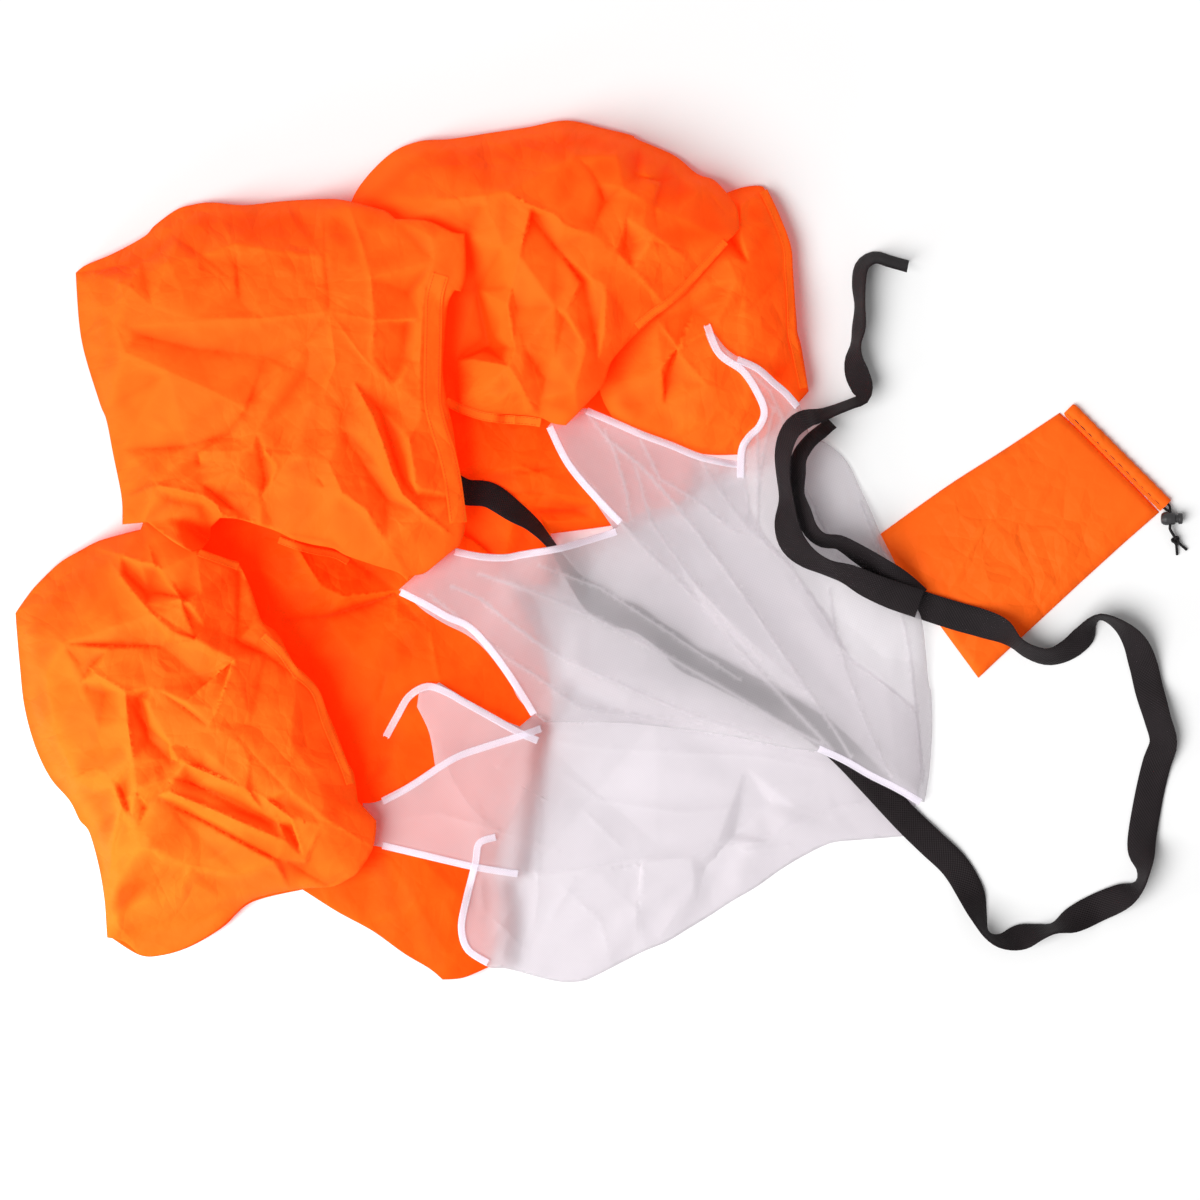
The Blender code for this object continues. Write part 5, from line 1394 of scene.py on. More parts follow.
def channel_rings(along, scale, chance):
    """The channel's skin at places along it: a flat hem by the bag and a soft sleeve past its stitches."""
    angles = np.arange(CHANNEL_SIDES) * 2.0 * math.pi / CHANNEL_SIDES
    rings = []
    for place in along:
        gather = math.sin(place / GATHER_LENGTH * 2.0 * math.pi + chance.uniform(-GATHER_SHIFT, GATHER_SHIFT))
        puff = scale * (1.0 + GATHER_SHARE * gather)
        across = np.cos(angles) * CHANNEL_WIDTH / 2 * scale * (1.0 + GATHER_SHARE / 4 * gather)
        sleeve = np.clip((across + CHANNEL_WIDTH / 2 - HEM_FLAT_LENGTH) / HEM_FLAT_LENGTH, 0.0, 1.0)
        fullness = HEM_FLAT_SHARE + (1.0 - HEM_FLAT_SHARE) * sleeve
        middle = CHANNEL_HEIGHT / 2 * (CHANNEL_DROP_SHARE + (1.0 - CHANNEL_DROP_SHARE) * sleeve)
        rise = np.sin(angles) * CHANNEL_HEIGHT / 2 * puff * fullness * CHANNEL_FULL_SHARE
        low = np.maximum(middle + rise, FLOOR_GAP)
        rings.append(np.column_stack([np.full(CHANNEL_SIDES, place), across, low]))
    return np.array(rings)


def channel_skin():
    """The channel's sleeve, drawn in at its far end, and its inner side at the open end."""
    chance = np.random.default_rng(setting("stitch_sizes").seed)
    half = CHANNEL_LENGTH / 2
    outer = channel_rings(np.linspace(-half, half, CHANNEL_ROWS), 1.0, chance)
    along = np.linspace(half, half - CHANNEL_WIDTH, CHANNEL_INNER_ROWS)
    inner = channel_rings(along, CHANNEL_INNER_SHARE, chance)
    middle = outer[0].mean(axis=0)
    outer[0] = middle + (outer[0] - middle) * CHANNEL_END_SHARES
    return np.concatenate([outer, inner])


def drawcord_path():
    """The cord from the knot through the lock, round inside the channel and back beside itself."""
    mouth_end = CHANNEL_LENGTH / 2
    far_end = -CHANNEL_LENGTH / 2 + CHANNEL_END_WALL + CORD_DIAMETER
    lock = lock_place()
    cord_x = lock[0] + CORD_HOLE_PLACE - BARREL_LENGTH / 2
    knot = knot_place()
    halves = []
    for side in (1.0, -1.0):
        stacked = lock[2] + side * STRAND_STACK / 2
        half = [
            (knot[0] - KNOT_WIDTH / 8, knot[1] + KNOT_LENGTH / 3, knot[2] + side * STRAND_STACK / 2),
            (cord_x, lock[1] - BARREL_RADIUS * LOCK_CLEAR_SHARE, stacked),
            (cord_x, lock[1] - BARREL_RADIUS, stacked),
            (cord_x, lock[1], stacked),
            (cord_x, lock[1] + BARREL_RADIUS, stacked),
        ]
        inner_places = (mouth_end + CORD_DIAMETER, mouth_end - BARREL_RADIUS, mouth_end / 2, 0.0, far_end / 2,
                        far_end + STRAND_SPREAD)
        inner = [(place, side * STRAND_SPREAD / 2, CHANNEL_HEIGHT / 2) for place in inner_places]
        halves.append(half + channel_places(inner).tolist())
    turn = channel_places([(far_end, 0.0, CHANNEL_HEIGHT / 2)]).tolist()
    rows, _ = even_route(halves[0] + turn + halves[1][::-1], CORD_DIAMETER * CORD_STEP_SHARE)
    return rows


def lock_place():
    """The middle of the cord lock's barrel."""
    place = channel_places([(CHANNEL_LENGTH / 2, 0.0, LOCK_AXIS_HEIGHT)])[0]
    return place + (*LOCK_OFFSET, 0.0)


def knot_place():
    """The middle of the knot under the lock."""
    place = lock_place() + (*KNOT_OFFSET, 0.0)
    place[2] = KNOT_HEIGHT / 2
    return place


def knot_paths():
    """The cord's turns in the tied end, and its two short tails."""
    place = knot_place()
    flat_reach = (KNOT_WIDTH - CORD_DIAMETER) / 2 / KNOT_TURN_REACH
    tall_reach = (KNOT_HEIGHT - CORD_DIAMETER) / 2
    around = np.linspace(0.0, 2.0 * math.pi, KNOT_POINTS)
    turns = np.column_stack(
        [(np.sin(around) + 2.0 * np.sin(2.0 * around)) * flat_reach,
         (np.cos(around) - 2.0 * np.cos(2.0 * around)) * flat_reach * KNOT_LENGTH / KNOT_WIDTH,
         -np.sin(3.0 * around) * tall_reach]
    )
    paths = [turned(turns, KNOT_TURN) + place]
    for spread in (-KNOT_TAIL_SPREAD, KNOT_TAIL_SPREAD):
        away = turned((0.0, -1.0, 0.0), KNOT_TURN + spread)
        reach = np.linspace(KNOT_LENGTH / 6, KNOT_LENGTH / 2 + KNOT_TAIL_LENGTH, KNOT_TAIL_POINTS)
        drop = np.linspace(0.0, place[2] - CORD_DIAMETER / 2 - FLOOR_GAP, KNOT_TAIL_POINTS)
        paths.append(place + away * reach[:, None] - np.array((0.0, 0.0, 1.0)) * drop[:, None])
    return paths


def spring_path():
    """The middle line of the lock's spring, and the corners of its CAD node."""
    low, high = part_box("cord_lock_spring")
    middle = (low + high) / 2
    along = np.linspace(0.0, 1.0, round(SPRING_TURNS * SPRING_POINTS_PER_TURN) + 1)
    angle = along * SPRING_TURNS * math.tau
    radius = (high.y - low.y - SPRING_WIRE) / 2
    x = low.x + SPRING_WIRE / 2 + (high.x - low.x - SPRING_WIRE) * along
    y = middle.y + np.cos(angle) * radius
    z = middle.z + np.sin(angle) * radius
    return np.stack([x, y, z], axis=1), low, high


def joined(name, pieces):
    """Several pieces as one, under a new name."""
    mesh = bpy.data.meshes.new(name)
    shape = bmesh.new()
    for piece in pieces:
        shape.from_mesh(piece.data)
    shape.to_mesh(mesh)
    shape.free()
    mesh.shade_smooth()
    mesh.materials.append(pieces[0].data.materials[0])
    for piece in pieces:
        bpy.data.objects.remove(piece)
    return linked(name, mesh)


# Outlines and folds, in shares of the layout length. A fold's third number is its height in shares.

UPPER_LEFT_SHARES = (
    (-0.520, 0.279), (-0.509, 0.287), (-0.482, 0.298), (-0.451, 0.315), (-0.441, 0.326),
    (-0.419, 0.342), (-0.402, 0.347), (-0.385, 0.349), (-0.359, 0.346), (-0.345, 0.346),
    (-0.311, 0.350), (-0.270, 0.351), (-0.251, 0.349), (-0.222, 0.341), (-0.207, 0.336),
    (-0.198, 0.328), (-0.174, 0.327), (-0.161, 0.324), (-0.140, 0.314), (-0.129, 0.313),
    (-0.128, 0.273), (-0.133, 0.256), (-0.139, 0.257), (-0.146, 0.242), (-0.150, 0.203),
    (-0.151, 0.175), (-0.147, 0.147), (-0.142, 0.126), (-0.137, 0.092), (-0.133, 0.071),
    (-0.130, 0.040), (-0.130, 0.021), (-0.135, 0.006), (-0.148, -0.004), (-0.161, -0.015),
    (-0.171, -0.022), (-0.184, -0.024), (-0.186, -0.030), (-0.196, -0.021), (-0.218, -0.014),
    (-0.247, -0.004), (-0.260, 0.003), (-0.281, 0.007), (-0.299, 0.012), (-0.316, 0.020),
    (-0.334, 0.026), (-0.354, 0.032), (-0.371, 0.033), (-0.382, 0.024), (-0.389, 0.003),
    (-0.397, -0.001), (-0.416, 0.009), (-0.431, 0.019), (-0.444, 0.029), (-0.471, 0.027),
    (-0.472, 0.053), (-0.481, 0.096), (-0.488, 0.131), (-0.496, 0.151), (-0.514, 0.212),
)
TOP_SHARES = (
    (-0.245, 0.346), (-0.232, 0.371), (-0.205, 0.398), (-0.177, 0.410), (-0.146, 0.412), (-0.108, 0.418),
    (-0.068, 0.424), (-0.040, 0.430), (-0.021, 0.430), (0.007, 0.423), (0.036, 0.416), (0.041, 0.412),
    (0.078, 0.396), (0.101, 0.377), (0.117, 0.371), (0.129, 0.358), (0.140, 0.341), (0.142, 0.320),
    (0.136, 0.312), (0.127, 0.303), (0.092, 0.259), (0.070, 0.240), (0.060, 0.233), (0.050, 0.224),
    (0.040, 0.215), (0.030, 0.205), (0.015, 0.187), (0.007, 0.165), (-0.011, 0.144), (-0.030, 0.125),
    (-0.043, 0.127), (-0.057, 0.133), (-0.086, 0.136), (-0.119, 0.138), (-0.145, 0.147), (-0.171, 0.157),
    (-0.196, 0.202), (-0.221, 0.262), (-0.244, 0.317),
)
RIGHT_SHARES = (
    (0.104, 0.370), (0.129, 0.358), (0.145, 0.364), (0.160, 0.366), (0.167, 0.365), (0.180, 0.342),
    (0.191, 0.311), (0.196, 0.280), (0.200, 0.234), (0.201, 0.219), (0.205, 0.204), (0.212, 0.160),
    (0.203, 0.150), (0.174, 0.120), (0.144, 0.097), (0.104, 0.098), (0.052, 0.115), (0.021, 0.126),
    (0.004, 0.160), (0.004, 0.212), (0.044, 0.302), (0.084, 0.352),
)
LOWER_LEFT_SHARES = (
    (-0.580, -0.061), (-0.568, -0.044), (-0.558, -0.032), (-0.536, -0.011), (-0.514, 0.002), (-0.496, 0.011),
    (-0.470, 0.018), (-0.452, 0.022), (-0.446, 0.040), (-0.430, 0.040), (-0.394, 0.003), (-0.354, -0.010),
    (-0.342, -0.036), (-0.330, -0.068), (-0.315, -0.081), (-0.299, -0.109), (-0.280, -0.130), (-0.262, -0.168),
    (-0.246, -0.208), (-0.240, -0.220), (-0.236, -0.247), (-0.222, -0.262), (-0.218, -0.267), (-0.218, -0.276),
    (-0.222, -0.296), (-0.236, -0.318), (-0.244, -0.324), (-0.262, -0.333), (-0.290, -0.335), (-0.325, -0.341),
    (-0.348, -0.350), (-0.378, -0.377), (-0.416, -0.398), (-0.443, -0.404), (-0.457, -0.402), (-0.472, -0.389),
    (-0.488, -0.385), (-0.490, -0.350), (-0.497, -0.312), (-0.506, -0.280), (-0.516, -0.268), (-0.526, -0.248),
    (-0.545, -0.226), (-0.560, -0.195), (-0.571, -0.155), (-0.576, -0.110),
)
INSIDE_LEFT_SHARES = (
    (-0.396, 0.052), (-0.346, 0.052), (-0.266, 0.052), (-0.176, 0.032), (-0.116, 0.007),
    (-0.076, -0.048), (-0.051, -0.108), (-0.046, -0.171), (-0.076, -0.248), (-0.101, -0.308),
    (-0.096, -0.358), (-0.106, -0.414), (-0.132, -0.425), (-0.153, -0.427), (-0.166, -0.416),
    (-0.191, -0.401), (-0.223, -0.378), (-0.258, -0.359), (-0.293, -0.337), (-0.344, -0.350),
    (-0.373, -0.375), (-0.405, -0.394), (-0.433, -0.403), (-0.456, -0.403), (-0.484, -0.386),
    (-0.471, -0.348), (-0.446, -0.248), (-0.426, -0.148), (-0.416, -0.048), (-0.412, 0.002),
)
INSIDE_RIGHT_SHARES = (
    (-0.196, 0.172), (-0.126, 0.182), (-0.036, 0.182), (0.044, 0.152), (0.094, 0.112), (0.096, 0.072),
    (0.084, 0.047), (0.044, 0.039), (0.024, 0.028), (-0.045, 0.018), (-0.046, -0.032), (-0.096, -0.031),
    (-0.156, -0.008), (-0.176, 0.072),
)

UPPER_LEFT_FOLD_SHARES = (
    # The lit facet at the lower left and its crest
    ((-0.486, 0.238, 0.2), (-0.477, 0.228, 0.4), (-0.466, 0.197, 0.9), (-0.421, 0.177, 1.0),
     (-0.375, 0.157, 0.9),
     (-0.346, 0.141, 0.6)),
    ((-0.451, 0.214, -0.2), (-0.396, 0.200, -0.6), (-0.326, 0.192, -0.6), (-0.286, 0.175, -0.3)),
    # The pressed line through the star's middle
    ((-0.463, 0.223, 0.2), (-0.396, 0.230, 0.4), (-0.326, 0.230, 0.5), (-0.262, 0.236, 0.7),
     (-0.218, 0.227, 0.4),
     (-0.173, 0.228, 0.1)),
    ((-0.262, 0.236, 0.7), (-0.263, 0.260, 0.2), (-0.268, 0.290, 0.0), (-0.269, 0.339, 0.2)),
    ((-0.262, 0.236, 0.7), (-0.282, 0.210, 0.3), (-0.308, 0.178, 0.2), (-0.342, 0.140, 0.3)),
    ((-0.262, 0.236, 0.7), (-0.229, 0.191, 0.5), (-0.201, 0.163, 0.6)),
    ((-0.262, 0.236, 0.7), (-0.255, 0.185, 0.5), (-0.266, 0.157, 0.5)),
    # The left shoulder
    ((-0.510, 0.280, 0.0), (-0.450, 0.287, -0.5), (-0.423, 0.284, 0.2)),
    ((-0.429, 0.323, 0.4), (-0.416, 0.311, -0.2), (-0.389, 0.292, -0.4), (-0.357, 0.267, -0.3)),
    ((-0.357, 0.303, 0.3), (-0.354, 0.281, -0.4), (-0.351, 0.249, -0.3), (-0.342, 0.236, 0.0)),
    ((-0.461, 0.262, 0.4), (-0.440, 0.245, 0.3)),
    # The right side's ridge and the hem's inner edge
    ((-0.245, 0.341, 0.4), (-0.231, 0.304, 0.6), (-0.221, 0.269, 0.7), (-0.218, 0.227, 0.8),
     (-0.220, 0.190, 0.6)),
    ((-0.162, 0.310, 0.2), (-0.159, 0.286, 0.2), (-0.168, 0.263, 0.3), (-0.172, 0.227, 0.4),
     (-0.173, 0.185, 0.4),
     (-0.173, 0.147, 0.3)),
    ((-0.185, 0.255, -0.5), (-0.186, 0.225, -0.6), (-0.190, 0.190, -0.5)),
    # The dark fold down the right side
    ((-0.238, 0.167, 0.3), (-0.219, 0.133, 0.7), (-0.209, 0.107, 0.9), (-0.200, 0.077, 0.9),
     (-0.190, 0.056, 0.6),
     (-0.169, 0.038, 0.3), (-0.141, 0.016, 0.0)),
    ((-0.212, 0.140, -0.5), (-0.200, 0.105, -0.8), (-0.190, 0.075, -0.7), (-0.176, 0.054, -0.4)),
    ((-0.173, 0.129, 0.4), (-0.184, 0.112, 0.6), (-0.177, 0.063, 0.5)),
    # The lit belly at the bottom and its crest
    ((-0.313, 0.077, 0.6), (-0.264, 0.090, 0.9), (-0.250, 0.058, 0.9), (-0.226, 0.041, 0.8),
     (-0.207, 0.008, 0.6),
     (-0.199, -0.004, 0.3)),
    ((-0.249, 0.121, -0.1), (-0.228, 0.085, -0.4), (-0.205, 0.050, -0.4)),
    # Small facets at the lower left
    ((-0.472, 0.101, -0.2), (-0.403, 0.104, -0.3), (-0.362, 0.116, 0.0), (-0.346, 0.141, 0.6)),
    ((-0.394, 0.098, -0.2), (-0.391, 0.085, -0.2), (-0.354, 0.079, 0.5), (-0.350, 0.098, 0.5),
     (-0.390, 0.094, 0.4)),
    ((-0.338, 0.102, 0.2), (-0.333, 0.117, 0.6), (-0.329, 0.093, -0.4), (-0.325, 0.070, -0.3),
     (-0.330, 0.055, 0.2)),
    ((-0.324, 0.096, 0.5), (-0.314, 0.084, 0.6), (-0.320, 0.067, 0.4)),
    ((-0.432, 0.069, 0.1), (-0.391, 0.080, -0.2)),
    ((-0.432, 0.065, 0.5), (-0.417, 0.062, 0.7), (-0.388, 0.055, 0.9), (-0.374, 0.046, 1.0),
     (-0.368, 0.034, 0.8),
     (-0.331, 0.027, 0.5)),
    ((-0.420, 0.050, -0.4), (-0.392, 0.044, -0.3)),
    ((-0.388, 0.066, 0.2), (-0.354, 0.039, -0.4)),
)
UPPER_LEFT_CREASE_SHARES = (
    (-0.8, 0.8, 0.0, (-0.429, 0.323), (-0.416, 0.311), (-0.389, 0.292), (-0.357, 0.267)),
    (-0.8, 0.8, 0.0, (-0.357, 0.303), (-0.354, 0.281), (-0.351, 0.249)),
    (-0.6, 1.0, 0.0, (-0.515, 0.281), (-0.490, 0.279), (-0.450, 0.287)),
    (0.5, 0.8, 0.0, (-0.509, 0.216), (-0.482, 0.226)),
    (-0.7, 0.8, 0.0, (-0.269, 0.339), (-0.267, 0.288), (-0.263, 0.255), (-0.262, 0.236)),
    (0.5, 0.8, 0.0, (-0.463, 0.223), (-0.326, 0.229), (-0.264, 0.235)),
    (-0.5, 0.7, 0.0, (-0.262, 0.235), (-0.279, 0.214), (-0.308, 0.179), (-0.350, 0.140)),
    (0.6, 0.7, 0.0, (-0.261, 0.234), (-0.229, 0.191), (-0.201, 0.163)),
    (0.6, 0.9, 0.0, (-0.262, 0.233), (-0.256, 0.185), (-0.266, 0.157), (-0.268, 0.143)),
    (0.5, 0.8, 0.0, (-0.262, 0.236), (-0.218, 0.227), (-0.173, 0.228)),
    (0.7, 0.9, 0.0, (-0.245, 0.346), (-0.231, 0.304), (-0.221, 0.269), (-0.218, 0.227), (-0.220, 0.190)),
    (0.9, 0.7, -0.9, (-0.238, 0.167), (-0.219, 0.133), (-0.209, 0.107), (-0.200, 0.077), (-0.190, 0.056),
     (-0.169, 0.038), (-0.141, 0.016)),
    (-0.5, 0.7, 0.0, (-0.249, 0.121), (-0.220, 0.090), (-0.197, 0.063)),
    (0.6, 0.8, 0.0, (-0.173, 0.129), (-0.184, 0.112), (-0.177, 0.063)),
    (0.5, 0.6, 0.0, (-0.173, 0.264), (-0.171, 0.227), (-0.173, 0.185), (-0.173, 0.147)),
    (0.6, 0.7, 0.0, (-0.175, 0.200), (-0.190, 0.170), (-0.196, 0.159)),
    (-0.6, 0.7, 0.0, (-0.217, 0.192), (-0.196, 0.164)),
    (-0.6, 0.8, 0.0, (-0.472, 0.101), (-0.403, 0.104), (-0.362, 0.116), (-0.346, 0.141)),
    (-0.9, 0.6, 0.0, (-0.394, 0.100), (-0.391, 0.085)),
    (-0.7, 0.6, 0.0, (-0.390, 0.094), (-0.354, 0.079)),
    (0.6, 0.6, 0.0, (-0.390, 0.098), (-0.350, 0.099)),
    (-0.9, 0.7, 0.0, (-0.333, 0.117), (-0.329, 0.093), (-0.325, 0.070), (-0.330, 0.055), (-0.325, 0.042)),
    (0.8, 0.6, 0.0, (-0.325, 0.099), (-0.314, 0.084), (-0.320, 0.067)),
    (0.9, 0.7, 0.0, (-0.432, 0.065), (-0.417, 0.062), (-0.388, 0.055), (-0.374, 0.046), (-0.368, 0.034),
     (-0.331, 0.027), (-0.296, 0.014)),
    (-0.8, 0.7, 0.0, (-0.388, 0.066), (-0.354, 0.039)),
    (-0.5, 0.7, 0.0, (-0.374, 0.059), (-0.333, 0.056)),
    (0.6, 0.7, 0.0, (-0.432, 0.069), (-0.391, 0.080), (-0.362, 0.084)),
    (0.7, 0.8, 0.0, (-0.264, 0.090), (-0.250, 0.058), (-0.226, 0.041), (-0.207, 0.008)),
    (-0.7, 0.5, 0.0, (-0.274, 0.073), (-0.267, 0.063)),
    (-0.5, 0.7, 0.0, (-0.316, 0.020), (-0.262, 0.011), (-0.247, -0.002)),
)
TOP_FOLD_SHARES = (
    # The fold that starts at the middle and runs right
    ((-0.088, 0.354, 0.3), (-0.063, 0.339, 0.8), (-0.040, 0.330, 0.5), (-0.030, 0.319, 0.3),
     (-0.004, 0.312, 0.1)),
    ((-0.063, 0.330, -0.4), (-0.039, 0.299, -0.4), (-0.011, 0.264, -0.4)),
    ((-0.065, 0.330, 0.9), (-0.075, 0.290, 0.9), (-0.087, 0.243, 0.6), (-0.080, 0.200, 0.3)),
    # Folds of the right shoulder
    ((-0.019, 0.390, 0.2), (-0.005, 0.376, -0.1), (0.003, 0.362, -0.3), (0.009, 0.345, -0.6),
     (0.001, 0.327, -0.4),
     (-0.004, 0.312, 0.0)),
    ((0.009, 0.345, -0.6), (0.027, 0.359, 0.4), (0.050, 0.372, 0.2)),
    ((0.021, 0.391, 0.4), (0.039, 0.371, -0.2), (0.065, 0.366, -0.6), (0.085, 0.374, 0.0)),
    ((0.038, 0.350, 0.5), (0.030, 0.327, 0.4), (0.031, 0.299, -0.5), (0.058, 0.310, 0.6), (0.090, 0.287, 0.0)),
    ((0.059, 0.362, 0.4), (0.058, 0.338, 0.2), (0.060, 0.319, 0.5)),
    ((0.107, 0.361, 0.6), (0.080, 0.330, 0.3)),
    ((0.019, 0.295, 0.4), (0.038, 0.276, 0.6), (0.068, 0.244, 0.3)),
    ((-0.004, 0.267, 0.5), (-0.001, 0.217, -0.3), (0.002, 0.190, 0.0)),
    ((0.010, 0.262, 0.6), (0.008, 0.215, 0.7)),
    ((-0.016, 0.263, 0.5), (-0.030, 0.235, 0.7), (-0.040, 0.190, 0.4)),
    # The dark valley beside the upper left lobe, and the bulge under it
    ((-0.138, 0.347, 0.0), (-0.130, 0.310, -1.6), (-0.118, 0.260, -3.6), (-0.106, 0.205, -4.2)),
    ((-0.110, 0.350, 0.2), (-0.092, 0.300, 0.0), (-0.078, 0.240, -0.3), (-0.070, 0.200, -0.2)),
    ((-0.139, 0.190, -3.0), (-0.120, 0.190, -1.2), (-0.086, 0.182, 0.9), (-0.075, 0.165, 0.9),
     (-0.062, 0.140, 0.5)),
    ((-0.110, 0.160, 0.5), (-0.095, 0.150, 0.4)),
    ((-0.050, 0.170, -0.4), (-0.055, 0.150, -0.3)),
    ((-0.040, 0.240, 0.8), (-0.010, 0.200, 0.7), (-0.020, 0.160, 0.4)),
)
TOP_CREASE_SHARES = (
    (-0.8, 0.8, 0.0, (-0.019, 0.390), (-0.005, 0.376), (0.003, 0.362), (0.009, 0.345), (0.001, 0.327),
     (-0.004, 0.312)),
    (-0.6, 0.9, 0.0, (0.009, 0.345), (0.027, 0.359), (0.050, 0.372)),
    (-0.8, 0.8, 0.0, (0.021, 0.391), (0.039, 0.371), (0.065, 0.366), (0.085, 0.374)),
    (-0.8, 0.8, 0.0, (0.038, 0.350), (0.030, 0.327), (0.031, 0.299)),
    (0.7, 0.9, 0.0, (0.031, 0.302), (0.058, 0.310), (0.090, 0.287)),
    (-0.7, 0.7, 0.0, (0.059, 0.362), (0.058, 0.338), (0.060, 0.319)),
    (0.8, 0.9, 0.0, (-0.088, 0.354), (-0.063, 0.339), (-0.040, 0.330), (-0.030, 0.319), (-0.004, 0.312)),
    (-0.9, 0.7, 0.0, (-0.063, 0.330), (-0.039, 0.299), (-0.011, 0.264)),
    (0.6, 1.0, 0.0, (-0.065, 0.330), (-0.075, 0.290), (-0.087, 0.243)),
    (-0.8, 0.7, 0.0, (-0.004, 0.267), (-0.001, 0.217)),
    (0.6, 0.9, 0.0, (0.019, 0.295), (0.038, 0.276), (0.068, 0.244)),
    (0.5, 0.8, 0.0, (-0.016, 0.263), (-0.030, 0.235)),
    (-0.5, 0.8, 0.0, (-0.145, 0.332), (-0.115, 0.316)),
    (0.6, 0.8, 0.0, (-0.120, 0.196), (-0.086, 0.182), (-0.075, 0.165), (-0.062, 0.140)),
    (-0.6, 0.7, 0.0, (0.107, 0.361), (0.130, 0.332)),
    (-0.6, 0.7, 0.0, (0.044, 0.306), (0.090, 0.296)),
)
RIGHT_FOLD_SHARES = (
    ((0.166, 0.357, 0.3), (0.179, 0.329, 0.5), (0.189, 0.300, 0.6), (0.190, 0.257, 0.6), (0.190, 0.219, 0.5)),
    ((0.145, 0.344, 0.6), (0.142, 0.322, 0.7)),
    ((0.148, 0.236, 0.6), (0.188, 0.280, 0.2)),
    ((0.148, 0.236, 0.6), (0.120, 0.223, 0.2)),
    ((0.136, 0.311, -0.8), (0.151, 0.286, -0.4), (0.148, 0.260, 0.0)),
    ((0.128, 0.295, 0.4), (0.140, 0.270, 0.3)),
    ((0.126, 0.298, 0.5), (0.098, 0.262, 0.6), (0.092, 0.256, 0.4)),
    ((0.098, 0.240, -0.4), (0.080, 0.200, -0.6), (0.070, 0.170, -0.5)),
    ((0.060, 0.228, 0.3), (0.081, 0.202, 0.9), (0.065, 0.182, 0.8), (0.068, 0.146, 0.4)),
    ((0.081, 0.198, 0.3), (0.110, 0.165, 0.7), (0.150, 0.150, 0.2)),
    ((0.094, 0.130, 0.5), (0.140, 0.120, 0.5)),
)
RIGHT_CREASE_SHARES = (
    (0.8, 0.7, 0.0, (0.167, 0.363), (0.145, 0.344), (0.142, 0.322)),
    (-0.9, 0.7, 0.0, (0.136, 0.311), (0.151, 0.286)),
    (-0.4, 0.8, 0.0, (0.148, 0.236), (0.188, 0.280)),
    (-0.3, 0.8, 0.0, (0.148, 0.236), (0.120, 0.223)),
    (0.6, 0.7, 0.0, (0.166, 0.357), (0.179, 0.329), (0.189, 0.300), (0.190, 0.257), (0.190, 0.219)),
    (0.9, 0.7, 0.0, (0.060, 0.232), (0.081, 0.202), (0.065, 0.182)),
    (-0.6, 0.7, 0.0, (0.068, 0.180), (0.069, 0.146)),
    (0.6, 0.8, 0.0, (0.081, 0.198), (0.110, 0.165)),
    (0.5, 0.7, 0.0, (0.126, 0.298), (0.098, 0.262)),
)
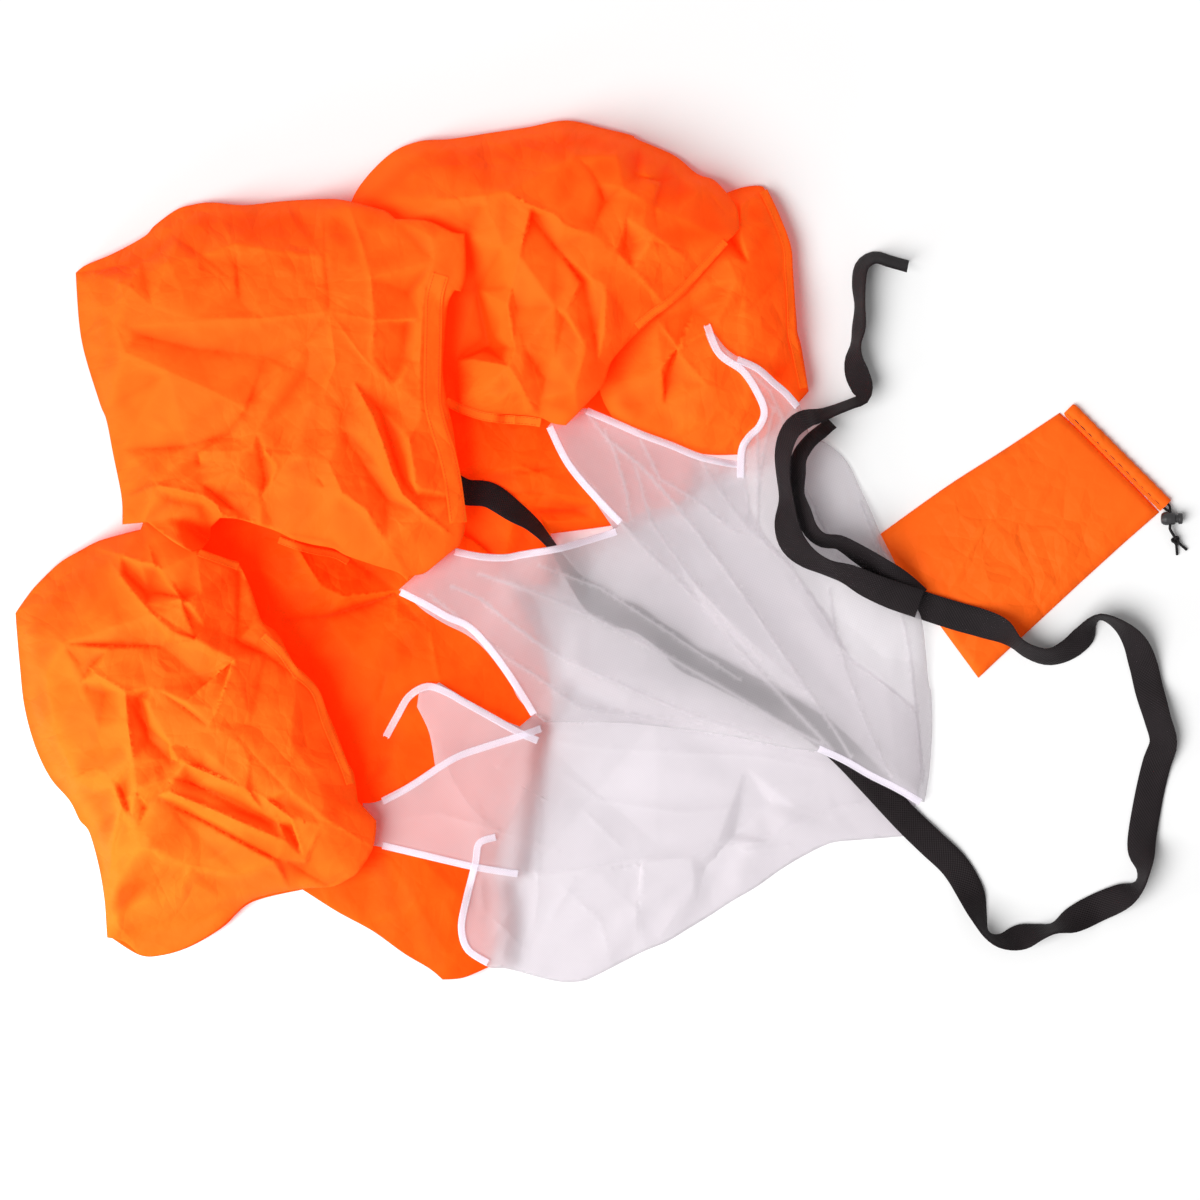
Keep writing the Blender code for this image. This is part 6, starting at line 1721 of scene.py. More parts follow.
LOWER_LEFT_FOLD_SHARES = (
    # The long crest from the top left into the middle
    ((-0.497, 0.004, 0.2), (-0.470, -0.003, 0.5), (-0.450, -0.010, 0.7), (-0.428, -0.018, 0.5)),
    ((-0.484, -0.006, 0.4), (-0.470, -0.023, 0.8), (-0.452, -0.044, 1.0), (-0.436, -0.062, 1.1),
     (-0.418, -0.078, 1.0),
     (-0.393, -0.086, 0.8)),
    ((-0.464, -0.021, -0.3), (-0.442, -0.040, -0.6), (-0.407, -0.045, -0.5)),
    ((-0.442, -0.051, 0.5), (-0.405, -0.057, 0.7), (-0.400, -0.050, 0.6)),
    ((-0.443, 0.008, 0.2), (-0.435, -0.015, 0.8), (-0.408, -0.047, 0.9), (-0.394, -0.086, 0.6)),
    # The valley beside the hem, and its crest
    ((-0.353, -0.020, -0.8), (-0.353, -0.050, -1.0), (-0.353, -0.088, -0.8), (-0.325, -0.102, -0.4),
     (-0.296, -0.130, 0.0)),
    ((-0.394, -0.002, 0.3), (-0.388, -0.040, 0.0), (-0.385, -0.075, -0.2)),
    ((-0.348, -0.014, 0.6), (-0.330, -0.068, 0.9), (-0.318, -0.085, 0.9), (-0.296, -0.112, 0.7)),
    # The star of creases in the middle
    ((-0.381, -0.173, 0.7), (-0.407, -0.152, 0.3), (-0.404, -0.148, 0.8), (-0.356, -0.106, 0.9)),
    ((-0.404, -0.148, 0.2), (-0.384, -0.130, -0.5), (-0.360, -0.112, -0.3)),
    ((-0.381, -0.173, 0.7), (-0.390, -0.178, 0.6)),
    ((-0.372, -0.156, 0.9), (-0.356, -0.107, 0.9)),
    ((-0.436, -0.134, 0.4), (-0.407, -0.152, 0.4)),
    ((-0.526, -0.091, 0.2), (-0.428, -0.093, -0.1), (-0.393, -0.086, 0.6)),
    ((-0.481, -0.096, 0.5), (-0.500, -0.115, -0.4), (-0.510, -0.130, 0.2)),
    ((-0.501, -0.114, -0.2), (-0.491, -0.122, 0.7), (-0.463, -0.138, 0.8), (-0.436, -0.134, 0.5)),
    ((-0.485, -0.140, -0.5), (-0.490, -0.175, -0.3)),
    # The dark facet under them
    ((-0.463, -0.138, 0.9), (-0.460, -0.170, 0.8), (-0.456, -0.205, 0.7)),
    ((-0.450, -0.145, -0.6), (-0.440, -0.185, -0.9), (-0.420, -0.205, -0.7), (-0.390, -0.212, -0.4)),
    ((-0.440, -0.152, 0.2), (-0.422, -0.184, 0.3), (-0.405, -0.193, 0.4), (-0.383, -0.197, 0.4)),
    ((-0.379, -0.170, 0.7), (-0.340, -0.196, 0.7), (-0.300, -0.235, 0.6), (-0.270, -0.270, 0.4)),
    ((-0.340, -0.170, 0.1), (-0.300, -0.190, 0.2), (-0.275, -0.225, 0.2)),
    # The two pleat bands
    ((-0.413, -0.205, 0.8), (-0.344, -0.234, 0.9), (-0.332, -0.238, 0.6)),
    ((-0.416, -0.223, 0.2), (-0.325, -0.259, 0.1)),
    ((-0.400, -0.228, -0.7), (-0.330, -0.262, -0.8), (-0.300, -0.274, -0.5)),
    ((-0.420, -0.236, 0.8), (-0.307, -0.285, 0.8)),
    ((-0.432, -0.242, -0.2), (-0.313, -0.305, -0.1)),
    ((-0.304, -0.287, 0.8), (-0.325, -0.243, 0.6), (-0.338, -0.236, 0.5)),
    ((-0.325, -0.243, 0.6), (-0.300, -0.263, 0.7), (-0.288, -0.305, 0.2)),
    ((-0.317, -0.247, 0.0), (-0.265, -0.264, 0.4), (-0.222, -0.291, 0.3)),
    ((-0.286, -0.310, -0.4), (-0.264, -0.331, -0.2)),
    ((-0.304, -0.287, 0.8), (-0.317, -0.307, 0.6)),
    # The gathered corner
    ((-0.478, -0.224, 0.6), (-0.468, -0.234, -0.3), (-0.459, -0.261, 0.5)),
    ((-0.453, -0.234, 0.7), (-0.445, -0.253, -0.2), (-0.451, -0.270, 0.5)),
    ((-0.476, -0.232, 0.4), (-0.468, -0.251, 0.5), (-0.483, -0.310, 0.6)),
    ((-0.450, -0.290, 0.2), (-0.400, -0.310, 0.5), (-0.350, -0.320, 0.3)),
    ((-0.545, -0.120, 0.3), (-0.535, -0.180, 0.4), (-0.515, -0.225, 0.5)),
)
LOWER_LEFT_CREASE_SHARES = (
    (0.8, 0.7, 0.0, (-0.497, 0.004), (-0.470, -0.003), (-0.450, -0.010), (-0.428, -0.018)),
    (0.8, 0.9, 0.0, (-0.484, -0.006), (-0.470, -0.023), (-0.452, -0.044), (-0.436, -0.062), (-0.418, -0.078)),
    (0.8, 0.6, 0.0, (-0.442, -0.051), (-0.405, -0.057), (-0.400, -0.050)),
    (-0.7, 0.6, 0.0, (-0.439, -0.057), (-0.394, -0.086)),
    (0.8, 0.6, 0.0, (-0.443, 0.008), (-0.435, -0.015), (-0.408, -0.047), (-0.394, -0.084)),
    (-0.9, 0.7, 0.0, (-0.353, -0.020), (-0.353, -0.060), (-0.353, -0.088), (-0.325, -0.102), (-0.298, -0.122)),
    (0.7, 0.6, 0.0, (-0.404, -0.148), (-0.356, -0.106)),
    (0.7, 0.6, 0.0, (-0.381, -0.172), (-0.372, -0.156), (-0.356, -0.107)),
    (-0.8, 0.6, 0.0, (-0.436, -0.132), (-0.407, -0.152), (-0.381, -0.172)),
    (-0.6, 0.8, 0.0, (-0.526, -0.091), (-0.428, -0.093)),
    (-0.8, 0.7, 0.0, (-0.481, -0.096), (-0.500, -0.115)),
    (-0.7, 0.7, 0.0, (-0.524, -0.094), (-0.507, -0.113)),
    (0.8, 0.7, 0.0, (-0.500, -0.114), (-0.491, -0.122), (-0.463, -0.138), (-0.436, -0.150)),
    (0.9, 0.6, 0.0, (-0.463, -0.138), (-0.460, -0.170), (-0.456, -0.205)),
    (-0.8, 0.7, 0.0, (-0.463, -0.140), (-0.442, -0.174), (-0.422, -0.190), (-0.383, -0.197)),
    (-0.6, 0.8, 0.0, (-0.356, -0.178), (-0.330, -0.208), (-0.300, -0.240)),
    (0.8, 0.7, 0.0, (-0.413, -0.205), (-0.344, -0.234), (-0.332, -0.238)),
    (-0.7, 0.6, 0.0, (-0.418, -0.223), (-0.325, -0.259)),
    (0.8, 0.6, 0.0, (-0.420, -0.236), (-0.307, -0.285)),
    (-0.8, 0.6, 0.0, (-0.432, -0.242), (-0.313, -0.305)),
    (0.9, 0.6, 0.0, (-0.338, -0.236), (-0.325, -0.243), (-0.304, -0.287)),
    (0.8, 0.6, 0.0, (-0.325, -0.243), (-0.300, -0.263), (-0.288, -0.305)),
    (-0.9, 0.7, 0.0, (-0.306, -0.306), (-0.286, -0.320), (-0.264, -0.333)),
    (0.6, 0.7, 0.0, (-0.317, -0.247), (-0.265, -0.264), (-0.222, -0.291)),
    (-0.9, 0.5, 0.0, (-0.478, -0.224), (-0.468, -0.234), (-0.459, -0.261)),
    (-0.9, 0.5, 0.0, (-0.453, -0.234), (-0.445, -0.253), (-0.451, -0.270)),
    (0.8, 0.5, 0.0, (-0.468, -0.245), (-0.451, -0.240), (-0.440, -0.252)),
    (0.7, 0.6, 0.0, (-0.476, -0.232), (-0.468, -0.251), (-0.480, -0.290), (-0.483, -0.330)),
    (0.5, 0.8, 0.0, (-0.515, -0.225), (-0.495, -0.215), (-0.480, -0.222)),
    (-0.5, 0.8, 0.0, (-0.512, -0.109), (-0.505, -0.122), (-0.500, -0.140)),
)
INSIDE_LEFT_FOLD_SHARES = (
    ((-0.301, 0.012, 0.8), (-0.285, -0.015, 1.2), (-0.272, -0.035, 1.0), (-0.250, -0.045, 0.8),
     (-0.199, -0.039, 0.6)),
    ((-0.335, -0.015, 0.6), (-0.306, -0.036, 0.6), (-0.272, -0.048, 0.4)),
    ((-0.318, -0.069, -0.2), (-0.268, -0.064, -0.4), (-0.226, -0.051, -0.3), (-0.200, -0.041, 0.0)),
    ((-0.285, 0.030, -0.6), (-0.255, 0.000, -0.8), (-0.225, -0.020, -0.7)),
    ((-0.199, -0.042, 0.3), (-0.198, -0.069, 0.6), (-0.165, -0.078, 0.5), (-0.156, -0.128, 0.3)),
    ((-0.209, -0.121, 0.4), (-0.217, -0.149, 0.0), (-0.225, -0.200, 0.0)),
    ((-0.240, -0.100, 0.6), (-0.209, -0.121, 0.6)),
    ((-0.290, -0.100, -0.6), (-0.260, -0.180, -0.8), (-0.235, -0.240, -0.8), (-0.220, -0.280, -0.5)),
    ((-0.200, -0.200, 0.0), (-0.180, -0.300, 0.2)),
    ((-0.180, -0.350, 0.6), (-0.171, -0.400, 0.2)),
    ((-0.140, -0.340, 0.5), (-0.150, -0.400, 0.3)),
)
INSIDE_LEFT_CREASE_SHARES = (
    (1.0, 0.7, -0.6, (-0.305, 0.020), (-0.285, -0.015), (-0.272, -0.035)),
    (0.7, 0.6, 0.0, (-0.272, -0.035), (-0.250, -0.045), (-0.199, -0.039)),
    (-0.6, 0.7, 0.0, (-0.318, -0.069), (-0.268, -0.064), (-0.226, -0.051), (-0.200, -0.041)),
    (0.6, 0.7, 0.0, (-0.199, -0.042), (-0.198, -0.069)),
    (0.6, 0.8, 0.0, (-0.165, -0.078), (-0.156, -0.128)),
    (-0.5, 0.7, 0.0, (-0.209, -0.121), (-0.217, -0.149)),
    (0.6, 0.8, 0.0, (-0.335, -0.015), (-0.306, -0.036)),
)
INSIDE_RIGHT_FOLD_SHARES = (
    ((-0.141, 0.100, 0.0), (-0.120, 0.088, 0.6), (-0.085, 0.078, 0.3), (-0.040, 0.085, 0.0)),
    ((-0.120, 0.140, 0.4), (-0.115, 0.105, 0.6), (-0.085, 0.100, 0.5)),
    ((-0.110, 0.073, 0.0), (-0.060, 0.075, 0.6), (-0.020, 0.060, 0.3)),
    ((-0.080, 0.050, 0.5), (-0.040, 0.058, 0.6), (0.000, 0.050, 0.3)),
    ((-0.060, 0.040, -0.4), (-0.020, 0.042, -0.4)),
    ((-0.050, 0.030, 0.5), (0.000, 0.032, 0.4)),
)
INSIDE_RIGHT_CREASE_SHARES = (
    (0.7, 0.8, 0.0, (-0.105, 0.082), (-0.075, 0.085), (-0.035, 0.070)),
    (-0.6, 0.8, 0.0, (-0.105, 0.053), (-0.070, 0.060), (-0.030, 0.055)),
    (0.6, 0.8, 0.0, (-0.090, 0.047), (-0.040, 0.045), (0.000, 0.040)),
    (-0.6, 0.8, 0.0, (-0.070, 0.035), (-0.020, 0.034)),
    (0.6, 0.8, 0.0, (-0.120, 0.140), (-0.110, 0.110), (-0.095, 0.095)),
)

UPPER_NET_SHARES = (
    (-0.048, 0.124), (-0.036, 0.135), (-0.011, 0.143), (0.019, 0.130), (0.044, 0.119), (0.074, 0.107),
    (0.101, 0.096), (0.126, 0.090), (0.141, 0.086), (0.143, 0.102), (0.150, 0.114), (0.160, 0.124),
    (0.166, 0.137), (0.162, 0.153), (0.146, 0.176), (0.126, 0.190), (0.116, 0.198), (0.108, 0.216),
    (0.117, 0.216), (0.130, 0.200), (0.144, 0.191), (0.159, 0.184), (0.176, 0.169), (0.188, 0.161),
    (0.201, 0.148), (0.208, 0.130), (0.214, 0.114), (0.228, 0.110), (0.244, 0.098), (0.254, 0.085),
    (0.262, 0.068), (0.275, 0.040), (0.283, 0.020), (0.296, -0.006), (0.306, -0.028), (0.318, -0.052),
    (0.326, -0.073), (0.332, -0.128), (0.335, -0.142), (0.336, -0.175), (0.334, -0.209),
    (0.332, -0.228), (0.328, -0.250), (0.313, -0.245), (0.301, -0.238), (0.273, -0.223),
    (0.250, -0.210), (0.235, -0.201), (0.189, -0.195), (0.136, -0.184), (0.087, -0.177),
    (0.041, -0.172), (0.004, -0.170), (-0.024, -0.170), (-0.051, -0.170), (-0.076, -0.148),
    (-0.088, -0.124), (-0.112, -0.093), (-0.127, -0.077), (-0.147, -0.068), (-0.170, -0.055),
    (-0.196, -0.038), (-0.168, -0.014), (-0.139, 0.004), (-0.114, -0.003), (-0.090, -0.003),
    (-0.073, 0.000), (-0.055, 0.003), (-0.037, 0.006), (-0.012, 0.013), (0.004, 0.018), (0.023, 0.026),
    (0.000, 0.056), (-0.014, 0.070), (-0.027, 0.085), (-0.040, 0.108),
)
LOWER_NET_SHARES = (
    (-0.176, -0.140), (-0.156, -0.130), (-0.132, -0.145), (-0.114, -0.156), (-0.096, -0.166),
    (-0.076, -0.174), (-0.064, -0.164), (-0.080, -0.140), (-0.096, -0.116), (-0.112, -0.096),
    (-0.130, -0.082), (-0.150, -0.072), (-0.172, -0.058), (-0.192, -0.040), (-0.166, -0.016),
    (-0.138, 0.000), (-0.114, -0.006), (-0.090, -0.006), (-0.055, 0.000), (-0.012, 0.010),
    (0.019, 0.021), (-0.004, 0.054), (-0.018, 0.072), (-0.032, 0.090), (-0.043, 0.120), (-0.011, 0.138),
    (0.019, 0.126), (0.044, 0.115), (0.074, 0.103), (0.101, 0.092), (0.126, 0.086), (0.146, 0.082),
    (0.150, 0.052), (0.169, 0.017), (0.194, -0.014), (0.212, -0.041), (0.228, -0.062), (0.242, -0.089),
    (0.253, -0.107), (0.286, -0.130), (0.320, -0.159), (0.326, -0.208), (0.319, -0.256),
    (0.310, -0.284), (0.286, -0.286), (0.262, -0.288), (0.235, -0.291), (0.209, -0.303),
    (0.184, -0.318), (0.160, -0.335), (0.136, -0.349), (0.113, -0.364), (0.090, -0.378),
    (0.070, -0.390), (0.046, -0.400), (0.001, -0.423), (-0.014, -0.429), (-0.032, -0.430),
    (-0.050, -0.427), (-0.072, -0.421), (-0.091, -0.416), (-0.108, -0.414), (-0.131, -0.398),
    (-0.137, -0.376), (-0.133, -0.348), (-0.124, -0.326), (-0.122, -0.314), (-0.144, -0.310),
    (-0.170, -0.305), (-0.193, -0.299), (-0.216, -0.293), (-0.234, -0.291), (-0.232, -0.250),
    (-0.216, -0.248), (-0.185, -0.231), (-0.160, -0.213), (-0.166, -0.180), (-0.178, -0.154),
)
MESH_UPPER_FOLD_SHARES = (
    ((0.024, 0.030, 0.0), (0.085, -0.020, 0.5), (0.150, -0.085, 0.5), (0.220, -0.150, 0.3),
     (0.300, -0.225, 0.0)),
    ((0.165, 0.010, 0.5), (0.200, -0.042, 0.4), (0.230, -0.085, 0.4), (0.290, -0.130, 0.3),
     (0.320, -0.150, 0.0)),
    ((0.233, -0.003, -0.3), (0.250, -0.070, -0.4), (0.285, -0.105, -0.4)),
    ((0.180, 0.050, 0.4), (0.130, 0.020, 0.2)),
    ((0.060, 0.020, -0.2), (0.110, -0.060, -0.3), (0.190, -0.140, -0.3)),
)
MESH_LOWER_FOLD_SHARES = (
    ((-0.040, -0.120, 0.3), (0.060, -0.170, 0.5), (0.150, -0.215, 0.5), (0.232, -0.236, 0.2)),
    ((-0.060, -0.180, 0.3), (0.000, -0.240, -0.2), (0.060, -0.290, 0.2)),
    ((-0.070, -0.325, 0.6), (0.000, -0.318, 0.7), (0.045, -0.312, 0.7), (0.095, -0.303, 0.6),
     (0.122, -0.289, 0.6),
     (0.175, -0.289, 0.3)),
    ((0.044, -0.312, 0.6), (0.043, -0.360, 0.4), (0.050, -0.398, 0.2)),
    ((0.172, -0.250, -0.4), (0.140, -0.280, -0.6), (0.110, -0.315, -0.4), (0.100, -0.350, 0.0)),
    ((0.200, -0.255, 0.3), (0.235, -0.265, 0.3)),
)
MESH_UPPER_CREASE_SHARES = (
    (0.8, 1.3, 0.0, (-0.030, 0.093), (-0.003, 0.062), (0.026, 0.028), (0.054, -0.002), (0.080, -0.025),
     (0.107, -0.054), (0.144, -0.098), (0.194, -0.154), (0.236, -0.198)),
    (0.7, 0.9, 0.0, (-0.011, 0.140), (0.010, 0.113), (0.044, 0.086), (0.094, 0.030), (0.144, -0.038),
     (0.194, -0.112), (0.254, -0.204)),
    (0.5, 0.8, 0.0, (0.008, 0.122), (0.019, 0.097), (0.029, 0.064), (0.035, 0.031)),
    (0.6, 1.2, 0.0, (-0.116, -0.022), (-0.080, -0.034), (-0.045, -0.046), (0.004, -0.068),
     (0.064, -0.100), (0.124, -0.134), (0.194, -0.176), (0.236, -0.198)),
    (0.6, 0.9, 0.0, (-0.144, -0.034), (-0.116, -0.046), (-0.089, -0.068), (-0.062, -0.088),
     (-0.027, -0.109), (0.009, -0.125), (0.045, -0.141), (0.098, -0.163), (0.174, -0.186)),
    (0.5, 0.8, 0.0, (-0.166, -0.042), (-0.116, -0.082), (-0.089, -0.105), (-0.062, -0.122),
     (-0.036, -0.141), (-0.016, -0.154), (0.044, -0.164), (0.104, -0.170)),
    (0.5, 0.8, 0.0, (0.044, 0.112), (0.064, 0.072), (0.104, 0.049), (0.137, 0.021), (0.162, 0.017)),
    (0.6, 0.9, 0.0, (0.104, 0.092), (0.144, 0.032), (0.194, -0.014), (0.212, -0.041), (0.228, -0.062),
     (0.242, -0.089), (0.253, -0.107), (0.286, -0.130), (0.320, -0.159)),
    (0.4, 0.7, 0.0, (0.233, -0.036), (0.240, -0.091), (0.264, -0.158), (0.294, -0.223)),
    (0.6, 1.4, 0.0, (0.152, 0.112), (0.146, 0.082), (0.152, 0.047), (0.148, 0.020)),
    (0.5, 0.9, 0.0, (0.160, 0.122), (0.162, 0.072), (0.161, 0.019)),
    (0.4, 0.8, 0.0, (0.040, 0.082), (0.054, 0.032), (0.104, -0.038), (0.164, -0.108)),
    (0.4, 0.7, 0.0, (-0.056, -0.014), (0.004, -0.036), (0.084, -0.088), (0.144, -0.128)),
    (0.5, 0.8, 0.0, (0.264, 0.052), (0.292, -0.018), (0.312, -0.088), (0.320, -0.159), (0.326, -0.228)),
    (0.4, 0.8, 0.0, (0.126, 0.202), (0.154, 0.167), (0.176, 0.142), (0.170, 0.112), (0.160, 0.052)),
    (0.4, 0.8, 0.0, (0.142, 0.186), (0.172, 0.160), (0.190, 0.122), (0.204, 0.072), (0.244, -0.008)),
)
MESH_LOWER_CREASE_SHARES = (
    (0.6, 1.2, 0.0, (-0.051, -0.172), (-0.013, -0.164), (0.044, -0.170), (0.104, -0.183),
     (0.164, -0.194), (0.233, -0.212)),
    (0.5, 0.9, 0.0, (-0.051, -0.186), (0.004, -0.196), (0.085, -0.200), (0.164, -0.204),
     (0.233, -0.218)),
    (0.7, 2.0, 0.0, (-0.056, -0.173), (-0.076, -0.181), (-0.105, -0.190), (-0.132, -0.198),
     (-0.156, -0.212), (-0.185, -0.231), (-0.214, -0.249)),
    (0.7, 1.6, 0.0, (-0.176, -0.303), (-0.149, -0.307), (-0.117, -0.315), (-0.087, -0.320),
     (-0.051, -0.321), (-0.015, -0.317), (0.011, -0.312), (0.044, -0.307), (0.104, -0.307),
     (0.126, -0.294), (0.160, -0.290), (0.234, -0.256), (0.302, -0.245)),
    (0.6, 2.2, 0.0, (-0.156, -0.190), (-0.144, -0.224), (-0.129, -0.249), (-0.115, -0.265),
     (-0.095, -0.277)),
    (0.6, 1.8, 0.0, (-0.060, -0.212), (-0.066, -0.230), (-0.078, -0.251), (-0.093, -0.275)),
    (0.5, 1.5, 0.0, (-0.107, -0.284), (-0.115, -0.292), (-0.116, -0.314)),
    (0.5, 0.8, 0.0, (-0.048, -0.175), (-0.074, -0.186), (-0.099, -0.215)),
    (0.5, 1.0, 0.0, (-0.058, -0.208), (-0.056, -0.248), (-0.058, -0.289), (-0.058, -0.348),
     (-0.069, -0.400)),
    (0.5, 1.2, 0.0, (-0.062, -0.325), (-0.076, -0.345), (-0.094, -0.372), (-0.105, -0.389),
     (-0.124, -0.402)),
    (0.5, 1.0, 0.0, (-0.115, -0.320), (-0.114, -0.339), (-0.112, -0.361)),
    (0.4, 0.8, 0.0, (-0.106, -0.363), (-0.092, -0.375), (-0.069, -0.400)),
    (0.4, 0.8, 0.0, (-0.078, -0.364), (-0.087, -0.386), (-0.096, -0.407)),
    (0.6, 0.8, 0.0, (0.045, -0.314), (0.040, -0.353), (0.040, -0.389)),
    (0.4, 0.7, 0.0, (-0.019, -0.325), (-0.047, -0.368)),
    (0.4, 0.7, 0.0, (0.086, -0.350), (0.063, -0.386)),
    (0.4, 0.7, 0.0, (-0.013, -0.257), (0.028, -0.298)),
    (0.5, 0.8, 0.0, (0.145, -0.299), (0.174, -0.296), (0.197, -0.292)),
    (0.5, 0.8, 0.0, (0.234, -0.267), (0.265, -0.249)),
    (-0.6, 1.4, 0.0, (0.174, -0.248), (0.144, -0.278), (0.110, -0.314), (0.094, -0.353)),
    (0.4, 0.8, 0.0, (-0.036, -0.218), (0.004, -0.248), (0.084, -0.260), (0.164, -0.254)),
    (0.4, 0.8, 0.0, (-0.216, -0.268), (-0.156, -0.260), (-0.096, -0.278), (-0.036, -0.298)),
    (0.4, 0.8, 0.0, (-0.036, -0.332), (0.004, -0.368), (0.016, -0.413)),
)

# Bindings: routes along the mesh's edges, in shares of the layout length
BINDING_ROUTE_SHARES = {
    "binding_top_left": ((-0.046, 0.124), (-0.028, 0.088), (-0.002, 0.056), (0.024, 0.029)),
    "binding_top_right": (
        (-0.009, 0.140), (0.019, 0.128), (0.044, 0.117), (0.074, 0.106), (0.101, 0.095), (0.126, 0.089),
        (0.141, 0.087),
    ),
    "binding_right_tail": (
        (0.110, 0.224), (0.122, 0.196), (0.146, 0.178), (0.161, 0.155), (0.167, 0.138), (0.162, 0.124),
        (0.152, 0.114), (0.145, 0.101), (0.144, 0.074),
    ),
    "binding_right_edge": ((0.140, 0.190), (0.160, 0.181), (0.176, 0.167), (0.187, 0.158), (0.200, 0.144)),
    "binding_left_upper": (
        (-0.140, 0.000), (-0.114, -0.005), (-0.090, -0.006), (-0.073, -0.003), (-0.037, 0.003),
        (-0.012, 0.010), (0.020, 0.020),
    ),
    "binding_left_lower": (
        (-0.194, -0.040), (-0.170, -0.052), (-0.147, -0.065), (-0.127, -0.074), (-0.109, -0.092),
        (-0.086, -0.123), (-0.062, -0.162),
    ),
    "binding_inner_tail": (
        (-0.209, -0.184), (-0.198, -0.164), (-0.186, -0.144), (-0.168, -0.134), (-0.150, -0.139),
        (-0.132, -0.149), (-0.114, -0.159), (-0.080, -0.178), (-0.058, -0.188),
    ),
    "binding_lower_left_upper": (
        (-0.212, -0.248), (-0.184, -0.233), (-0.142, -0.206), (-0.110, -0.194), (-0.078, -0.184),
        (-0.055, -0.176),
    ),
    "binding_lower_left_lower": ((-0.212, -0.292), (-0.170, -0.302), (-0.119, -0.314), (-0.078, -0.321)),
    "binding_bottom_loop": (
        (-0.100, -0.284), (-0.116, -0.290), (-0.120, -0.310), (-0.129, -0.346), (-0.134, -0.374),
        (-0.128, -0.396), (-0.108, -0.410),
    ),
    "binding_mouth": ((0.222, -0.196), (0.248, -0.208), (0.274, -0.223), (0.300, -0.236), (0.324, -0.250)),
}

# Webbing routes: x and y in shares of the layout length, the lift of the middle line in shares of the webbing's
# width and the tilt across its run in shares of a quarter turn
TOW_STRAP_ROUTE_SHARES = (
    (-0.176, 0.076, 0.2, 0.13), (-0.150, 0.068, 0.2, 0.27), (-0.130, 0.059, 0.2, 0.37),
    (-0.106, 0.056, 0.2, 0.37), (-0.081, 0.039, 0.2, 0.51), (-0.063, 0.026, 0.2, 0.67),
    (-0.045, 0.006, 0.2, 0.75), (-0.035, -0.009, 0.2, 0.75), (-0.019, -0.031, 0.2, 0.62),
    (0.000, -0.048, 0.2, 0.13), (0.016, -0.060, 0.2, 0.10), (0.038, -0.066, 0.2, 0.30),
    (0.056, -0.078, 0.2, 0.45), (0.076, -0.092, 0.2, 0.30), (0.092, -0.107, 0.2, 0.10),
    (0.114, -0.117, 0.2, 0.10), (0.144, -0.133, 0.2, 0.15), (0.174, -0.149, 0.2, 0.20),
    (0.200, -0.164, 0.2, 0.15), (0.224, -0.180, 0.2, 0.10), (0.250, -0.203, 0.2, 0.10),
    (0.278, -0.233, 0.2, 0.15), (0.310, -0.267, 0.2, 0.10), (0.334, -0.290, 0.2, 0.00),
    (0.358, -0.313, 0.1, 0.00), (0.373, -0.338, 0.1, 0.15), (0.381, -0.362, 0.3, 0.55),
    (0.389, -0.382, 0.5, 0.85), (0.404, -0.389, 0.4, 0.70), (0.424, -0.385, 0.3, 0.35),
    (0.442, -0.380, 0.4, 0.65), (0.458, -0.376, 0.5, 0.80), (0.476, -0.368, 0.3, 0.35),
    (0.500, -0.356, 0.1, 0.05), (0.524, -0.345, 0.2, 0.30), (0.542, -0.334, 0.5, 0.80),
    (0.547, -0.318, 0.4, 0.75), (0.545, -0.292, 0.2, 0.15), (0.552, -0.248, 0.1, 0.00),
    (0.560, -0.213, 0.1, 0.05), (0.567, -0.190, 0.2, 0.25), (0.561, -0.166, 0.2, 0.30),
    (0.553, -0.138, 0.1, 0.10), (0.547, -0.113, 0.1, 0.15), (0.538, -0.090, 0.3, 0.45),
    (0.523, -0.073, 0.5, 0.75), (0.505, -0.064, 0.6, 0.88), (0.494, -0.070, 0.5, 0.72),
    (0.486, -0.084, 0.3, 0.40), (0.471, -0.097, 0.3, 0.45), (0.452, -0.104, 0.4, 0.60),
    (0.433, -0.099, 0.4, 0.68), (0.418, -0.089, 0.4, 0.70), (0.404, -0.078, 0.3, 0.35),
    (0.385, -0.071, 0.3, 0.10), (0.360, -0.064, 0.3, 0.00), (0.335, -0.056, 0.2, 0.00),
    (0.312, -0.048, 0.2, 0.00), (0.293, -0.040, 0.2, 0.00),
)
SHORT_HALF_ROUTE_SHARES = (
    (0.322, -0.048, 0.5, 0.00), (0.302, -0.032, 0.5, 0.27), (0.280, -0.014, 0.5, 0.51),
    (0.259, 0.000, 0.5, 0.62), (0.242, 0.010, 0.5, 0.70), (0.226, 0.012, 0.5, 0.70),
    (0.214, 0.022, 0.5, 0.67), (0.207, 0.040, 0.5, 0.67), (0.201, 0.057, 0.5, 0.70),
    (0.201, 0.077, 0.5, 0.65), (0.203, 0.094, 0.4, 0.70), (0.213, 0.109, 0.4, 0.72),
    (0.226, 0.120, 0.4, 0.70), (0.236, 0.128, 0.4, 0.72),
)
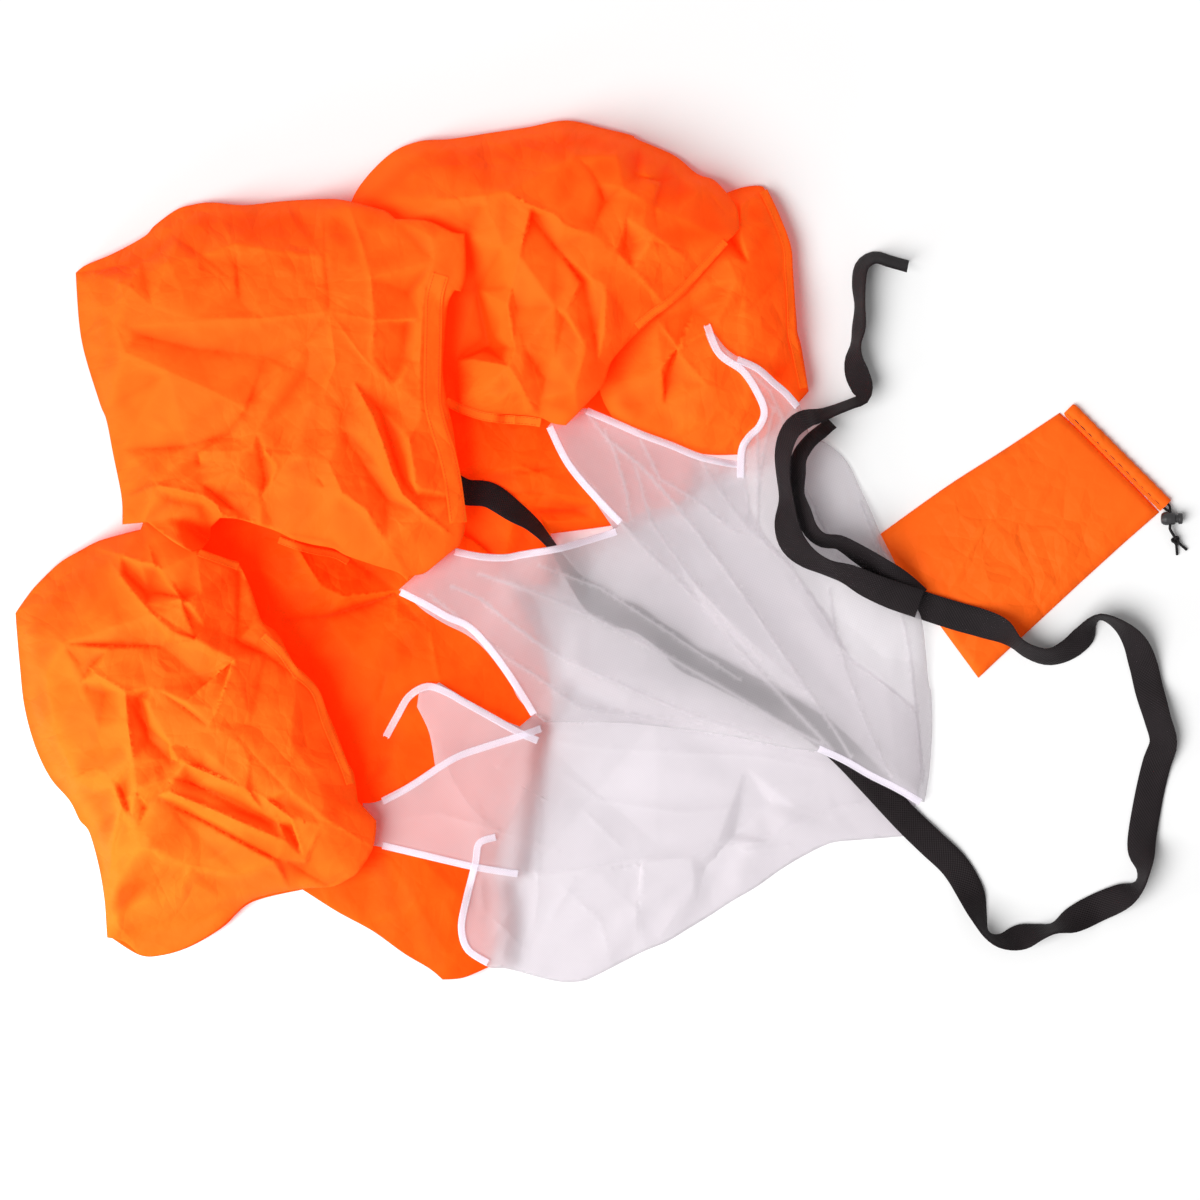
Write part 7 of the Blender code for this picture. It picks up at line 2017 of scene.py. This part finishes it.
LONG_HALF_ROUTE_SHARES = (
    (0.322, -0.052, 0.9, 0.00), (0.296, -0.043, 0.9, 0.00), (0.272, -0.033, 0.8, 0.21),
    (0.251, -0.022, 0.8, 0.51), (0.230, -0.015, 0.8, 0.65), (0.210, -0.005, 0.8, 0.54),
    (0.196, 0.009, 0.8, 0.37), (0.190, 0.028, 0.8, 0.41), (0.190, 0.052, 0.8, 0.59),
    (0.187, 0.077, 0.8, 0.65), (0.187, 0.100, 0.8, 0.65), (0.194, 0.120, 0.7, 0.65),
    (0.208, 0.131, 0.6, 0.62), (0.226, 0.136, 0.5, 0.67), (0.242, 0.142, 0.5, 0.75),
    (0.255, 0.147, 0.5, 0.77), (0.266, 0.152, 0.5, 0.72), (0.266, 0.164, 0.3, 0.48),
    (0.261, 0.178, 0.2, 0.41), (0.258, 0.192, 0.3, 0.59), (0.260, 0.207, 0.4, 0.80),
    (0.263, 0.224, 0.4, 0.72), (0.264, 0.246, 0.4, 0.80), (0.263, 0.267, 0.4, 0.72),
    (0.266, 0.285, 0.4, 0.70), (0.278, 0.293, 0.4, 0.70), (0.293, 0.289, 0.4, 0.70),
    (0.311, 0.284, 0.4, 0.70),
)

# Bag outline without its channel: along the bag in shares of its length, across in shares of its width
BAG_OUTLINE_SHARES = (
    (-0.486, 0.500), (-0.300, 0.488), (-0.100, 0.470), (0.130, 0.434),
    (0.400, 0.400), (0.418, 0.240), (0.436, 0.000), (0.452, -0.220),
    (0.463, -0.404), (0.280, -0.416), (0.060, -0.436), (-0.180, -0.462),
    (-0.400, -0.486), (-0.513, -0.500), (-0.506, -0.250), (-0.499, 0.000),
    (-0.492, 0.250),
)

BAG_CREASE_SHARES = (
    (0.9, 1.0, 0.0, (0.404, 0.047), (0.376, 0.006), (0.352, -0.040)),
    (-0.5, 1.2, 0.0, (0.480, 0.110), (0.450, 0.060), (0.440, 0.020)),
    (0.4, 1.2, 0.0, (0.500, 0.060), (0.460, 0.020), (0.400, -0.020)),
    (-0.4, 1.2, 0.0, (0.330, 0.000), (0.360, -0.050), (0.380, -0.080)),
)

# Hems of the canopy: routes along the cloths' edges

HEM_ROUTE_SHARES = (
    # Width in shares of a hem's width, and then its places
    (2.4, ((-0.153, 0.272), (-0.159, 0.250), (-0.160, 0.222), (-0.161, 0.185), (-0.161, 0.149), (-0.156, 0.125),
           (-0.147, 0.096), (-0.141, 0.067), (-0.136, 0.028))),
    (1.2, ((-0.148, 0.148), (-0.127, 0.139), (-0.105, 0.133), (-0.068, 0.130), (-0.055, 0.128))),
    (1.0, ((0.128, 0.306), (0.090, 0.264), (0.069, 0.244), (0.057, 0.236), (0.040, 0.222))),
    (1.2, ((0.167, 0.360), (0.179, 0.334), (0.190, 0.304), (0.192, 0.280), (0.194, 0.247), (0.195, 0.217),
           (0.199, 0.200), (0.207, 0.163))),
    (1.0, ((-0.392, -0.001), (-0.354, -0.015))),
    (1.1, ((-0.328, -0.083), (-0.312, -0.098), (-0.298, -0.118), (-0.278, -0.138), (-0.266, -0.172),
           (-0.250, -0.210), (-0.243, -0.230))),
    (1.0, ((-0.316, 0.012), (-0.299, 0.006), (-0.281, 0.001), (-0.260, -0.003), (-0.247, -0.010))),
)


# The canopy and the mesh, from the ground up


def canopy_cloths(rows):
    """Lays cloths of the canopy, each from its node's name, tables, seed and turn of the grain."""
    for material, slot_name, node, outline, folds, creases, seed, grain in rows:
        lay_cloth((node,), outline, setting("canopy_sizes"), material, slot_name, seed, folds, creases, grain)


def webbing_piece(node, table):
    """One length of webbing over its CAD node."""
    sizes = setting("webbing_sizes")
    obj, path = stiff_band(
        f"dressed_{node}", table, sizes.width, sizes.thickness, sizes.step, finish("polypropylene_webbing")
    )
    dress(obj, "parachute", "webbing_black", node)


def binding_pieces():
    """White tapes sewn on the mesh's edges."""
    sizes = setting("mesh_sizes")
    for node, route in BINDING_ROUTE_SHARES.items():
        obj, path = limp_band(
            f"dressed_{node}", route, sizes.binding_width, sizes.binding_thickness, sizes.binding_width / 2,
            finish("woven_binding_tape"),
        )
        dress(obj, "parachute", "binding_white", node)


class PARACHUTE_OT_inside(bpy.types.Operator):
    """Lay the canopy's inner side"""

    bl_idname = "parachute.inside"
    bl_label = "Canopy inside"

    def execute(self, context):
        inner = ("canopy_uncoated_inside", "canopy_inside")
        outer = ("canopy_coated_polyester", "canopy_orange")
        canopy_cloths((
            (*inner, "canopy_inside_right", INSIDE_RIGHT_SHARES, INSIDE_RIGHT_FOLD_SHARES,
             INSIDE_RIGHT_CREASE_SHARES, 31, 0.3),
            (*inner, "canopy_inside_left", INSIDE_LEFT_SHARES, INSIDE_LEFT_FOLD_SHARES,
             INSIDE_LEFT_CREASE_SHARES, 33, -0.4),
            (*outer, "canopy_lobe_right", RIGHT_SHARES, RIGHT_FOLD_SHARES, RIGHT_CREASE_SHARES, 35, 0.5),
        ))
        return {"FINISHED"}


class PARACHUTE_OT_mesh_lower(bpy.types.Operator):
    """Lay the mesh star's lower layer"""

    bl_idname = "parachute.mesh_lower"
    bl_label = "Mesh, lower layer"

    def execute(self, context):
        lay_cloth(
            LOWER_NET_NODES, LOWER_NET_SHARES, setting("mesh_sizes"), "warp_knitted_net", "mesh_white",
            seed=41, folds=MESH_LOWER_FOLD_SHARES, creases=MESH_LOWER_CREASE_SHARES, grain=0.2,
            single=UPPER_NET_SHARES,
        )
        return {"FINISHED"}


class PARACHUTE_OT_bag(bpy.types.Operator):
    """Lay the storage bag with its drawstring channel"""

    bl_idname = "parachute.bag"
    bl_label = "Storage bag"

    def execute(self, context):
        sizes = setting("bag_sizes")
        outline = smooth_outline(bag_places(BAG_OUTLINE_SHARES), sizes.spacing)
        patch = ground.patch(outline)
        base = top_of_nodes(patch, ("bag_front_panel", "bag_back_panel"))
        grid, detail, lines = cloth_grid(patch, outline, base, sizes, (), BAG_CREASE_SHARES, BAG_SEED)
        inside = smoothed(np.isfinite(node_mask(patch, outline)).astype(float), patch.whole, BAG_RIM_CELLS)
        rim = np.clip(inside * BAG_RIM_SLOPE - BAG_RIM_DROP, BAG_FLAT_SHARE, 1.0)
        grid = FLOOR_GAP * 2 + (grid - FLOOR_GAP * 2) * rim
        cloth = finish("bag_coated_polyester")
        panels = sheet_piece(
            patch, "dressed_bag_panels", outline, grid, lines, detail, 0.0, sizes.spacing, cloth, BAG_TURN,
            FLOOR_GAP,
        )
        patch.lay(np.where(np.isfinite(node_mask(patch, outline)), grid, -np.inf))
        dress(panels, "storage_bag", "bag_orange", "bag_front_panel", "bag_back_panel")
        local = channel_skin()
        sleeve = ring_piece("dressed_channel", channel_places(local), local[..., :2], cloth)
        lay_piece(sleeve)
        dress(sleeve, "storage_bag", "bag_orange", "bag_drawstring_channel")
        return {"FINISHED"}


class PARACHUTE_OT_drawcord(bpy.types.Operator):
    """Make the drawcord, its knot and the cord lock's finish"""

    bl_idname = "parachute.drawcord"
    bl_label = "Drawcord and cord lock"

    def execute(self, context):
        path = drawcord_path()
        look = (CORD_DIAMETER / 2, CORD_SIDES, finish("braided_cord"), BRAID_TURN)
        cord = tube_piece("dressed_drawcord", path, *look)
        parts = [tube_piece(f"knot_{number}", turns, *look) for number, turns in enumerate(knot_paths())]
        for piece, node in ((cord, "drawcord"), (joined("dressed_knot", parts), "drawcord_knot")):
            dress(piece, "storage_bag", "cord_black", node)
            lay_piece(piece)
        for node in ("cord_lock_barrel", "cord_lock_plunger"):
            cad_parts[node].material_slots[0].material = finish("moulded_acetal")
        path, low, high = spring_path()
        spring = tube_piece(
            "dressed_spring", path, SPRING_WIRE / 2, SPRING_SIDES, finish("drawn_spring_wire")
        )
        dress(spring, "cord_lock", "spring_steel", "cord_lock_spring")
        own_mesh(spring)
        return {"FINISHED"}


class PARACHUTE_OT_tow_strap(bpy.types.Operator):
    """Lay the tow strap"""

    bl_idname = "parachute.tow_strap"
    bl_label = "Tow strap"

    def execute(self, context):
        webbing_piece("tow_strap", TOW_STRAP_ROUTE_SHARES)
        return {"FINISHED"}


class PARACHUTE_OT_mesh_upper(bpy.types.Operator):
    """Lay the mesh star's points, its upper layer and its bindings"""

    bl_idname = "parachute.mesh_upper"
    bl_label = "Mesh, points and upper layer"

    def execute(self, context):
        lay_cloth(
            UPPER_NET_NODES, UPPER_NET_SHARES, setting("mesh_sizes"), "warp_knitted_net", "mesh_white",
            seed=43, folds=MESH_UPPER_FOLD_SHARES, creases=MESH_UPPER_CREASE_SHARES, grain=0.5,
        )
        binding_pieces()
        return {"FINISHED"}


class PARACHUTE_OT_waist_belt(bpy.types.Operator):
    """Lay the waist belt's two halves"""

    bl_idname = "parachute.waist_belt"
    bl_label = "Waist belt"

    def execute(self, context):
        webbing_piece("waist_belt_short_half", SHORT_HALF_ROUTE_SHARES)
        webbing_piece("waist_belt_long_half", LONG_HALF_ROUTE_SHARES)
        return {"FINISHED"}


class PARACHUTE_OT_lobes(bpy.types.Operator):
    """Lay the canopy's outer lobes"""

    bl_idname = "parachute.lobes"
    bl_label = "Canopy lobes"

    def execute(self, context):
        sizes = setting("canopy_sizes")
        outer = ("canopy_coated_polyester", "canopy_orange")
        canopy_cloths((
            (*outer, "canopy_lobe_lower_left", LOWER_LEFT_SHARES, LOWER_LEFT_FOLD_SHARES,
             LOWER_LEFT_CREASE_SHARES, 51, -0.3),
            (*outer, "canopy_lobe_top", TOP_SHARES, TOP_FOLD_SHARES, TOP_CREASE_SHARES, 53, 0.2),
            (*outer, "canopy_lobe_upper_left", UPPER_LEFT_SHARES, UPPER_LEFT_FOLD_SHARES,
             UPPER_LEFT_CREASE_SHARES, 55, 0.1),
        ))
        for number, (width_share, line) in enumerate(HEM_ROUTE_SHARES):
            hem, _ = limp_band(
                f"hem_{number + 1}", line, sizes.hem_width * width_share, sizes.hem_thickness,
                sizes.hem_width / 2, finish("hem_tape"),
            )
            dress(hem, "parachute", "canopy_orange")
        return {"FINISHED"}


class PARACHUTE_OT_stitches(bpy.types.Operator):
    """Sew the hems, the bindings and the bag"""

    bl_idname = "parachute.stitches"
    bl_label = "Stitches"

    def execute(self, context):
        canopy = setting("canopy_sizes")
        mesh = setting("mesh_sizes")
        lines = []
        for width_share, line in HEM_ROUTE_SHARES:
            lines += beside(line, canopy.hem_width * width_share * STITCH_PLACE_SHARE)
        sew("stitches_hems", lines, "orange_thread", "parachute", "canopy_orange")
        lines = []
        for line in BINDING_ROUTE_SHARES.values():
            lines += beside(line, mesh.binding_width * STITCH_PLACE_SHARE)
        sew("stitches_bindings", lines, "white_thread", "parachute", "binding_white")
        half = CHANNEL_LENGTH / 2 * STITCH_RUN_SHARE
        across = HEM_FLAT_LENGTH - CHANNEL_WIDTH / 2
        line = channel_places([(-half, across, 0.0), (0.0, across, 0.0), (half, across, 0.0)])[:, :2]
        sew("stitches_bag", [line], "orange_thread", "storage_bag", "bag_orange")
        return {"FINISHED"}


def beside(line, away):
    """Two lines of places, to the left and right of a route."""
    even, _ = even_route(line, setting("stitch_sizes").pitch)
    places = even[:, :2] * LAYOUT_LENGTH
    _, side = side_of(places)
    return [places + side * away, places - side * away]


# Stage


def white_world(ambient):
    """Even light from all round, seen as plain white."""
    world = bpy.data.worlds.new("studio")
    world.use_nodes = True
    tree = world.node_tree
    tree.nodes.clear()
    rays = add_node(tree, "ShaderNodeLightPath").outputs
    glossy = worked_out(tree, "MAXIMUM", rays["Is Camera Ray"], rays["Is Glossy Ray"])
    seen = worked_out(tree, "MAXIMUM", glossy, rays["Is Transmission Ray"])
    lit, plain = (
        add_node(tree, "ShaderNodeBackground", {"Color": opaque(WHITE), "Strength": strength}).outputs[0]
        for strength in (ambient, 1.0)
    )
    add_node(tree, "ShaderNodeOutputWorld", {"Surface": mixed(tree, seen, lit, plain)})
    bpy.context.scene.world = world


def floor_material(base):
    """White studio paper: matt, and plain white to the camera where nothing shades it."""
    material, tree = new_material("studio_paper")
    seen = add_node(tree, "ShaderNodeLightPath").outputs["Is Camera Ray"]
    surface = add_node(tree, "ShaderNodeBsdfDiffuse", {"Color": blended_colour(tree, seen, base, WHITE)})
    show(tree, surface.outputs[0])
    return material


class PARACHUTE_OT_stage(bpy.types.Operator):
    """Set up the floor, the soft light and the camera"""

    bl_idname = "parachute.stage"
    bl_label = "Stage"

    def execute(self, context):
        sizes = setting("stage_sizes")
        half = sizes.floor_size / 2
        corners = [(-half, -half, 0.0), (half, -half, 0.0), (half, half, 0.0), (-half, half, 0.0)]
        paper = floor_material(setting("finish_colours").floor)
        new_piece("floor", corners, [(0, 1, 2, 3)], paper, False)
        middle = Vector((*spots([PICTURE_PLACE_SHARES])[0], 0.0))
        camera = linked("camera", bpy.data.cameras.new("camera"))
        camera.location = middle + Vector((0.0, 0.0, sizes.camera_height))
        camera.data.sensor_width = SENSOR_WIDTH
        camera.data.lens = SENSOR_WIDTH * sizes.camera_height / sizes.span
        camera.data.clip_end = CAMERA_REACH
        context.scene.camera = camera
        white_world(sizes.light * (1.0 - sizes.lamp_share))
        side = linked("side_lamp", bpy.data.lights.new("side_lamp", "AREA"))
        side.data.size = sizes.side_size
        side.data.energy = sizes.side_power
        side.location = middle + Vector((sizes.side_across, sizes.side_along, sizes.side_height))
        side.rotation_euler = (side.location - middle).to_track_quat("Z", "Y").to_euler()
        side.visible_camera = False
        slant = math.sin(sizes.lamp_height)
        level = math.cos(sizes.lamp_height)
        away = Vector((math.cos(sizes.lamp_turn) * level, math.sin(sizes.lamp_turn) * level, slant))
        lamp = linked("soft_lamp", bpy.data.lights.new("soft_lamp", "SUN"))
        lamp.data.angle = sizes.lamp_softness
        lamp.data.energy = sizes.light * sizes.lamp_share * math.pi / slant
        lamp.location = middle + away * sizes.camera_height
        lamp.rotation_euler = away.to_track_quat("Z", "Y").to_euler()
        context.scene.view_settings.view_transform = "Standard"
        return {"FINISHED"}


class PARACHUTE_PT_sidebar(bpy.types.Panel):
    """Lists the steps that build the parachute"""

    bl_idname = "PARACHUTE_PT_sidebar"
    bl_label = "Speed parachute"
    bl_space_type = "VIEW_3D"
    bl_region_type = "UI"
    bl_category = "Parachute"

    def draw(self, context):
        for step in STEPS:
            self.layout.operator(step.bl_idname)


STEPS = (
    PARACHUTE_OT_stage,
    PARACHUTE_OT_inside,
    PARACHUTE_OT_mesh_lower,
    PARACHUTE_OT_bag,
    PARACHUTE_OT_drawcord,
    PARACHUTE_OT_tow_strap,
    PARACHUTE_OT_mesh_upper,
    PARACHUTE_OT_waist_belt,
    PARACHUTE_OT_lobes,
    PARACHUTE_OT_stitches,
)


def register():
    for kind in (*GROUPS.values(), *STEPS, PARACHUTE_PT_sidebar):
        bpy.utils.register_class(kind)
    for name, kind in GROUPS.items():
        setattr(bpy.types.Scene, name, PointerProperty(type=kind))


def unregister():
    for name in GROUPS:
        delattr(bpy.types.Scene, name)
    for kind in reversed((*GROUPS.values(), *STEPS, PARACHUTE_PT_sidebar)):
        bpy.utils.unregister_class(kind)


def main():
    register()
    for step in STEPS:
        group, name = step.bl_idname.split(".")
        getattr(getattr(bpy.ops, group), name)()


if __name__ == "__main__":
    main()
